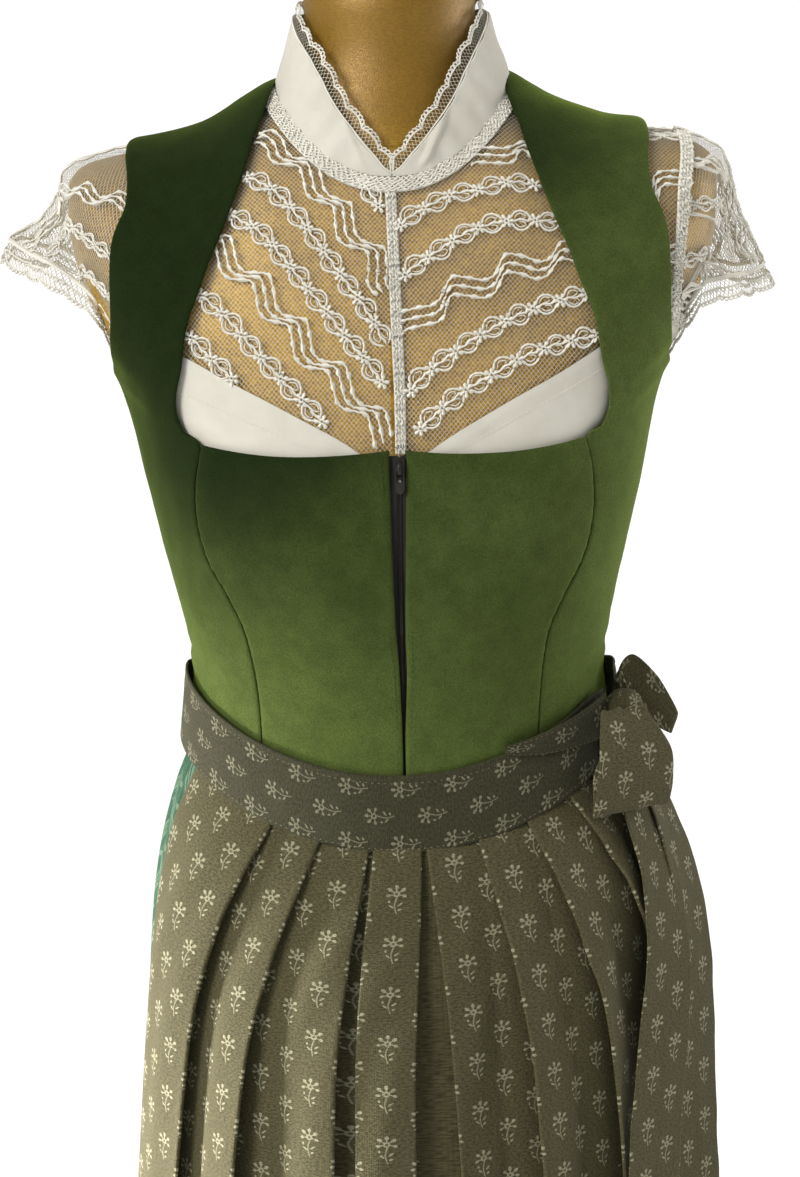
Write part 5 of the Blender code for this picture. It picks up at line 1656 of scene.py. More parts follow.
class GridSurface:
    """A closed grid of points as a surface: a column runs round it and a row along it."""

    def __init__(self, grid: Array) -> None:
        """Keeps the grid and its normals."""
        self.grid = grid
        across = np.roll(grid, -1, 1) - np.roll(grid, 1, 1)
        self.normals = unit(np.cross(np.gradient(grid, axis=0), across))
        if (self.normals * (grid - grid.mean((0, 1)))).sum() < 0:
            self.normals = -self.normals

    def point(self, column: Array, row: Array, offset: Array | float = 0.0) -> Array:
        """Points at places on the grid, moved out along its normals.

        Args:
            column: places round the grid, counted in columns.
            row: places along it, counted in rows.
            offset: metres out of it.

        Returns:
            The points.
        """
        rows, columns = self.grid.shape[:2]
        column, row = np.broadcast_arrays(np.asarray(column, float), np.asarray(row, float))
        row = np.clip(row, 0, rows - 1.001)
        i, j = np.floor(row).astype(int), np.floor(column).astype(int)
        t, u = (row - i)[..., None], (column - j)[..., None]
        j, k = j % columns, (j + 1) % columns

        def at(values: Array) -> Array:
            """A table of the grid's points at the places."""
            low = values[i, j] * (1 - u) + values[i, k] * u
            return low * (1 - t) + (values[i + 1, j] * (1 - u) + values[i + 1, k] * u) * t

        return at(self.grid) + unit(at(self.normals)) * np.asarray(offset)[..., None]


class BandPath:
    """A band's course over a surface, with its own run and width in metres."""

    def __init__(self, surface: RingSurface | GridSurface | CollarSurface, line: Sequence, height: float,
                 scale: tuple[float, float], count: int = 160) -> None:
        """Finds the way across the band at each point of its course.

        Args:
            surface: what it lies on.
            line: the surface's two coordinates of points on its middle.
            height: how high it lies.
            scale: metres for each unit of the coordinates.
            count: how many points its course has.
        """
        self.surface, self.height = surface, height
        self.line = smooth_curve(line, count, scale)
        a, b = self.line.T
        step_a, step_b = 0.0004 / scale[0], 0.0004 / scale[1]
        path = surface.point(a, b, height)
        by_a = (surface.point(a + step_a, b, height) - surface.point(a - step_a, b, height)) / (2 * step_a)
        by_b = (surface.point(a, b + step_b, height) - surface.point(a, b - step_b, height)) / (2 * step_b)
        self.out = unit(np.cross(by_b, by_a))
        if (self.out * (surface.point(a, b, height + 0.001) - path)).sum() < 0:
            self.out = -self.out
        side = unit(np.cross(self.out, np.gradient(path, axis=0)))
        aa, bb, ab = (by_a * by_a).sum(1), (by_b * by_b).sum(1), (by_a * by_b).sum(1)
        sa, sb = (side * by_a).sum(1), (side * by_b).sum(1)
        whole = aa * bb - ab * ab
        self.across = np.stack([(sa * bb - sb * ab) / whole, (sb * aa - sa * ab) / whole], 1)
        self.run = run_along(path)

    @property
    def length(self) -> float:
        """The band's length in metres."""
        return float(self.run[-1])

    def at(self, along: Array, across: Array, lift: Array | float = 0.0) -> Array:
        """Points of the band, all in metres.

        Args:
            along: how far along the band.
            across: how far to the side.
            lift: how far above it.

        Returns:
            The points.
        """
        line, way = at_run(along, self.run, self.line), at_run(along, self.run, self.across)
        a, b = (line + np.asarray(across)[..., None] * way).T
        return self.surface.point(a, b, self.height + np.asarray(lift) * np.ones_like(a))


@dataclass(frozen=True)
class LaceWork:
    """The embroidery on the net, in metres."""

    repeat: float = 0.0168
    wave_repeat: float = 0.0335
    wave_apart: float = 0.0047
    wave_height: float = 0.0043
    wave_shift: float = 0.0021
    thread: float = 0.00058
    petals: tuple = (0, 56, 118, 180, 236, 298)
    # along a petal from the star's ring
    petal_reach: tuple = (0.0012, 0.0022, 0.0031, 0.0039, 0.0045)
    petal_lift: tuple = (0.0005, 0.0005, 0.0005, 0.0004, 0.0002)
    petal_radii: tuple = (0.00075, 0.00092, 0.00112, 0.00108, 0.00080)
    # an eye's outline and the cord in it: share of the repeat, and half the width
    eye_outline: tuple = ((0.14, 0.0012), (0.24, 0.0036), (0.34, 0.0051), (0.48, 0.0057), (0.62, 0.0052),
                          (0.76, 0.0036), (0.86, 0.0012))
    eye_cord: tuple = ((0.28, 0.0012), (0.38, 0.0035), (0.52, 0.0041), (0.68, 0.0026), (0.60, 0.0011),
                       (0.44, 0.0008))
    # a wave's course: share of its repeat, and share of its height
    wave: tuple = ((0.0, 0.97), (0.05, 1.0), (0.28, 0.05), (0.48, -0.92), (0.54, -1.0), (0.66, -0.96),
                   (0.72, -0.74), (0.94, 0.76), (1.0, 0.97))

    def band(self, rows: Strands, path: BandPath, motif: Motif, size: float = 1.0,
             start: float = 0.0) -> None:
        """Adds one band.

        Args:
            rows: what it is added to.
            path: its course.
            motif: its pattern.
            size: how wide it is for its usual width.
            start: how far in its first star lies.
        """
        if motif is Motif.CHAIN:
            for k, at in enumerate(np.arange(start, path.length, self.repeat * size)):
                self.star(rows, path, at, size, 0.3 * k)
                if at + self.repeat * size * 0.75 < path.length:
                    self.eye(rows, path, at, size, k)
        else:
            self.waves(rows, path, size, start)

    def star(self, rows: Strands, path: BandPath, at: float, size: float, turn: float) -> None:
        """A small star: a ring with fat petals round it.

        Args:
            rows: what it is added to.
            path: the band's course.
            at: how far along it the star lies.
            size: its size for its usual size.
            turn: a number that sets its petals apart.
        """
        angle = np.linspace(0, 2 * math.pi, 8, endpoint=False)
        r = 0.0013 * size
        rows.cord(path.at(at + r * np.cos(angle), r * np.sin(angle), 0.0006), 0.00072 * size, 4, True)
        for petal in np.radians(np.array(self.petals) + 9 * math.sin(turn * 3)):
            reach = np.array(self.petal_reach) * size * (1 + 0.08 * math.sin(turn * 5 + petal))
            points = path.at(at + reach * math.cos(petal), reach * 0.95 * math.sin(petal),
                             np.array(self.petal_lift))
            rows.cord(points, np.array(self.petal_radii) * size, 4)

    def eye(self, rows: Strands, path: BandPath, at: float, size: float, k: int) -> None:
        """The eye-shaped loop between two stars, with a rib through it and a fine cord in each half.

        Args:
            rows: what it is added to.
            path: the band's course.
            at: how far along it the first star lies.
            size: its size for its usual size.
            k: the loop's number.
        """
        step = self.repeat * size
        for sign in (1, -1):
            uneven = 1 + 0.07 * math.sin(k * 2.1 + sign)
            along, wide = np.array(self.eye_outline).T
            course = smooth_curve(np.stack([along * step + at, wide * size * sign * uneven], 1), 15)
            lumps = self.thread * (1.12 + 0.30 * np.sin(np.arange(15) * 2.2 + k))
            rows.cord(path.at(course[:, 0], course[:, 1], 0.0003), lumps, 4)
            along, wide = np.array(self.eye_cord).T
            course = smooth_curve(np.stack([along * step + at, wide * size * sign], 1), 9)
            rows.cord(path.at(course[:, 0], course[:, 1], 0.0002), self.thread * 0.62, 4)
        along = np.linspace(0.16, 0.84, 8) * step + at
        wide = 0.0005 * np.sin(np.arange(8) * 1.2 + k) * size
        rows.cord(path.at(along, wide, 0.0004), self.thread * (1.15 + 0.25 * np.sin(np.arange(8) * 2.4)), 4)

    def waves(self, rows: Strands, path: BandPath, size: float, start: float) -> None:
        """Three cords that step side by side, with a small knob every few millimetres.

        Args:
            rows: what they are added to.
            path: the band's course.
            size: how wide they are for their usual width.
            start: how far in the first wave starts.
        """
        count = max(int(path.length / 0.0008), 12)
        along = np.linspace(0, path.length, count)
        for k in (-1, 0, 1):
            turn = ((along - start - self.wave_shift * k) / (self.wave_repeat * size)) % 1.0
            wide = np.interp(turn, *np.array(self.wave).T) + 0.06 * np.sin(along * 1900 + k)
            wide = (self.wave_height * wide + self.wave_apart * k) * size
            near = np.abs(((along + 0.0031 * k) / 0.0080) % 1.0 - 0.5) * 0.0080
            radius = self.thread * (0.95 + 1.45 * np.exp(-(near / 0.0016) ** 2) + 0.12 * np.sin(along * 2600))
            rows.cord(path.at(along, wide, 0.0004), radius, 4)

    def ruche(self, rows: Strands, path: BandPath, cords: int, wide: float) -> None:
        """A lumpy braid of small loops side by side.

        Args:
            rows: what it is added to.
            path: its course.
            cords: how many rows of loops it has.
            wide: its width.
        """
        along = np.linspace(0, path.length, int(path.length / 0.00088))
        apart = wide / cords
        bed = np.linspace(0, path.length, int(path.length / 0.003) + 4)
        for k in range(cords):
            rows.cord(path.at(bed, (k - (cords - 1) / 2) * apart, -0.0004), apart * 0.56, 5)
            loop = along * 2 * math.pi / 0.0034 + 1.9 * k + 0.9 * np.sin(along * 310 + k * 2.0)
            across = (k - (cords - 1) / 2) * apart + apart * 0.42 * np.sin(loop)
            lift = 0.00060 + 0.00035 * np.cos(loop * 0.5 + k)
            radius = apart * (0.37 + 0.12 * np.sin(loop * 0.73 + k))
            rows.cord(path.at(along, across, lift), radius, 4)

    def picots(self, rows: Strands, edge: Array, outward: Array, pitch: float, radius: float,
               closed: bool = False) -> None:
        """A row of small rings along an edge, on a cord.

        Args:
            rows: what they are added to.
            edge: the edge's points.
            outward: the way out of the edge, in the cloth, at each point.
            pitch: from one ring to the next.
            radius: a ring's radius.
            closed: whether the edge returns to its start.
        """
        if closed:
            edge, outward = np.concatenate([edge, edge[:1]]), np.concatenate([outward, outward[:1]])
        run = run_along(edge)
        count = int(run[-1] / pitch)
        rows.cord(at_run(np.linspace(0, run[-1], count * 4), run, edge), self.thread * 0.95, 4)
        at = (np.arange(count) + 0.5) * run[-1] / count
        turn = np.linspace(0, 2 * math.pi, 7, endpoint=False)
        tangent = unit(np.gradient(edge, axis=0))
        for place in at:
            middle, way, side = (at_run(place, run, values) for values in (edge, outward, tangent))
            ring = middle + way * radius * 0.9
            ring = ring + radius * (np.cos(turn)[:, None] * way + np.sin(turn)[:, None] * side)
            rows.cord(ring, self.thread * 0.9, 4, True)


LACE = LaceWork()


# ---------------------------------------------------------------- cloth walls
def declare(piece: bpy.types.Object, middle: Array,
            closed: bool = False) -> None:
    """Works out a cloth piece's width, length and area from its own grid; the results are not kept.

    Args:
        piece: the cloth; it is not used.
        middle: its middle layer, grain down the columns.
        closed: whether the last column joins the first.
    """
    if closed:
        middle = np.concatenate([middle, middle[:, :1]], 1)
    width = float(run_along(middle, 1)[:, -1].max())
    length = float(run_along(middle)[-1].max())
    area = sheet_area(middle)


# ---------------------------------------------------------------- the skirt
@dataclass
class Skirt:
    """The gathered skirt: a front and a back that meet at side seams."""

    wardrobe: Wardrobe
    folds: int = 26
    thick: float = 0.0007
    rows: int = 44
    columns: int = 232
    hem: float = 0.028
    rim: float = 0.0015
    small_folds: float = 84.0
    seam_level: float = 11.45

    def height(self, angle: Array, level: Array) -> Array:
        """How far the cloth lies out of the hanging surface.

        Args:
            angle: the place round the skirt.
            level: the place down it.

        Returns:
            Metres out of the surface.
        """
        depth = HANGING_SURFACE.at(level)[..., 7]
        drift = 0.16 * np.sin(np.radians(angle) * 5 + 1.3)
        drift = drift + 0.10 * np.sin(np.radians(angle) * 11 + level * 0.5)
        drift = drift + 0.10 * np.sin(level * 1.1 + np.radians(angle) * 3) * np.clip(level / 2, 0, 1)
        place = angle * self.folds / 360 - 0.25 + drift * np.clip(np.abs(np.abs(angle) - 90) / 6, 0, 1)
        crest = 2 * (np.cos(math.pi * place) ** 2 + 0.02) ** 0.36 - 1.03
        size = 0.80 + 0.20 * np.sin(np.radians(angle) * 7 + 0.9 + 0.3 * level)
        near_waist = np.exp(-level / 0.9)
        gathers = 0.0011 * np.sin(np.radians(angle) * self.small_folds + 2.2 * np.sin(np.radians(angle) * 9))
        long_waves = 0.0012 * np.sin(np.radians(angle) * 33 + level * 1.7) * np.clip(level / 3, 0, 1)
        return depth * crest * size * 0.96 + gathers * near_waist + long_waves - 0.0010

    def build(self) -> None:
        """Builds both halves with their hem stitching."""
        for name, start in (("front", -90.0), ("back", 90.0)):
            angles = start + marks(180.0, self.columns, 0.004)
            levels = np.concatenate([[0.02], marks(1.0, self.rows, 0.004) * 5.96 + 0.03])
            angle, level = np.meshgrid(angles, levels)
            turned = (angle + 180) % 360 - 180
            lift = self.height(turned, level)
            seam = np.minimum(angle - start, start + 180 - angle) * 0.0029
            lift = lift * np.clip(seam / 0.008, 0, 1) ** 0.5 - 0.0012 * np.exp(-(seam / 0.002) ** 2)
            middle = HANGING_SURFACE.point(turned, level, lift)
            tucked = TORSO_SURFACE.point(turned[0], np.full(len(angles), self.seam_level),
                                         LAYERS.over_bodice - 0.0002)
            share = np.array([0.0, 0.35, 0.7])[:, None, None]
            middle = np.concatenate([tucked * (1 - share) + middle[:1] * share, middle])
            turned, level = (np.concatenate([grid[:1], grid[:1], grid[:1], grid]) for grid in (turned, level))
            flat = cloth_map(middle)
            from_hem = flat[-1:, :, 1].max() - flat[..., 1]
            out = HANGING_SURFACE.normal(turned, level)
            fold_line = 0.0006 * (from_hem < self.hem)
            fold_line = fold_line - 0.0005 * np.exp(-((from_hem - self.hem) / 0.002) ** 2)
            middle = middle + out * fold_line[..., None]
            outer, inner = thickened(middle, self.thick, self.rim, out)
            made = shell("green_skirt_" + name, (outer, inner), flat, 75)
            self.wardrobe.dress(made, "dark_green_cloth", "skirt_" + name)
            rows = Strands()
            row = int(np.argmin(np.abs(from_hem[:, 0] - self.hem)))
            stitches(rows, outer[row] + out[row] * 0.0001, out[row], 0.0028, 0.0040, 0.00020)
            thread = rows.made("skirt_hem_stitches_" + name)
            self.wardrobe.dress(thread, "green_stitching", slot="skirt_cloth")
            declare(made, middle)


# ---------------------------------------------------------------- the apron
@dataclass
class Apron:
    """The knife-pleated apron, its band and the ties that run on from it."""

    wardrobe: Wardrobe
    thick: float = 0.0007
    rows: int = 42
    top_level: float = 0.06
    hip_level: float = 3.0
    hem_level: float = 5.8
    hem: float = 0.022
    rim: float = 0.0012
    band_rim: float = 0.0018
    stitched: tuple[float, float] = (0.10, 0.93)
    fold_radius: float = 0.0011
    pattern_pitch: float = 0.0495
    clear: tuple = ((0.06, 1.00, 6.00), (0.0022, 0.0048, 0.0056))
    rise: tuple = ((0.06, 0.50, 3.00, 5.80), (0.0028, 0.0046, 0.0130, 0.0210))
    tuck: tuple = ((0.06, 1.0, 3.0, 5.8), (0.0090, 0.0095, 0.0110, 0.0120))
    # edge angles at the band, at the hip and at the hem, from the wearer's right to left
    folds: tuple = (
        (-68.0, -34.0, -66.0, -45.0, -73.0, -53.0),
        (-33.0, -20.6, -42.0, -31.0, -49.0, -39.0),
        (-19.4,  -8.2, -25.0, -13.2, -27.0, -15.0),
        (-7.0,   4.6,  -9.6,   1.2,  -9.5,   0.0),
        (5.8,  17.6,   8.4,  17.6,  12.5,  20.5),
        (18.8,  31.2,  23.4,  33.6,  27.0,  36.0),
        (32.4,  45.2,  40.6,  49.0,  43.0,  53.0),
        (46.6,  56.6,  59.5,  66.0,  60.5,  68.5),
        (58.0,  69.0,  70.0,  76.5,  73.0,  80.0),
        (70.4,  82.0,  80.0,  86.5,  84.5,  92.0),
    )
    leans: tuple = (1, 1, 1, 0, -1, -1, -1, -1, -1, -1)

    def edges(self, level: float) -> Array:
        """Where each panel starts and ends at a level, in degrees."""
        upper = self.hip_level - self.top_level
        to_hip = min(level - self.top_level, upper) / upper
        to_hem = max(level - self.hip_level, 0) / (self.hem_level - self.hip_level)
        table = np.array(self.folds)
        top, hip, hem = table[:, 0:2], table[:, 2:4], table[:, 4:6]
        return top + (hip - top) * to_hip + (hem - hip) * to_hem

    def face(self, start: float, end: float, low_start: float, low_end: float, count: int) -> Array:
        """A panel's face, as place along and height, swollen a little between its edges.

        Args:
            start: the place of the first edge.
            end: the place of the last.
            low_start: the height at the first edge.
            low_end: the height at the last.
            count: how many points.

        Returns:
            Places along and heights.
        """
        share = np.linspace(0, 1, count)
        height = low_start + (low_end - low_start) * share ** 0.85
        swell = 0.10 * np.sin(math.pi * share) * max(low_start, low_end)
        return np.stack([start + (end - start) * share, height + swell], 1)

    def roll(self, edge: float, height: float, way: int, tuck: float) -> Array:
        """The crisp fold at a panel's high edge and its return under the panel, from the face inward.

        Args:
            edge: where the fold is.
            height: how high the face is there.
            way: 1 if the fold turns to higher places along, -1 if to lower.
            tuck: how far the return goes under the panel.

        Returns:
            Places along and heights.
        """
        radius = min(self.fold_radius, height * 0.28)
        turn = np.radians(np.linspace(70, -90, 8))
        ring = np.stack([edge + way * radius * (np.cos(turn) - 1), height + radius * (np.sin(turn) - 1)], 1)
        drop = height - 2 * radius
        back = [(edge - way * (radius + 0.35 * tuck), drop * 0.92),
                (edge - way * (radius + 0.75 * tuck), drop * 0.74)]
        low = min(radius, drop * 0.3)
        turn = np.radians(np.linspace(80, -90, 7))
        under = np.stack([edge - way * (radius + tuck + low * np.cos(turn)), low * (1 + np.sin(turn))], 1)
        return np.concatenate([ring, back, under])

    def section(self, level: float) -> tuple[Array, Array, float]:
        """The apron's course at one level.

        Args:
            level: the level on the hanging surface.

        Returns:
            Places along and heights, for each the place across the flat cloth, and the course's radius.
        """
        around = HANGING_SURFACE.point(np.linspace(-80, 90, 60), np.full(60, level))
        round_radius = float(np.linalg.norm(around[:, :2], axis=1).mean())
        places = np.radians(self.edges(level)) * round_radius
        rise, tuck = (float(np.interp(level, *table)) for table in (self.rise, self.tuck))
        parts: list[tuple[Array, int, int]] = []
        for k, (start, end) in enumerate(places):
            lean, reach = self.leans[k], min(tuck, (end - start) * 0.42)
            uneven = 1.0 + 0.06 * math.sin(2.1 * k + 1.1 * level) + 0.04 * math.sin(5.0 * k + 2.7 * level)
            high = rise * uneven
            count = 40 if k == 0 else 18
            radius = min(self.fold_radius, high * 0.28)
            if lean > 0:
                low = 0.0006 if k == 0 else 0.10 * high
                face = self.face(start, end - radius * 0.6, low, high - radius * 0.05, count)
                fold = self.roll(end, high, 1, reach)
                course, crisp = np.concatenate([face, fold]), count
            elif lean < 0:
                low = 0.0006 if k == len(places) - 1 else 0.10 * high
                face = self.face(start + radius * 0.6, end, high - radius * 0.05, low, count)
                fold = self.roll(start, high, -1, reach)[::-1]
                course, crisp = np.concatenate([fold, face]), len(fold)
            else:
                face = self.face(start + radius, end - radius, high, high, count)
                left = self.roll(start, high, -1, reach * 0.7)[::-1]
                right = self.roll(end, high, 1, reach * 0.7)
                course, crisp = np.concatenate([left, face, right]), len(left) + count // 2
            parts.append((course, crisp, lean))
        return *self.joined(parts), round_radius

    def joined(self, parts: list[tuple[Array, int, int]]) -> tuple[Array, Array]:
        """Joins the panels' courses, and lays the pattern so that it follows each panel's crisp edge.

        Args:
            parts: each panel's course, its crisp point's number and which edge stands up.

        Returns:
            The whole course and the place of each point across the flat cloth.
        """
        between = np.linspace(0, 1, 9)[1:-1, None]
        course, zones = [], []
        count = 0
        for k, (part, crisp, lean) in enumerate(parts):
            if k:
                gap = course[-1][-1] * (1 - between) + part[0] * between
                course.append(gap)
                count += len(gap)
            low = count if lean > 0 else count + crisp - (3 if lean < 0 else len(part) // 2 - 8)
            high = count + (crisp + 2 if lean > 0 else len(part) - 1 - (15 if lean == 0 else 0))
            if lean > 0 and k:
                low -= len(between)
            if lean < 0 and k < len(parts) - 1:
                high += len(between)
            start = self.pattern_pitch * k + {1: 0.00425, 0: 0.00825, -1: -0.00425}[lean]
            zones.append((low, count + crisp, high, start))
            course.append(part)
            count += len(part)
        whole = np.concatenate(course)
        run = run_along(whole)
        at, flat = [], []
        for low, crisp, high, start in zones:
            for place in (low, min(high, len(run) - 1)):
                at.append(run[place])
                flat.append(start + run[place] - run[min(crisp, len(run) - 1)])
        return whole, np.interp(run, at, flat)

    def skirt(self) -> None:
        """The pleated cloth."""
        levels = self.top_level + (self.hem_level - self.top_level) * marks(1.0, self.rows, 0.004) ** 1.08
        rows, flats = [], []
        for level in levels:
            course, across, radius = self.section(level)
            wobble = 0.0011 * np.sin(course[:, 0] * 70 + level * 2.3)
            wobble = wobble + 0.0007 * np.sin(course[:, 0] * 190 + level * 5.1)
            calm = np.clip((level - self.top_level) / 1.5, 0, 1)
            height = course[:, 1] + wobble * calm * np.clip(course[:, 1] / 0.006, 0.15, 1)
            base = HANGING_SURFACE.at(level)[7] + np.interp(level, *self.clear) + self.thick / 2 + 0.0004
            angle = np.degrees(course[:, 0] / radius)
            rows.append(HANGING_SURFACE.point(angle, np.full(len(angle), level), base + height))
            flats.append(across)
        middle = np.array(rows)
        down = run_along(middle).mean(1)
        flat = np.stack([np.array(flats), np.broadcast_to(down[:, None], middle.shape[:2])], -1)
        outer, inner = thickened(middle, self.thick, self.rim, middle * (1, 1, 0))
        made = shell("pleated_apron", (outer, inner), flat, 80)
        self.wardrobe.dress(made, "sprigged_jacquard", "apron_skirt")
        rows = Strands()
        row = int(np.argmin(np.abs(down[-1] - down - self.hem)))
        stitches(rows, outer[row], unit(outer[row] - inner[row]), 0.0030, 0.0012, 0.00022)
        thread = self.wardrobe.dress(rows.made("apron_hem_stitches"), "taupe_stitching")
        declare(made, middle)

    def belt(self, names: tuple[str, str], angles: Array, top: Array, bottom: Array, lift_top: Array,
             lift_bottom: Array, rows: int = 16) -> None:
        """A strip of jacquard round the waist between two levels.

        Args:
            names: the piece's name, and the frame's node that it stands for.
            angles: the strip's course round the torso.
            top: the level of its top edge at each angle.
            bottom: the level of its bottom edge.
            lift_top: how far the top edge stands off.
            lift_bottom: how far the bottom edge stands off.
            rows: how many rows across it.
        """
        share = marks(1.0, rows, 0.05)[:, None]
        level = top[None] * (1 - share) + bottom[None] * share
        lift = lift_top[None] * (1 - share) + lift_bottom[None] * share
        turned = np.broadcast_to((angles[None] + 180) % 360 - 180, level.shape)
        base = TORSO_SURFACE.point(turned, level, LAYERS.band)
        soft = 0.0005 * wander(base, 0.060, 5.3) + 0.0003 * wander(base, 0.021, 2.9)
        crown = 0.0006 * np.sin(math.pi * share)
        fold_in = -0.0004 * np.exp(-((share - 0.115) / 0.02) ** 2)

        def at(height: Array | float) -> Array:
            """The strip's points at a height above its base."""
            extra = lift + (soft + crown) * np.clip(np.sin(math.pi * share) * 1.5, 0, 1)
            extra = extra + np.where(np.asarray(height) > 0.5 * LAYERS.band_wall, fold_in, 0.0)
            return TORSO_SURFACE.point(turned, level, LAYERS.band + extra + height)

        outer, inner = rounded(at, LAYERS.band_wall, self.band_rim)
        made = shell(names[0], (outer, inner), cloth_map(base), 75)
        self.wardrobe.dress(made, "crosswise_jacquard", names[1])
        threads, out = Strands(), TORSO_SURFACE.normal(turned, level)
        for edge in self.stitched:
            near = int(np.argmin(np.abs(share[:, 0] - edge)))
            stitches(threads, outer[near] - out[near] * 0.0001, out[near], 0.0026, 0.0011, 0.00018)
        thread = self.wardrobe.dress(threads.made(names[0] + "_stitches"), "taupe_stitching")
        declare(made, base)

    def build(self) -> None:
        """Builds the band, the ties and the pleated cloth."""
        angles = np.linspace(-92, 66, 130)
        lean = np.sin(np.radians(angles)) ** 2
        stand = 0.0020 * lean * (angles < 0) + 0.0045 * np.clip((angles - 56) / 10, 0, 1) ** 2
        self.belt(("apron_waistband", "apron_band"), angles, 11.03 - 0.10 * lean, np.full_like(angles, 11.62),
                  stand, np.full_like(angles, 0.0030))
        angles = np.linspace(-92.6, -287.0, 140)
        share = np.clip((angles + 92.6) / -25, 0, 1) * np.clip((angles + 287.0) / 25, 0, 1)
        climb = np.clip((-angles - 250.0) / 37, 0, 1) ** 2
        self.belt(("apron_tie_round_the_back", "apron_tie_back"), angles, 10.93 + 0.10 * share - 0.14 * climb,
                  11.62 - 0.08 * share - 0.34 * climb, 0.0008 + 0.0012 * (1 - share) + 0.0038 * climb,
                  0.0030 + 0.0029 * climb)
        angles = np.linspace(27.0, 64.2, 60)
        share = (angles - 27.0) / 37.2
        self.belt(("apron_tie_to_the_bow", "apron_tie_front"), angles, 10.92 + 0.04 * share,
                  10.98 + 0.42 * share ** 0.8, 0.0024 + 0.0050 * share, 0.0026 + 0.0044 * share, 14)
        self.skirt()


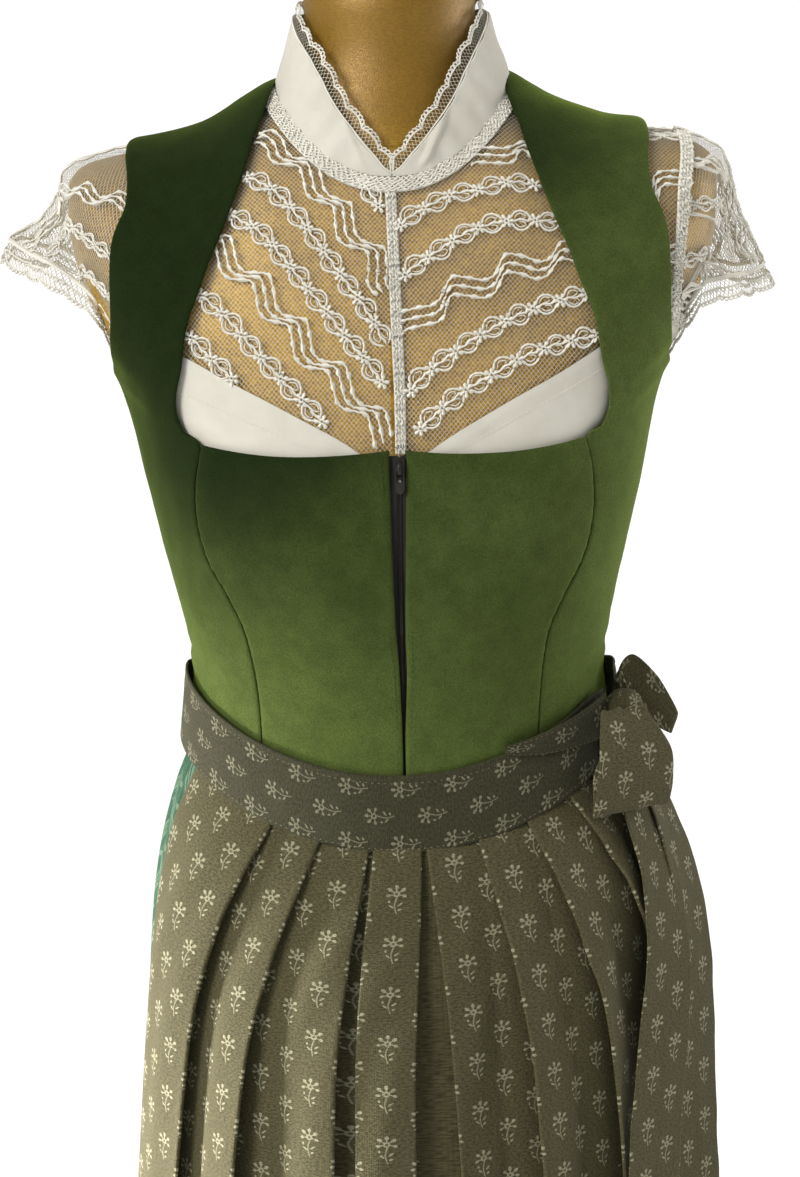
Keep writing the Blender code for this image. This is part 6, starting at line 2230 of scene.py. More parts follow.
# ---------------------------------------------------------------- the bow
@dataclass
class Bow:
    """The bow on the wearer's left: a knot, two loops and two long tails."""

    wardrobe: Wardrobe
    angle: float = 69.0
    level: float = 11.10
    stand: float = 0.0165
    sag: float = 0.0075
    wall: float = 0.0017
    rim: float = 0.0016
    knot_radii: tuple = (0.0110, 0.0145, 0.0130)
    # from the knot's middle to the wearer's left, back and up, and half the width
    front_loop: tuple = (
        (0.0020, -0.0120, 0.0005, 0.0105), (-0.0015, -0.0205, 0.0065, 0.0160),
        (-0.0025, -0.0295, 0.0045, 0.0172),
        (0.0010, -0.0340, -0.0070, 0.0222), (0.0040, -0.0355, -0.0200, 0.0262),
        (0.0035, -0.0355, -0.0370, 0.0275),
        (0.0020, -0.0340, -0.0500, 0.0275), (0.0015, -0.0295, -0.0545, 0.0272),
        (0.0010, -0.0250, -0.0480, 0.0262),
        (0.0005, -0.0200, -0.0300, 0.0235), (0.0010, -0.0130, -0.0150, 0.0120),
    )
    rear_loop: tuple = (
        (0.0020, 0.0070, 0.0000, 0.0070), (-0.0040, 0.0120, 0.0125, 0.0110), (0.0030, 0.0150, 0.0175, 0.0135),
        (0.0170, 0.0170, 0.0050, 0.0130), (0.0270, 0.0190, -0.0080, 0.0105),
        (0.0335, 0.0210, -0.0160, 0.0070),
        (0.0310, 0.0260, -0.0160, 0.0065), (0.0230, 0.0280, -0.0080, 0.0085),
        (0.0130, 0.0270, 0.0000, 0.0090), (0.0040, 0.0220, 0.0000, 0.0070),
    )
    # out of the knot's middle, back, up, half the width
    front_start: tuple = ((0.0005, -0.0045, -0.0132, 0.0055), (-0.0020, -0.0030, -0.0230, 0.0080))
    rear_start: tuple = ((-0.0015, 0.0070, -0.0131, 0.0055), (-0.0035, 0.0150, -0.0220, 0.0075))
    # angle, level, lift, half the width, turn
    front_tail: tuple = (
        (69.0, 0.25, 0.0125, 0.0110, 0.0), (67.0, 0.60, 0.0130, 0.0190, 0.0),
        (64.5, 1.50, 0.0170, 0.0215, 0.0),
        (59.5, 2.40, 0.0225, 0.0215, 8.0), (54.0, 3.00, 0.0250, 0.0215, 12.0),
        (47.0, 3.60, 0.0265, 0.0215, 6.0),
        (44.0, 4.40, 0.0290, 0.0215, 0.0), (43.0, 5.30, 0.0320, 0.0215, -3.0),
    )
    rear_tail: tuple = (
        (77.0, 0.25, 0.0130, 0.0100, 0.0), (77.0, 0.80, 0.0145, 0.0180, 0.0),
        (75.0, 1.60, 0.0200, 0.0215, 4.0),
        (70.0, 2.50, 0.0260, 0.0215, 11.0), (63.0, 3.30, 0.0275, 0.0215, 15.0),
        (59.0, 3.85, 0.0280, 0.0215, 15.0),
        (57.5, 4.40, 0.0295, 0.0215, 12.0), (56.5, 5.00, 0.0315, 0.0215, 8.0),
    )

    def knot_frame(self) -> tuple[Array, Array, Array]:
        """The knot's middle, the way out of the body there, and the way round it towards the back."""
        middle = TORSO_SURFACE.point(self.angle, self.level, LAYERS.band + self.stand) - (0.0, 0.0, self.sag)
        out = unit(TORSO_SURFACE.normal(np.float64(self.angle), np.float64(self.level)) * (1, 1, 0))
        return middle, out, np.array((-out[1], out[0], 0.0))

    def ribbon(self, name: str, node: str, spine: Array, across: Array, half: Array, pinch: Array,
               seed: float) -> None:
        """A tie of doubled cloth along a spine, gathered where it is pinched.

        Args:
            name: the piece's name.
            node: the node in the frame that it stands for.
            spine: its middle line.
            across: the way across it at each point.
            half: half its width at each point.
            pinch: from 1 where it is gathered tight to 0 where it is free.
            seed: a number that sets its creases apart from the others'.
        """
        across = unit(across)
        run = np.gradient(spine, axis=0)
        facing = unit(np.cross(across, run))
        share = marks(2.0, 40, 0.03) - 1.0
        crease = np.sin(share * 9.0 + seed) + 0.5 * np.sin(share * 17.0 + 2 * seed)
        crease = crease[None] * pinch[:, None] * 0.0012
        place = spine[:, None] + across[:, None] * (half[:, None] * share[None])[..., None]
        soft = 0.0009 * wander(place, 0.075, seed) + 0.0004 * wander(place, 0.026, seed + 4)
        calm = np.clip(1 - pinch, 0.2, 1)[:, None]
        middle = place + facing[:, None] * (crease + soft * calm)[..., None]
        walls = thickened(middle, self.wall, self.rim, facing[:, None])
        made = self.wardrobe.dress(shell(name, walls, cloth_map(place), 75), "sprigged_jacquard", node)
        rows = Strands()
        for edge in (0.90, -0.90):
            near = int(np.argmin(np.abs(share - edge)))
            stitches(rows, walls[0][:, near], facing, 0.0026, 0.0011, 0.00018)
        thread = self.wardrobe.dress(rows.made(name + "_stitches"), "taupe_stitching")
        declare(made, place)

    def loop(self, name: str, node: str, table: tuple, across: tuple, seed: float) -> None:
        """One loop of the bow.

        Args:
            name: the piece's name.
            node: the frame's node that it stands for.
            table: its course from the knot, and half its width.
            across: the way across it.
            seed: a number that sets its creases apart.
        """
        middle = self.knot_frame()[0]
        rows = smooth_curve(table, 72)
        spine = middle + rows[:, :3]
        share = np.linspace(0, 1, len(rows))
        pinch = np.clip(1 - np.minimum(share, 1 - share) / 0.22, 0, 1)
        self.ribbon(name, node, spine, np.tile(across, (len(rows), 1)), rows[:, 3], pinch, seed)

    def tail(self, name: str, node: str, start: tuple, table: tuple, seed: float) -> None:
        """One hanging tail.

        Args:
            name: the piece's name.
            node: the frame's node that it stands for.
            start: its first points from the knot, and half its width.
            table: its course down the skirt.
            seed: a number that sets its creases apart.
        """
        rows = smooth_curve(table, 15)
        depth = HANGING_SURFACE.at(rows[:, 1])[:, 7]
        spine = HANGING_SURFACE.point(rows[:, 0], rows[:, 1], depth + rows[:, 2])
        out = unit(HANGING_SURFACE.normal(rows[:, 0], rows[:, 1]) * (1, 1, 0))
        tangent = np.stack([-out[:, 1], out[:, 0], np.zeros(len(rows))], 1)
        turn = np.radians(rows[:, 4])[:, None]
        across = tangent * np.cos(turn) + out * np.sin(turn)
        middle, ahead, back = self.knot_frame()
        first = np.array(start)
        knotted = middle + first[:, :1] * ahead + first[:, 1:2] * back + first[:, 2:3] * (0.0, 0.0, 1.0)
        whole = np.concatenate([np.vstack([knotted, spine]),
                                np.vstack([np.tile(back, (len(first), 1)), across]),
                                np.concatenate([first[:, 3], rows[:, 3]])[:, None]], 1)
        fine = smooth_curve(whole, 104, (1, 1, 1, 0, 0, 0, 0))
        pinch = np.clip(1 - np.linspace(0, 1, len(fine)) / 0.12, 0, 1)
        self.ribbon(name, node, fine[:, :3], fine[:, 3:6], fine[:, 6], pinch, seed)

    def knot(self) -> None:
        """The knot: cloth drawn round the ends in folds that run over it."""
        middle, out, back = self.knot_frame()
        rows, columns = 60, 84
        latitude = np.linspace(0.04, math.pi - 0.04, rows)[:, None]
        turn = (np.arange(columns) * 2 * math.pi / columns)[None]
        folds = (0.060 * np.sin(turn * 4 + 0.8 + 0.6 * np.cos(latitude)) + 0.035 * np.sin(turn * 9 + 2.1)
                 - 0.10 * np.exp(-((turn - 0.35) / 0.10) ** 2) - 0.08 * np.exp(-((turn - 5.6) / 0.12) ** 2))
        size = 0.98 + folds * np.sin(latitude) ** 0.7
        waist = 1 - 0.06 * np.cos(latitude * 2)
        x = self.knot_radii[0] * np.sin(latitude) ** 0.8 * np.cos(turn) * size * waist
        y = self.knot_radii[1] * np.sin(latitude) ** 0.8 * np.sin(turn) * size * waist
        z = np.broadcast_to(self.knot_radii[2] * np.cos(latitude) * 0.99, x.shape)
        grid = middle + x[..., None] * out + y[..., None] * back + z[..., None] * (0.0, 0.0, 1.0)
        grid = grid + unit(grid - middle) * (0.0004 * wander(grid, 0.012, 1.9))[..., None]
        flat = np.stack(np.broadcast_arrays(turn * 0.0125, latitude * 0.0130), -1).reshape(-1, 2)
        flat = np.concatenate([flat, [(0, 0), (0, 0.04)]])
        made = mesh_object("bow_knot_wrap", *capped(grid), flat, 75)
        self.wardrobe.dress(made, "sprigged_jacquard", "bow_knot")

    def build(self) -> None:
        """Builds the knot, the loops and the tails."""
        self.knot()
        self.loop("front_loop_of_the_bow", "bow_loop_front", self.front_loop, (0.883, 0.469, 0.0), 1.3)
        self.loop("rear_loop_of_the_bow", "bow_loop_rear", self.rear_loop, (0.32, 0.06, 0.94), 4.1)
        self.tail("front_tail_of_the_bow", "bow_tail_front", self.front_start, self.front_tail, 2.6)
        self.tail("rear_tail_of_the_bow", "bow_tail_rear", self.rear_start, self.rear_tail, 6.2)


# ---------------------------------------------------------------- the blouse
@dataclass(frozen=True)
class NeckSeam:
    """Where the collar meets the yoke: a level for each angle."""

    course: tuple = ((-180.0, 2.25), (-120.0, 2.32), (-67.0, 2.39), (-38.0, 2.36), (-12.0, 2.26), (2.5, 2.24),
                     (17.0, 2.34), (28.0, 2.42), (40.0, 2.49), (50.0, 2.54), (60.0, 2.56), (90.0, 2.50),
                     (130.0, 2.36), (180.0, 2.25))

    def level(self, angle: Array) -> Array:
        """The seam's level at an angle."""
        places = np.linspace(-180, 180, 181)
        levels = smoothed(np.interp(places, *np.array(self.course).T), 2.2, 6, "wrap")
        return np.interp((np.asarray(angle, float) + 180) % 360 - 180, places, levels)


@dataclass(frozen=True)
class CollarSurface:
    """The collar's inside. An angle runs round it and a height up from its seam, in metres."""

    seam: NeckSeam
    top_z: float = 1.545
    stand: float = 0.0020

    def point(self, angle: Array, height: Array, offset: Array | float = 0.0) -> Array:
        """Points of the collar, moved out from the neck.

        Args:
            angle: degrees round the neck.
            height: metres up from the seam.
            offset: metres out of the collar.

        Returns:
            The points.
        """
        angle, height = np.broadcast_arrays(np.asarray(angle, float), np.asarray(height, float))
        low = TORSO_SURFACE.point(angle, self.seam.level(angle), LAYERS.blouse)
        top = TORSO_SURFACE.point(angle, np.full(angle.shape, 0.15), self.stand)
        top[..., 2] = self.top_z
        share = np.clip(height / (top[..., 2] - low[..., 2]), -0.2, 1.3)[..., None]
        turn = np.radians(angle)
        out = np.stack([np.sin(turn), -np.cos(turn), np.full(angle.shape, 0.25)], -1)
        return low * (1 - share) + top * share + unit(out) * np.asarray(offset)[..., None]


@dataclass(frozen=True)
class SleeveCut:
    """One sleeve: its armhole's size, its outer side from shoulder to edging, and its hem's front half.

    The armhole is scaled round the arm's middle, across and up. The cap's scales belong to the next rings.
    """

    hole: tuple[float, float]
    cap: tuple[float, float, float]
    outer_side: tuple
    hem: tuple
    fall: tuple[float, float]


@dataclass
class Blouse:
    """The lace blouse: standing collar, net yoke, cotton fronts, net back and short flared sleeves."""

    wardrobe: Wardrobe
    net_height: float = 0.0022
    thick: float = 0.0005
    rim: float = 0.0012
    neck_seam: NeckSeam = NeckSeam()
    hem_level: float = 9.70
    density: float = 1.5
    front_gap: float = 2.3
    collar_heights: tuple = ((0.0, 0.0012), (5.0, 0.0050), (9.0, 0.0100), (15.0, 0.0158), (22.4, 0.0230),
                             (33.0, 0.0310), (41.0, 0.0372), (50.0, 0.0394), (65.0, 0.0388), (90.0, 0.0395),
                             (180.0, 0.0420))
    collar_lace: float = 0.0068
    scallop: float = 0.0158
    yoke_seam: tuple = ((0.3, 7.60), (8.7, 6.92), (21.5, 6.50), (37.0, 6.47), (58.3, 6.55))
    hole: tuple = ((90.0, 7.55), (72.0, 7.38), (61.5, 7.05), (58.3, 6.55), (60.0, 6.05), (69.0, 5.66),
                   (90.0, 5.42), (111.0, 5.66), (120.0, 6.05), (122.0, 6.55), (118.5, 7.05), (108.0, 7.38))
    arm_middle: tuple = (90.0, 6.42)
    cuts: dict = field(default_factory=lambda: {
        "left": SleeveCut((0.96, 0.96), (0.806, 0.620, 0.288),
                          ((0.1720, 1.4678), (0.1945, 1.4588), (0.2035, 1.4460), (0.2110, 1.4215)),
                          ((0.1680, 0.0, 1.3400), (0.1705, -0.030, 1.3531), (0.1725, -0.041, 1.3617),
                           (0.1770, -0.047, 1.3713), (0.1851, -0.046, 1.3823), (0.1959, -0.040, 1.3842),
                           (0.2078, -0.030, 1.3851), (0.2170, -0.018, 1.3864), (0.2265, 0.0, 1.3890)),
                           (0.50, -0.86)),
        "right": SleeveCut((1.48, 1.75), (1.110, 0.620, 0.384),
                           ((-0.1717, 1.4600), (-0.1913, 1.4522), (-0.1972, 1.4385), (-0.2110, 1.4225)),
                           ((-0.1640, 0.0, 1.3400), (-0.1665, -0.030, 1.3527), (-0.1695, -0.041, 1.3676),
                            (-0.1755, -0.046, 1.3821), (-0.1851, -0.044, 1.3916), (-0.2003, -0.036, 1.4010),
                            (-0.2168, -0.020, 1.4078), (-0.2290, 0.0, 1.4125)), (0.42, -0.90)),
    })
    edging_drop: float = 0.0140
    # angle, and levels above the band's middle
    back_band: tuple = ((179.0, 0.0), (165.0, 0.12), (148.0, 0.30), (130.0, 0.42), (112.0, 0.46),
                        (98.0, 0.42))
    sleeve_bands: int = 13
    front_bands: dict = field(default_factory=lambda: {
        "left": (
            (Motif.WAVE, ((35.5, 2.76), (42.9, 2.95), (47.2, 3.06), (51.7, 3.22), (55.0, 3.63))),
            (Motif.CHAIN, ((2.3, 3.10), (7.8, 2.94), (16.5, 2.89), (25.1, 2.95), (31.0, 3.13), (39.5, 3.41),
                           (48.6, 3.82))),
            (Motif.CHAIN, ((2.5, 3.89), (7.2, 3.70), (14.3, 3.59), (21.3, 3.55), (28.1, 3.66), (33.9, 3.87),
                           (40.0, 4.11), (45.0, 4.36))),
            (Motif.WAVE, ((2.0, 4.72), (8.9, 4.40), (15.6, 4.30), (27.4, 4.41), (34.5, 4.62), (41.5, 4.90))),
            (Motif.CHAIN, ((2.5, 5.98), (4.6, 5.65), (8.9, 5.36), (13.9, 5.17), (18.7, 5.09), (23.9, 5.09),
                           (29.0, 5.17), (33.3, 5.33), (38.4, 5.59))),
            (Motif.CHAIN, ((3.7, 6.73), (8.0, 6.30), (12.3, 6.03), (16.7, 5.92), (21.1, 5.84), (25.7, 5.88),
                           (30.2, 6.00), (38.1, 6.31))),
        ),
        "right": (
            (Motif.WAVE, ((-56.7, 3.02), (-48.7, 2.82), (-37.2, 2.78), (-25.7, 2.82), (-17.1, 3.05),
                          (-8.8, 3.32), (-3.3, 3.69), (-0.4, 4.04))),
            (Motif.CHAIN, ((-14.6, 2.37), (-10.7, 2.46), (-5.6, 2.63), (-1.0, 2.95))),
            (Motif.CHAIN, ((-50.8, 3.48), (-46.6, 3.41), (-40.8, 3.36), (-34.2, 3.36), (-25.8, 3.47),
                           (-17.5, 3.70), (-9.8, 4.07), (-4.6, 4.45), (-0.8, 4.95))),
            (Motif.CHAIN, ((-47.5, 4.00), (-42.4, 3.96), (-34.6, 3.96), (-28.4, 4.05), (-22.5, 4.19),
                           (-15.8, 4.44), (-10.6, 4.75), (-5.4, 5.17), (-2.1, 5.61), (-0.8, 5.95))),
            (Motif.WAVE, ((-44.5, 4.47), (-35.2, 4.58), (-26.9, 4.72), (-20.3, 4.97), (-12.9, 5.42),
                          (-7.1, 5.93), (-3.8, 6.39), (-0.8, 6.80))),
            (Motif.CHAIN, ((-38.8, 5.39), (-35.4, 5.37), (-30.1, 5.44), (-25.1, 5.63), (-20.8, 5.86),
                           (-16.5, 6.14), (-13.0, 6.46), (-9.7, 6.85))),
            (Motif.CHAIN, ((-36.6, 6.06), (-34.0, 6.13), (-29.1, 6.30), (-25.4, 6.44))),
        ),
    })

    # -- collar
    def collar(self) -> None:
        """Two cotton halves, each with its lace edging."""
        surface = CollarSurface(self.neck_seam)
        for side, turn in SIDES:
            spread = marks(179.8, 150, 0.008)
            angles = self.front_gap + turn * (0.12 + spread)
            top = np.interp(spread, *np.array(self.collar_heights).T) + 0.0004 * np.sin(spread / 7.0)
            top = top - 0.0008 * (turn > 0) * ease(spread, 25, 60)
            share = marks(1.0, 22, 0.03)[:, None]
            height = top[None] * share
            angle = np.broadcast_to(angles[None], height.shape)
            base = surface.point(angle, height)
            soft = 0.0007 * wander(base, 0.045, 8.8 + turn) + 0.0003 * wander(base, 0.017, 1.2)
            slant = np.sin((base[..., 2] * 0.8 + spread[None] * 0.0011) * 2 * math.pi / 0.020)
            soft = soft + 0.0007 * slant * np.exp(-((spread[None] - 38) / 26) ** 2)
            pinch = np.exp(-((spread[None] - 13.0 - height * 500) / 2.2) ** 2) * ease(height, 0.001, 0.008)
            soft = soft + (0.0022 if turn > 0 else 0.0008) * pinch + 0.0010 * (turn > 0)
            middle = surface.point(angle, height, 0.0010 + soft)
            out = unit(middle - surface.point(angle, height, -0.01))
            walls = thickened(middle, self.thick * 2.0, self.rim, out)
            made = shell("cotton_collar_" + side, walls, cloth_map(middle), 70)
            self.wardrobe.dress(made, "white_cotton", "collar_" + side)
            self.edging(side, surface, angles, top)
            declare(made, middle)

    def edging(self, side: str, surface: CollarSurface, angles: Array,
               top: Array) -> None:
        """The scalloped net edging along the collar's top edge.

        Args:
            side: the wearer's side.
            surface: what the collar lies on.
            angles: the angles of the half's columns.
            top: the half's height at each.
        """
        keep = slice(1, None, 2)
        line = np.stack([angles[keep], top[keep]], 1)
        path = BandPath(surface, line, 0.0010, (0.00098, 1.0), 420)
        count = 520
        run = np.linspace(0, path.length, count)
        bow = np.abs(np.sin(run * math.pi / self.scallop)) ** 0.6
        start = np.clip(run / 0.006, 0.15, 1)
        reach = (self.collar_lace - 0.0024 + 0.0024 * bow) * start
        share = np.linspace(0, 1, 9)[:, None]
        spot = run[200:201]
        sign = 1.0 if path.at(spot, np.array([0.001]))[0, 2] > path.at(spot, np.zeros(1))[0, 2] else -1.0
        wave = 0.0007 * np.sin(run * 2 * math.pi / 0.023)[None] * share - 0.0010 * share

        def at(width: Array, lift: Array) -> Array:
            """Points of the edging at a width and a lift."""
            return path.at(np.broadcast_to(run[None], width.shape).ravel(), sign * width.ravel(),
                           np.broadcast_to(lift, width.shape).ravel()).reshape(*width.shape, 3)

        width = -0.0012 + (reach + 0.0012)[None] * share
        grid = at(width, wave)
        name = "collar_edging_" + side
        flat = np.stack([np.broadcast_to(run[None], width.shape), width], -1)
        made = self.wardrobe.dress(sheet_object(name, grid, flat), "white_net", "collar_lace_" + side)
        declare(made, grid)
        rows = Strands()
        LACE.picots(rows, grid[-1], unit(grid[-1] - grid[-2]), 0.0028, 0.00125)
        rows.cord(at(np.zeros((1, count)) + 0.0004, np.zeros((1, 1)) + 0.0003)[0], LACE.thread * 0.9, 4)
        self.finished(name + "_picots", rows)

    # -- body
    def hole_of(self, side: str, scale: float = 1.0) -> Array:
        """The armhole's corners on one side, as on the wearer's left.

        Args:
            side: the wearer's side.
            scale: its size for its own size.

        Returns:
            Angle and level of each corner.
        """
        middle = np.array(self.arm_middle)
        return middle + (np.array(self.hole) - middle) * self.cuts[side].hole * scale

    def grids(self, side: str, turn: int) -> dict[str, Array]:
        """The coarse grids of the body's panels on one side, with angles as on the wearer's left.

        Args:
            side: the wearer's side.
            turn: 1 for the left and -1 for the right.

        Returns:
            The yoke, the front and the back.
        """
        hole = self.hole_of(side)
        seam = drawn_curve(np.vstack([self.yoke_seam[:-1], hole[3:4]]), 8)
        hole_yoke = drawn_curve(hole[3:7], 7)
        neck = straight((0.3, 0.0), (90.0, 0.0), 8)
        neck[:, 1] = self.neck_seam.level(turn * neck[:, 0])
        shoulder = straight(hole[6], neck[-1], 9, self.density)
        outer_edge = np.concatenate([hole_yoke, shoulder[1:]])
        middle = straight(self.yoke_seam[0], neck[0], len(outer_edge), self.density)
        side = straight((90.0, self.hem_level), hole[0], 5)
        front_edge = np.concatenate([side, drawn_curve(hole[:4], 5)[1:]])
        low_middle = straight((0.3, self.hem_level), self.yoke_seam[0], len(front_edge))
        back_hole = drawn_curve(np.concatenate([hole[:1], hole[:5:-1]]), 9)
        back_edge = np.concatenate([side, back_hole[1:], shoulder[1:]])
        back_neck = straight((90.0, 0.0), (180.0, 0.0), 7)
        back_neck[:, 1] = self.neck_seam.level(turn * back_neck[:, 0])
        back_middle = straight((180.0, self.hem_level), back_neck[-1], len(back_edge), self.density)
        return {"yoke": patch(middle, outer_edge, seam, neck, 8),
                "blouse_front": patch(low_middle, front_edge, None, seam, 8),
                "blouse_back": patch(back_edge, back_middle, None, back_neck, 7)}

    def body(self) -> None:
        """The net yoke and back, and the cotton fronts."""
        for side, turn in SIDES:
            for part, grid in self.grids(side, turn).items():
                fine = refined(grid * (turn, 1), np.linspace(0, len(grid) - 1, 46),
                               np.linspace(0, grid.shape[1] - 1, 38))
                base, out = TORSO_SURFACE.on(fine), TORSO_SURFACE.normals(fine)
                soft = 0.0003 * wander(base, 0.05, 2.2)
                flat = hung_map(base)
                if part == "blouse_front":
                    run = run_along(base)
                    from_seam = run[-1:] - run
                    crease = 0.0006 * wander(base, 0.024, 5.0 + turn) * ease(from_seam, 0.004, 0.02)
                    fold = 0.0005 * (1 - ease(from_seam, 0.0062, 0.0072))
                    middle = base + out * (LAYERS.blouse + 0.0006 + soft + crease + fold)[..., None]
                    walls = thickened(middle, self.thick, self.rim, out)
                    made = shell("cotton_front_" + side, walls, flat)
                    rows = Strands()
                    along = spline(fine[::-1], np.array([4.4]))[0]
                    stitch_row(rows, along, LAYERS.blouse + 0.0014, 0.0024, 0.0009, 0.00017)
                    self.finished("cotton_front_stitching_" + side, rows)
                    finish = "white_cotton"
                else:
                    middle = base + out * (self.net_height + soft)[..., None]
                    made = sheet_object(("net_yoke_" if part == "yoke" else "net_back_") + side, middle, flat)
                    finish = "white_net"
                self.wardrobe.dress(made, finish, f"{part}_{side}")
                declare(made, middle)

    # -- sleeves
    @staticmethod
    def hole_ring(corners: Array, count: int) -> Array:
        """An armhole as a ring of points, the lowest first.

        Args:
            corners: the hole's corners.
            count: how many points the ring has.

        Returns:
            Angle and level of each point.
        """
        corners = np.concatenate([corners, corners[:1]])
        spots = np.linspace(0, len(corners) - 1, count, endpoint=False)
        return at_run(spots, np.arange(len(corners)), corners)

    def sleeve_rings(self, side: str, turn: int, count: int) -> Array:
        """A sleeve's inside as rings from the armhole to the end of the edging.

        Args:
            side: the wearer's side.
            turn: 1 for the left and -1 for the right.
            count: how many points a ring has.

        Returns:
            Seven rings; their first point is the lowest.
        """
        cut = self.cuts[side]
        way = np.linspace(0, 2 * math.pi, count, endpoint=False)[:, None]
        upper = (1 - np.cos(way)) / 2
        hole, bare = (self.hole_ring(corners, count) for corners in (self.hole_of(side), np.array(self.hole)))

        def around(ring: Array, scale: float, lift: float) -> Array:
            """A ring drawn in towards the arm's middle, at a height above the form."""
            loop = np.array(self.arm_middle) + (ring - self.arm_middle) * scale
            return TORSO_SURFACE.point(turn * loop[:, 0], loop[:, 1], lift)

        half = smooth_curve(cut.hem, count // 2 + 1)
        hem = np.concatenate([half, half[-2:0:-1] * (1, -0.9, 1)])
        rings = [around(hole, 0.985, LAYERS.blouse)]
        near = around(bare, max(cut.hole[0], 1.05), LAYERS.blouse + 0.001)
        for k, (share, scale, lift) in enumerate(zip((0.2, 0.42, 0.62), cut.cap, (0.003, 0.004, 0.005))):
            hang = near * (1 - share) + hem * share
            ring = around(bare, scale, lift) * upper + hang * (1 - upper)
            if k == 2:
                ring = ring * 0.62 + hem * 0.38
            rings.append(ring)
        rings.append(rings[-1] * 0.45 + hem * 0.55)
        for ring, target in zip(rings[1:], cut.outer_side):
            miss = np.array((target[0], 0.0, target[1])) - ring[count // 2]
            ring += miss * (1, 0, 1) * upper ** 3
        away = unit((hem - hem.mean(0)) * (1, 1, 0))
        fall = away * cut.fall[0] + (0.0, 0.0, cut.fall[1])
        return np.stack([*rings, hem, hem + fall * self.edging_drop])

    def sleeves(self) -> None:
        """Two flared net sleeves with scalloped edgings."""
        count = 200
        for side, turn in SIDES:
            coarse = self.sleeve_rings(side, turn, count)
            run = np.arange(count) * 2 * math.pi / count
            rows_at = np.linspace(0, 6, 66)
            body = spline(coarse, rows_at)
            away = unit(body - body.mean(1, keepdims=True))
            flute = np.cos(run * 9 + 0.8 * np.sin(run * 2 + turn))[None] * (0.7 - 0.3 * np.cos(run))[None]
            flute = flute * 0.0026 * ease(rows_at, 2.2, 5.6)[:, None]
            soft = 0.0006 + 0.0009 * wander(body, 0.03, 3.3) * ease(rows_at, 0.3, 1.5)[:, None]
            body = body + away * (flute + soft)[..., None]
            last = int(np.searchsorted(rows_at, 5.0)) + 1
            middle, lower = body[:last], body[last - 1:]
            made = sheet_object("net_sleeve_" + side, middle, sleeve_map(middle), True)
            self.wardrobe.dress(made, "sleeve_net", "sleeve_" + side)
            declare(made, middle, closed=True)
            self.sleeve_lace(side, middle)
            share = np.linspace(0, 1, len(lower))[:, None, None]
            scallop = (np.abs(np.sin(run * 10)) ** 0.6)[None, :, None]
            grid = lower[:1] + (lower - lower[:1]) * (0.80 + 0.20 * scallop)
            grid = grid + unit(lower[:1] - lower[:1].mean(1, keepdims=True)) * share * 0.0004
            made = sheet_object("sleeve_edging_net_" + side, grid, sleeve_map(grid), True)
            self.wardrobe.dress(made, "sleeve_net", "sleeve_edging_" + side)
            declare(made, grid, closed=True)
            rows = Strands()
            LACE.picots(rows, grid[-1], unit(grid[-1] - grid[-2]), 0.0029, 0.0012, True)
            for k, thick in ((0, 2.4), (len(grid) // 2, 0.8)):
                rows.cord(grid[k], LACE.thread * thick, 5, True)
            LACE.picots(rows, grid[len(grid) // 2], unit(grid[-1] - grid[-2]), 0.0044, 0.0013, True)
            self.finished("sleeve_edging_picots_" + side, rows)

    def torso_band(self, rows: Strands, line: Sequence, motif: Motif, start: float = 0.004) -> None:
        """One band of the lace on the yoke or the back.

        Args:
            rows: what it is added to.
            line: angle and level of points on its course.
            motif: its pattern.
            start: how far in its first star lies.
        """
        path = BandPath(TORSO_SURFACE, line, self.net_height + 0.0004, ON_TORSO)
        LACE.band(rows, path, motif, 1.0, start)

    def bands(self) -> None:
        """The lace's bands on the yoke and the back, and their short lengths by the armholes."""
        for side, table in self.front_bands.items():
            rows = Strands()
            for motif, line in table:
                self.torso_band(rows, line, motif)
            self.arm_bands(rows, side, dict(SIDES)[side])
            self.finished("lace_bands_" + side, rows)
        for side, turn in SIDES:
            rows = Strands()
            for k, motif in enumerate((Motif.WAVE, Motif.CHAIN, Motif.CHAIN, Motif.WAVE)):
                low = 3.02 + 0.52 * k
                line = [(turn * angle, low - rise) for angle, rise in self.back_band]
                self.torso_band(rows, [point for point in line if point[1] > 2.45], motif)
            self.finished("lace_bands_back_" + side, rows)

    def arm_bands(self, rows: Strands, side: str, turn: int) -> None:
        """The short lengths of the bands that show between the strap and the armhole.

        Args:
            rows: what they are added to.
            side: the wearer's side.
            turn: 1 for the left and -1 for the right.
        """
        hole = self.hole_of(side)
        ring = drawn_curve(hole[3:10], 25)
        middle = np.array(self.arm_middle)
        for k, spot in enumerate((2, 6, 10, 14, 18, 22) if self.cuts[side].hole[0] < 1.1 else ()):
            share = np.array([0.02, 0.25, 0.50, 0.75])[:, None]
            line = (ring[spot] + (ring[spot] - middle) * share) * (turn, 1)
            path = BandPath(TORSO_SURFACE, line, self.net_height + 0.0004, ON_TORSO)
            LACE.band(rows, path, (Motif.CHAIN, Motif.WAVE)[k % 2], 0.9, 0.001)

    def finished(self, name: str, rows: Strands, node: str = "") -> bpy.types.Object:
        """The mesh of some embroidery, braid or stitching, in the lace's cord.

        Args:
            name: the piece's name.
            rows: its cords.
            node: the frame's node that it replaces, if it replaces one.

        Returns:
            The piece.
        """
        return self.wardrobe.dress(rows.made(name), "lace_cord", node)

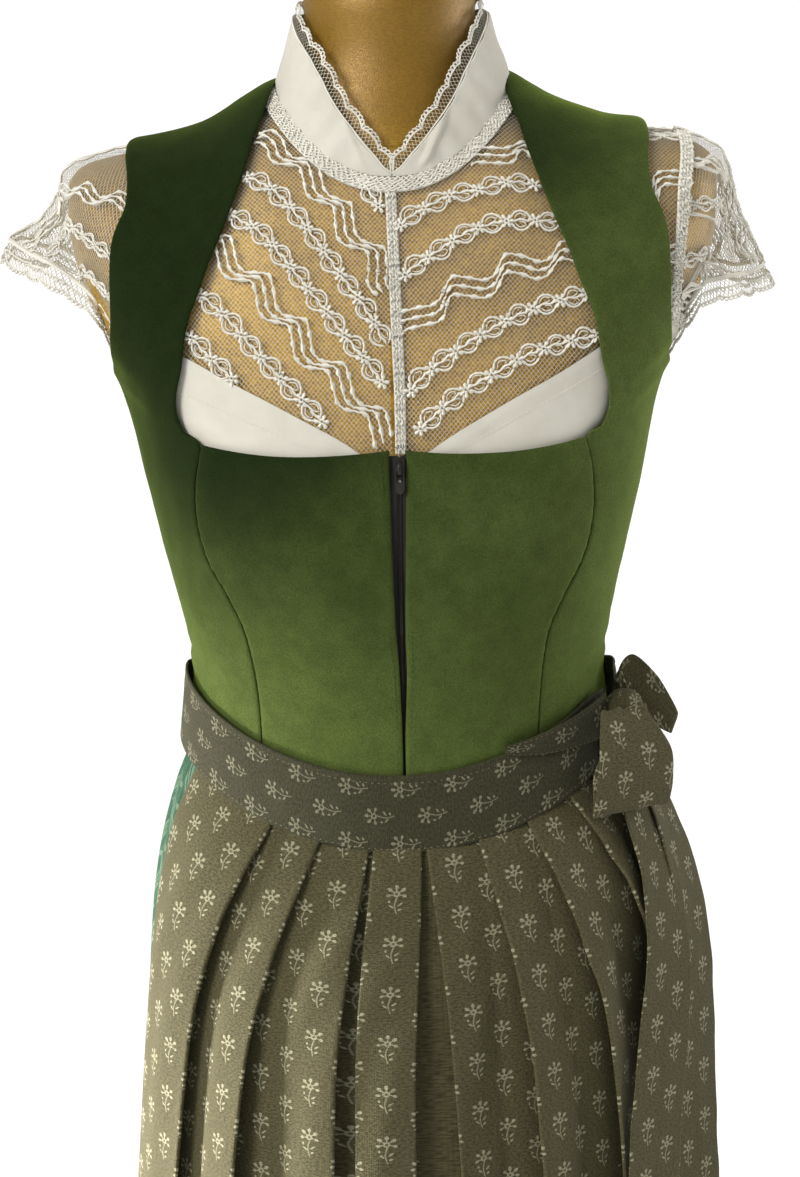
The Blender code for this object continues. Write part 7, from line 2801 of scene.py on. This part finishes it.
    def sleeve_lace(self, side: str, middle: Array) -> None:
        """The bands that run over a sleeve from its armhole to its hem."""
        surface, rows = GridSurface(middle), Strands()
        count = middle.shape[1]
        round_it = float(np.linalg.norm(np.diff(middle[40], axis=0), axis=1).sum())
        scale = (round_it / count, 0.0013)
        motifs = (Motif.CHAIN, Motif.CHAIN, Motif.WAVE)
        for k in range(self.sleeve_bands):
            column = count * (k + 0.5) / self.sleeve_bands
            drift = 2.2 * math.sin(k * 1.9)
            line = [(column, 1.0), (column + drift * 0.5, 20.0), (column + drift, 38.0),
                    (column, len(middle) - 2.0)]
            LACE.band(rows, BandPath(surface, line, 0.0004, scale), motifs[k % 3], 0.74, 0.001)
        self.finished("lace_bands_sleeve_" + side, rows)

    def braids(self) -> None:
        """The braids on the neck seam, down the front and round the armholes."""
        neck = Strands()
        angles = np.linspace(-180, 180, 73)
        line = np.stack([angles, self.neck_seam.level(angles) + 0.13], 1)
        LACE.ruche(neck, BandPath(TORSO_SURFACE, line, LAYERS.over_blouse - 0.0006, ON_TORSO, 400), 6, 0.0088)
        self.finished("neck_seam_braid", neck, "neck_braid")
        levels = np.linspace(7.10, float(self.neck_seam.level(2.3)) + 0.20, 60)
        middle = 1.2
        strip = Strands()
        for offset, cords, wide in ((-0.0015, 2, 0.0028), (0.0015, 2, 0.0026)):
            line = np.stack([middle + np.degrees(offset / TORSO_SURFACE.at(levels)[:, 0]), levels], 1)
            LACE.ruche(strip, BandPath(TORSO_SURFACE, line, LAYERS.over_blouse - 0.0008, ON_TORSO, 240),
                       cords, wide)
        made = self.finished("front_placket_braid", strip)
        wide = np.degrees(0.0031 / TORSO_SURFACE.at(levels)[:, 0])
        share = np.linspace(-1, 1, 9)
        angle, level = middle + wide[:, None] * share[None], np.broadcast_to(levels[:, None], (60, 9))
        base, outer = torso_strip("front_placket", angle, level, LAYERS.over_blouse - 0.0012, self.thick,
                                  0.0008)
        self.wardrobe.dress(base, "white_cotton", "front_strip")
        declare(base, outer)
        for side, turn in SIDES:
            rows = Strands()
            line = drawn_curve(self.hole_of(side, 1.03)[1:12], 60) * (turn, 1)
            LACE.ruche(rows, BandPath(TORSO_SURFACE, line, LAYERS.over_blouse - 0.0006, ON_TORSO, 240), 4,
                       0.0078)
            self.finished("armhole_cord_braid_" + side, rows, "armhole_braid_" + side)

    def build(self) -> None:
        """Builds the whole blouse."""
        self.collar()
        self.body()
        self.bands()
        self.sleeves()
        self.braids()


def torso_strip(name: str, angle: Array, level: Array, height: float, thick: float,
                rim: float) -> tuple[bpy.types.Object, Array]:
    """A thin strip that lies on the torso.

    Args:
        name: the piece's name.
        angle: the angle of each point of its grid.
        level: the level of each.
        height: how high its inside lies.
        thick: how thick it is.
        rim: how far the rounding reaches in from an edge.

    Returns:
        The strip and its outside's grid.
    """
    walls = rounded(lambda lift: TORSO_SURFACE.point(angle, level, height + lift), thick, rim)
    return shell(name, walls, cloth_map(walls[0])), walls[0]


# ---------------------------------------------------------------- the zip
@dataclass
class FrontZip:
    """The coil zip: two tapes, two rows of coil, the slider and its hinged pull."""

    wardrobe: Wardrobe
    middle_angle: float = 1.0
    top_z: float = 1.2985
    tape: float = 0.0005
    slider: tuple = (0.0066, 0.0130, 0.0028)
    slider_taper: float = 0.338
    # outline's share of the slider, and height
    slider_plates: tuple = ((0.90, 0.0), (0.97, 0.0002), (0.97, 0.0009), (0.80, 0.0010), (0.80, 0.0017),
                            (0.95, 0.0018), (0.95, 0.0025), (0.86, 0.0028), (0.5, 0.00285))
    bridge_wide: float = 0.0022
    bridge_rise: float = 0.0042
    bridge_sunk: float = 0.0006
    bridge_reach: float = 0.0047
    hinge_gap: float = 0.0008
    pull: tuple = (0.0058, 0.0150, 0.0012)
    bar: float = 0.0022
    coil_pitch: float = 0.0013

    def frame(self) -> tuple[Array, Array, Array]:
        """The slider's middle, the way down along the zip and the way out of the cloth."""
        level = TORSO_SURFACE.locate(0.0, self.top_z - self.slider[1] / 2, LAYERS.bodice)[0, 1]
        middle = TORSO_SURFACE.point(self.middle_angle, level, LAYERS.bodice - 0.0002)
        below = TORSO_SURFACE.point(self.middle_angle, level + 0.25, LAYERS.bodice - 0.0002)
        down = unit((below - middle) * (0, 1, 1))
        out = np.cross(down, (1.0, 0.0, 0.0))
        return middle, down, unit(out * -np.sign(out[1]))

    def tapes(self) -> None:
        """The woven tapes and their coils."""
        levels = np.linspace(11.3, 7.12, 120)
        for side, turn in SIDES:
            across = np.linspace(0.25, 5.2, 10)
            angle = self.middle_angle + turn * np.broadcast_to(across[None], (120, 10))
            level = np.broadcast_to(levels[:, None], angle.shape)
            made, outer = torso_strip("woven_zip_tape_" + side, angle, level, LAYERS.zip_tape, self.tape,
                                      0.0006)
            self.wardrobe.dress(made, "zip_tape", "zip_tape_" + side)
            declare(made, outer)
            coil = Strands()
            course = np.stack([np.full(3000, self.middle_angle), np.linspace(11.28, 7.75, 3000)], 1)
            line = TORSO_SURFACE.on(course, LAYERS.zip_tape + self.tape)
            run = run_along(line)
            at = np.linspace(0, run[-1], int(run[-1] / self.coil_pitch) * 8)
            line, out = at_run(at, run, line), unit(at_run(at, run, TORSO_SURFACE.normals(course)))
            turns = at / self.coil_pitch * 2 * math.pi + (0 if turn > 0 else math.pi)
            path = line + out * (0.00055 + 0.00040 * np.sin(turns))[:, None]
            path[:, 0] += turn * (0.00075 + 0.00095 * np.cos(turns))
            coil.cord(path, 0.00024, 4)
            self.wardrobe.dress(coil.made("zip_coil_" + side), "zip_metal")

    def oval(self, half_wide: float, half_long: float, middle: float, square: float,
             count: int = 48) -> Array:
        """A rounded rectangle's outline.

        Args:
            half_wide: half its width.
            half_long: half its length.
            middle: its middle along the zip.
            square: 1 for an ellipse, towards 0 for a rectangle.
            count: how many points.

        Returns:
            The outline.
        """
        angle = 2 * math.pi * (np.arange(count) + 0.5) / count
        c, s = np.cos(angle), np.sin(angle)
        return np.stack([half_wide * np.sign(c) * np.abs(c) ** square,
                         middle + half_long * np.sign(s) * np.abs(s) ** square], 1)

    def rings(self, name: str, node: str, rings: Sequence[tuple[Array, float]], place: Callable, body: str,
              closed: bool) -> None:
        """A solid through outlines, each at its height.

        Args:
            name: the piece's name.
            node: the frame's node that it stands for.
            rings: outlines and their heights.
            place: turns across, along and out into a point.
            body: the frame's body that it rides on.
            closed: whether the last outline joins the first, which leaves a hole through the middle.
        """
        grid = np.array([[place(x, y, h) for x, y in ring] for ring, h in rings])
        rows, columns = grid.shape[:2]
        points, last = grid.reshape(-1, 3), (rows - 1) * columns
        quads = grid_faces(rows + closed, columns, True) % (rows * columns)
        faces = quads.tolist()
        if not closed:
            faces += [list(range(columns))[::-1], list(range(last, last + columns))]
        if signed_volume(points, quads) < 0:
            faces = [face[::-1] for face in faces]
        made = mesh_object(name, points, faces, sharp=40, body=body)
        self.wardrobe.dress(made, "zip_metal", node)

    def build(self) -> None:
        """Builds the tapes, the slider and the pull."""
        self.tapes()
        middle, down, out = self.frame()
        wide, long, thick = self.slider

        def place(x: float, y: float, h: float) -> Array:
            """A point across, along and out of the slider."""
            return middle + np.array((x, 0.0, 0.0)) + down * y + out * h

        def plate(scale: float) -> Array:
            """The slider's outline, wide at the top and narrow below."""
            ring = self.oval(wide / 2 * scale, long / 2 * (0.94 + 0.06 * scale), 0.0, 0.62)
            ring[:, 0] *= 1 - self.slider_taper * ring[:, 1] / long
            return ring

        self.rings("zip_slider_body", "zip_slider", [(plate(scale), h) for scale, h in self.slider_plates],
                   place, BODY_NAME, False)
        arch = np.linspace(-1, 1, 25)
        lift = thick - self.bridge_sunk + self.bridge_rise * (1 - np.abs(arch) ** 3.2)
        path = np.array([place(0.0, self.bridge_reach * a, h) for a, h in zip(arch, lift)])
        strip = Strands()
        strip.cord(path, self.bridge_wide / 2, 12, up=np.tile(out, (25, 1)), flat=0.5)
        self.wardrobe.dress(strip.made("zip_slider_bridge"), "zip_metal")
        half = self.pull[2] / 2
        pin = thick + self.hinge_gap + half
        outline = self.oval(self.pull[0] / 2, self.pull[1] / 2, self.pull[1] / 2 - self.bar / 2, 0.6)
        outline[:, 0] *= 1 - 0.10 * np.clip(1 - outline[:, 1] / 0.006, 0, 1)
        window = self.oval(self.bridge_wide / 2 + 0.0006, 0.0032, self.bar / 2 + 0.0032, 0.55)
        small = outline.mean(0) + (outline - outline.mean(0)) * 0.955
        large = window.mean(0) + (window - window.mean(0)) * 1.09
        sides = ((small, -1.0), (outline, -0.6), (outline, 0.6), (small, 1.0),
                 (large, 1.0), (window, 0.6), (window, -0.6), (large, -1.0))
        self.rings("zip_pull_tab", "zip_pull", [(ring, pin + half * h) for ring, h in sides], place,
                   "zip_pull", True)


# ---------------------------------------------------------------- floor, lights and camera
@dataclass
class Studio:
    """The pale floor, the soft light and the camera."""

    eye: Point = (0.0, -1.545, 1.574)
    pitch: float = 14.0
    roll: float = 1.3
    lens: float = 78.09
    shift: float = 3.0 / 1177.0

    def floor(self) -> None:
        """A very wide pale floor."""
        made = bpy.data.materials.new("pale_floor")
        made.use_nodes = True
        nodes, shader = Nodes(made.node_tree), made.node_tree.nodes["Principled BSDF"]
        tone = nodes.noise(nodes.place(), 1.3, 2.0)
        nodes.feed(shader.inputs["Base Color"], nodes.mix(tone, (0.95, 0.95, 0.95), (0.97, 0.97, 0.97)))
        seen = nodes.node("ShaderNodeLightPath").outputs["Is Camera Ray"]
        nodes.feed(shader.inputs["Emission Color"], (1.0, 1.0, 1.0))
        nodes.feed(shader.inputs["Emission Strength"], nodes.math("MULTIPLY", seen, 0.14))
        shader.inputs["Roughness"].default_value = 0.9
        shader.inputs["Specular IOR Level"].default_value = 0.1
        mesh = bpy.data.meshes.new("floor")
        mesh.from_pydata([(-300, -300, 0), (300, -300, 0), (300, 300, 0), (-300, 300, 0)], [], [(0, 1, 2, 3)])
        mesh.materials.append(made)
        floor = bpy.data.objects.new("floor", mesh)
        bpy.context.scene.collection.objects.link(floor)

    def world(self) -> None:
        """Even white surroundings that light the room softly."""
        world = bpy.data.worlds.new("white_room")
        world.use_nodes = True
        bpy.context.scene.world = world
        nodes = Nodes(world.node_tree)
        background = world.node_tree.nodes["Background"]
        seen = nodes.node("ShaderNodeLightPath").outputs["Is Camera Ray"]
        nodes.feed(background.inputs["Color"], (1.0, 1.0, 1.0))
        high = nodes.node("ShaderNodeSeparateXYZ",
                          {0: nodes.node("ShaderNodeTexCoord").outputs["Generated"]}).outputs[2]
        room = nodes.spread(high, -0.1, 0.9, 0.22, 0.60)
        nodes.feed(background.inputs["Strength"],
                   nodes.math("MAXIMUM", nodes.math("MULTIPLY", seen, 0.99), room))

    def lamp(self, name: str, place: Point, target: Point, size: float, power: float, spread: float = 180.0,
             colour: Point = (1.0, 0.97, 0.92)) -> None:
        """A square area light.

        Args:
            name: its name.
            place: where it hangs.
            target: what it faces.
            size: its side in metres.
            power: its power in watts.
            spread: how wide its beam is, in degrees.
            colour: its colour.
        """
        light = bpy.data.lights.new(name, "AREA")
        light.size, light.energy, light.color, light.spread = size, power, colour, math.radians(spread)
        made = bpy.data.objects.new(name, light)
        made.location = place
        way = np.array(target) - np.array(place)
        made.rotation_euler = mathutils.Vector(way).to_track_quat("-Z", "Y").to_euler()
        bpy.context.scene.collection.objects.link(made)

    def build(self) -> None:
        """Sets the stage."""
        self.floor()
        self.world()
        sun = bpy.data.lights.new("key_light", "SUN")
        sun.energy, sun.angle, sun.color = 3.0, math.radians(28), (1.0, 0.985, 0.95)
        made = bpy.data.objects.new("key_light", sun)
        made.rotation_euler = mathutils.Vector((0.66, 0.56, -0.50)).to_track_quat("-Z", "Y").to_euler()
        bpy.context.scene.collection.objects.link(made)
        self.lamp("right_rim_light", (2.0, 0.5, 1.5), (0, 0, 1.1), 1.2, 22)
        self.lamp("low_left_light", (-1.7, 0.05, 0.70), (-0.15, 0, 0.76), 0.5, 5.2, 28)
        camera = bpy.data.cameras.new("camera")
        camera.lens, camera.sensor_width, camera.shift_x = self.lens, 36.0, self.shift
        made = bpy.data.objects.new("camera", camera)
        made.location = self.eye
        turn = (mathutils.Matrix.Rotation(math.radians(90 - self.pitch), 4, "X")
                @ mathutils.Matrix.Rotation(-math.radians(self.roll), 4, "Z"))
        made.rotation_euler = turn.to_euler()
        bpy.context.scene.collection.objects.link(made)
        bpy.context.scene.camera = made
        bpy.context.scene.view_settings.view_transform = "Standard"


def main() -> None:
    """Builds the dressed form piece by piece."""
    logging.basicConfig(level=logging.INFO, format="%(name)s: %(message)s")
    wardrobe = Wardrobe()
    for part in (DressForm, Blouse, Bodice, FrontZip, Skirt, Apron, Bow):
        before = set(bpy.data.objects)
        part(wardrobe).build()
        for made in sorted(set(bpy.data.objects) - before, key=lambda piece: piece.name):
            LOG.info("%s: %s, %d faces", part.__name__, made.name, len(made.data.polygons))
    Studio().build()


if __name__ == "__main__":
    main()
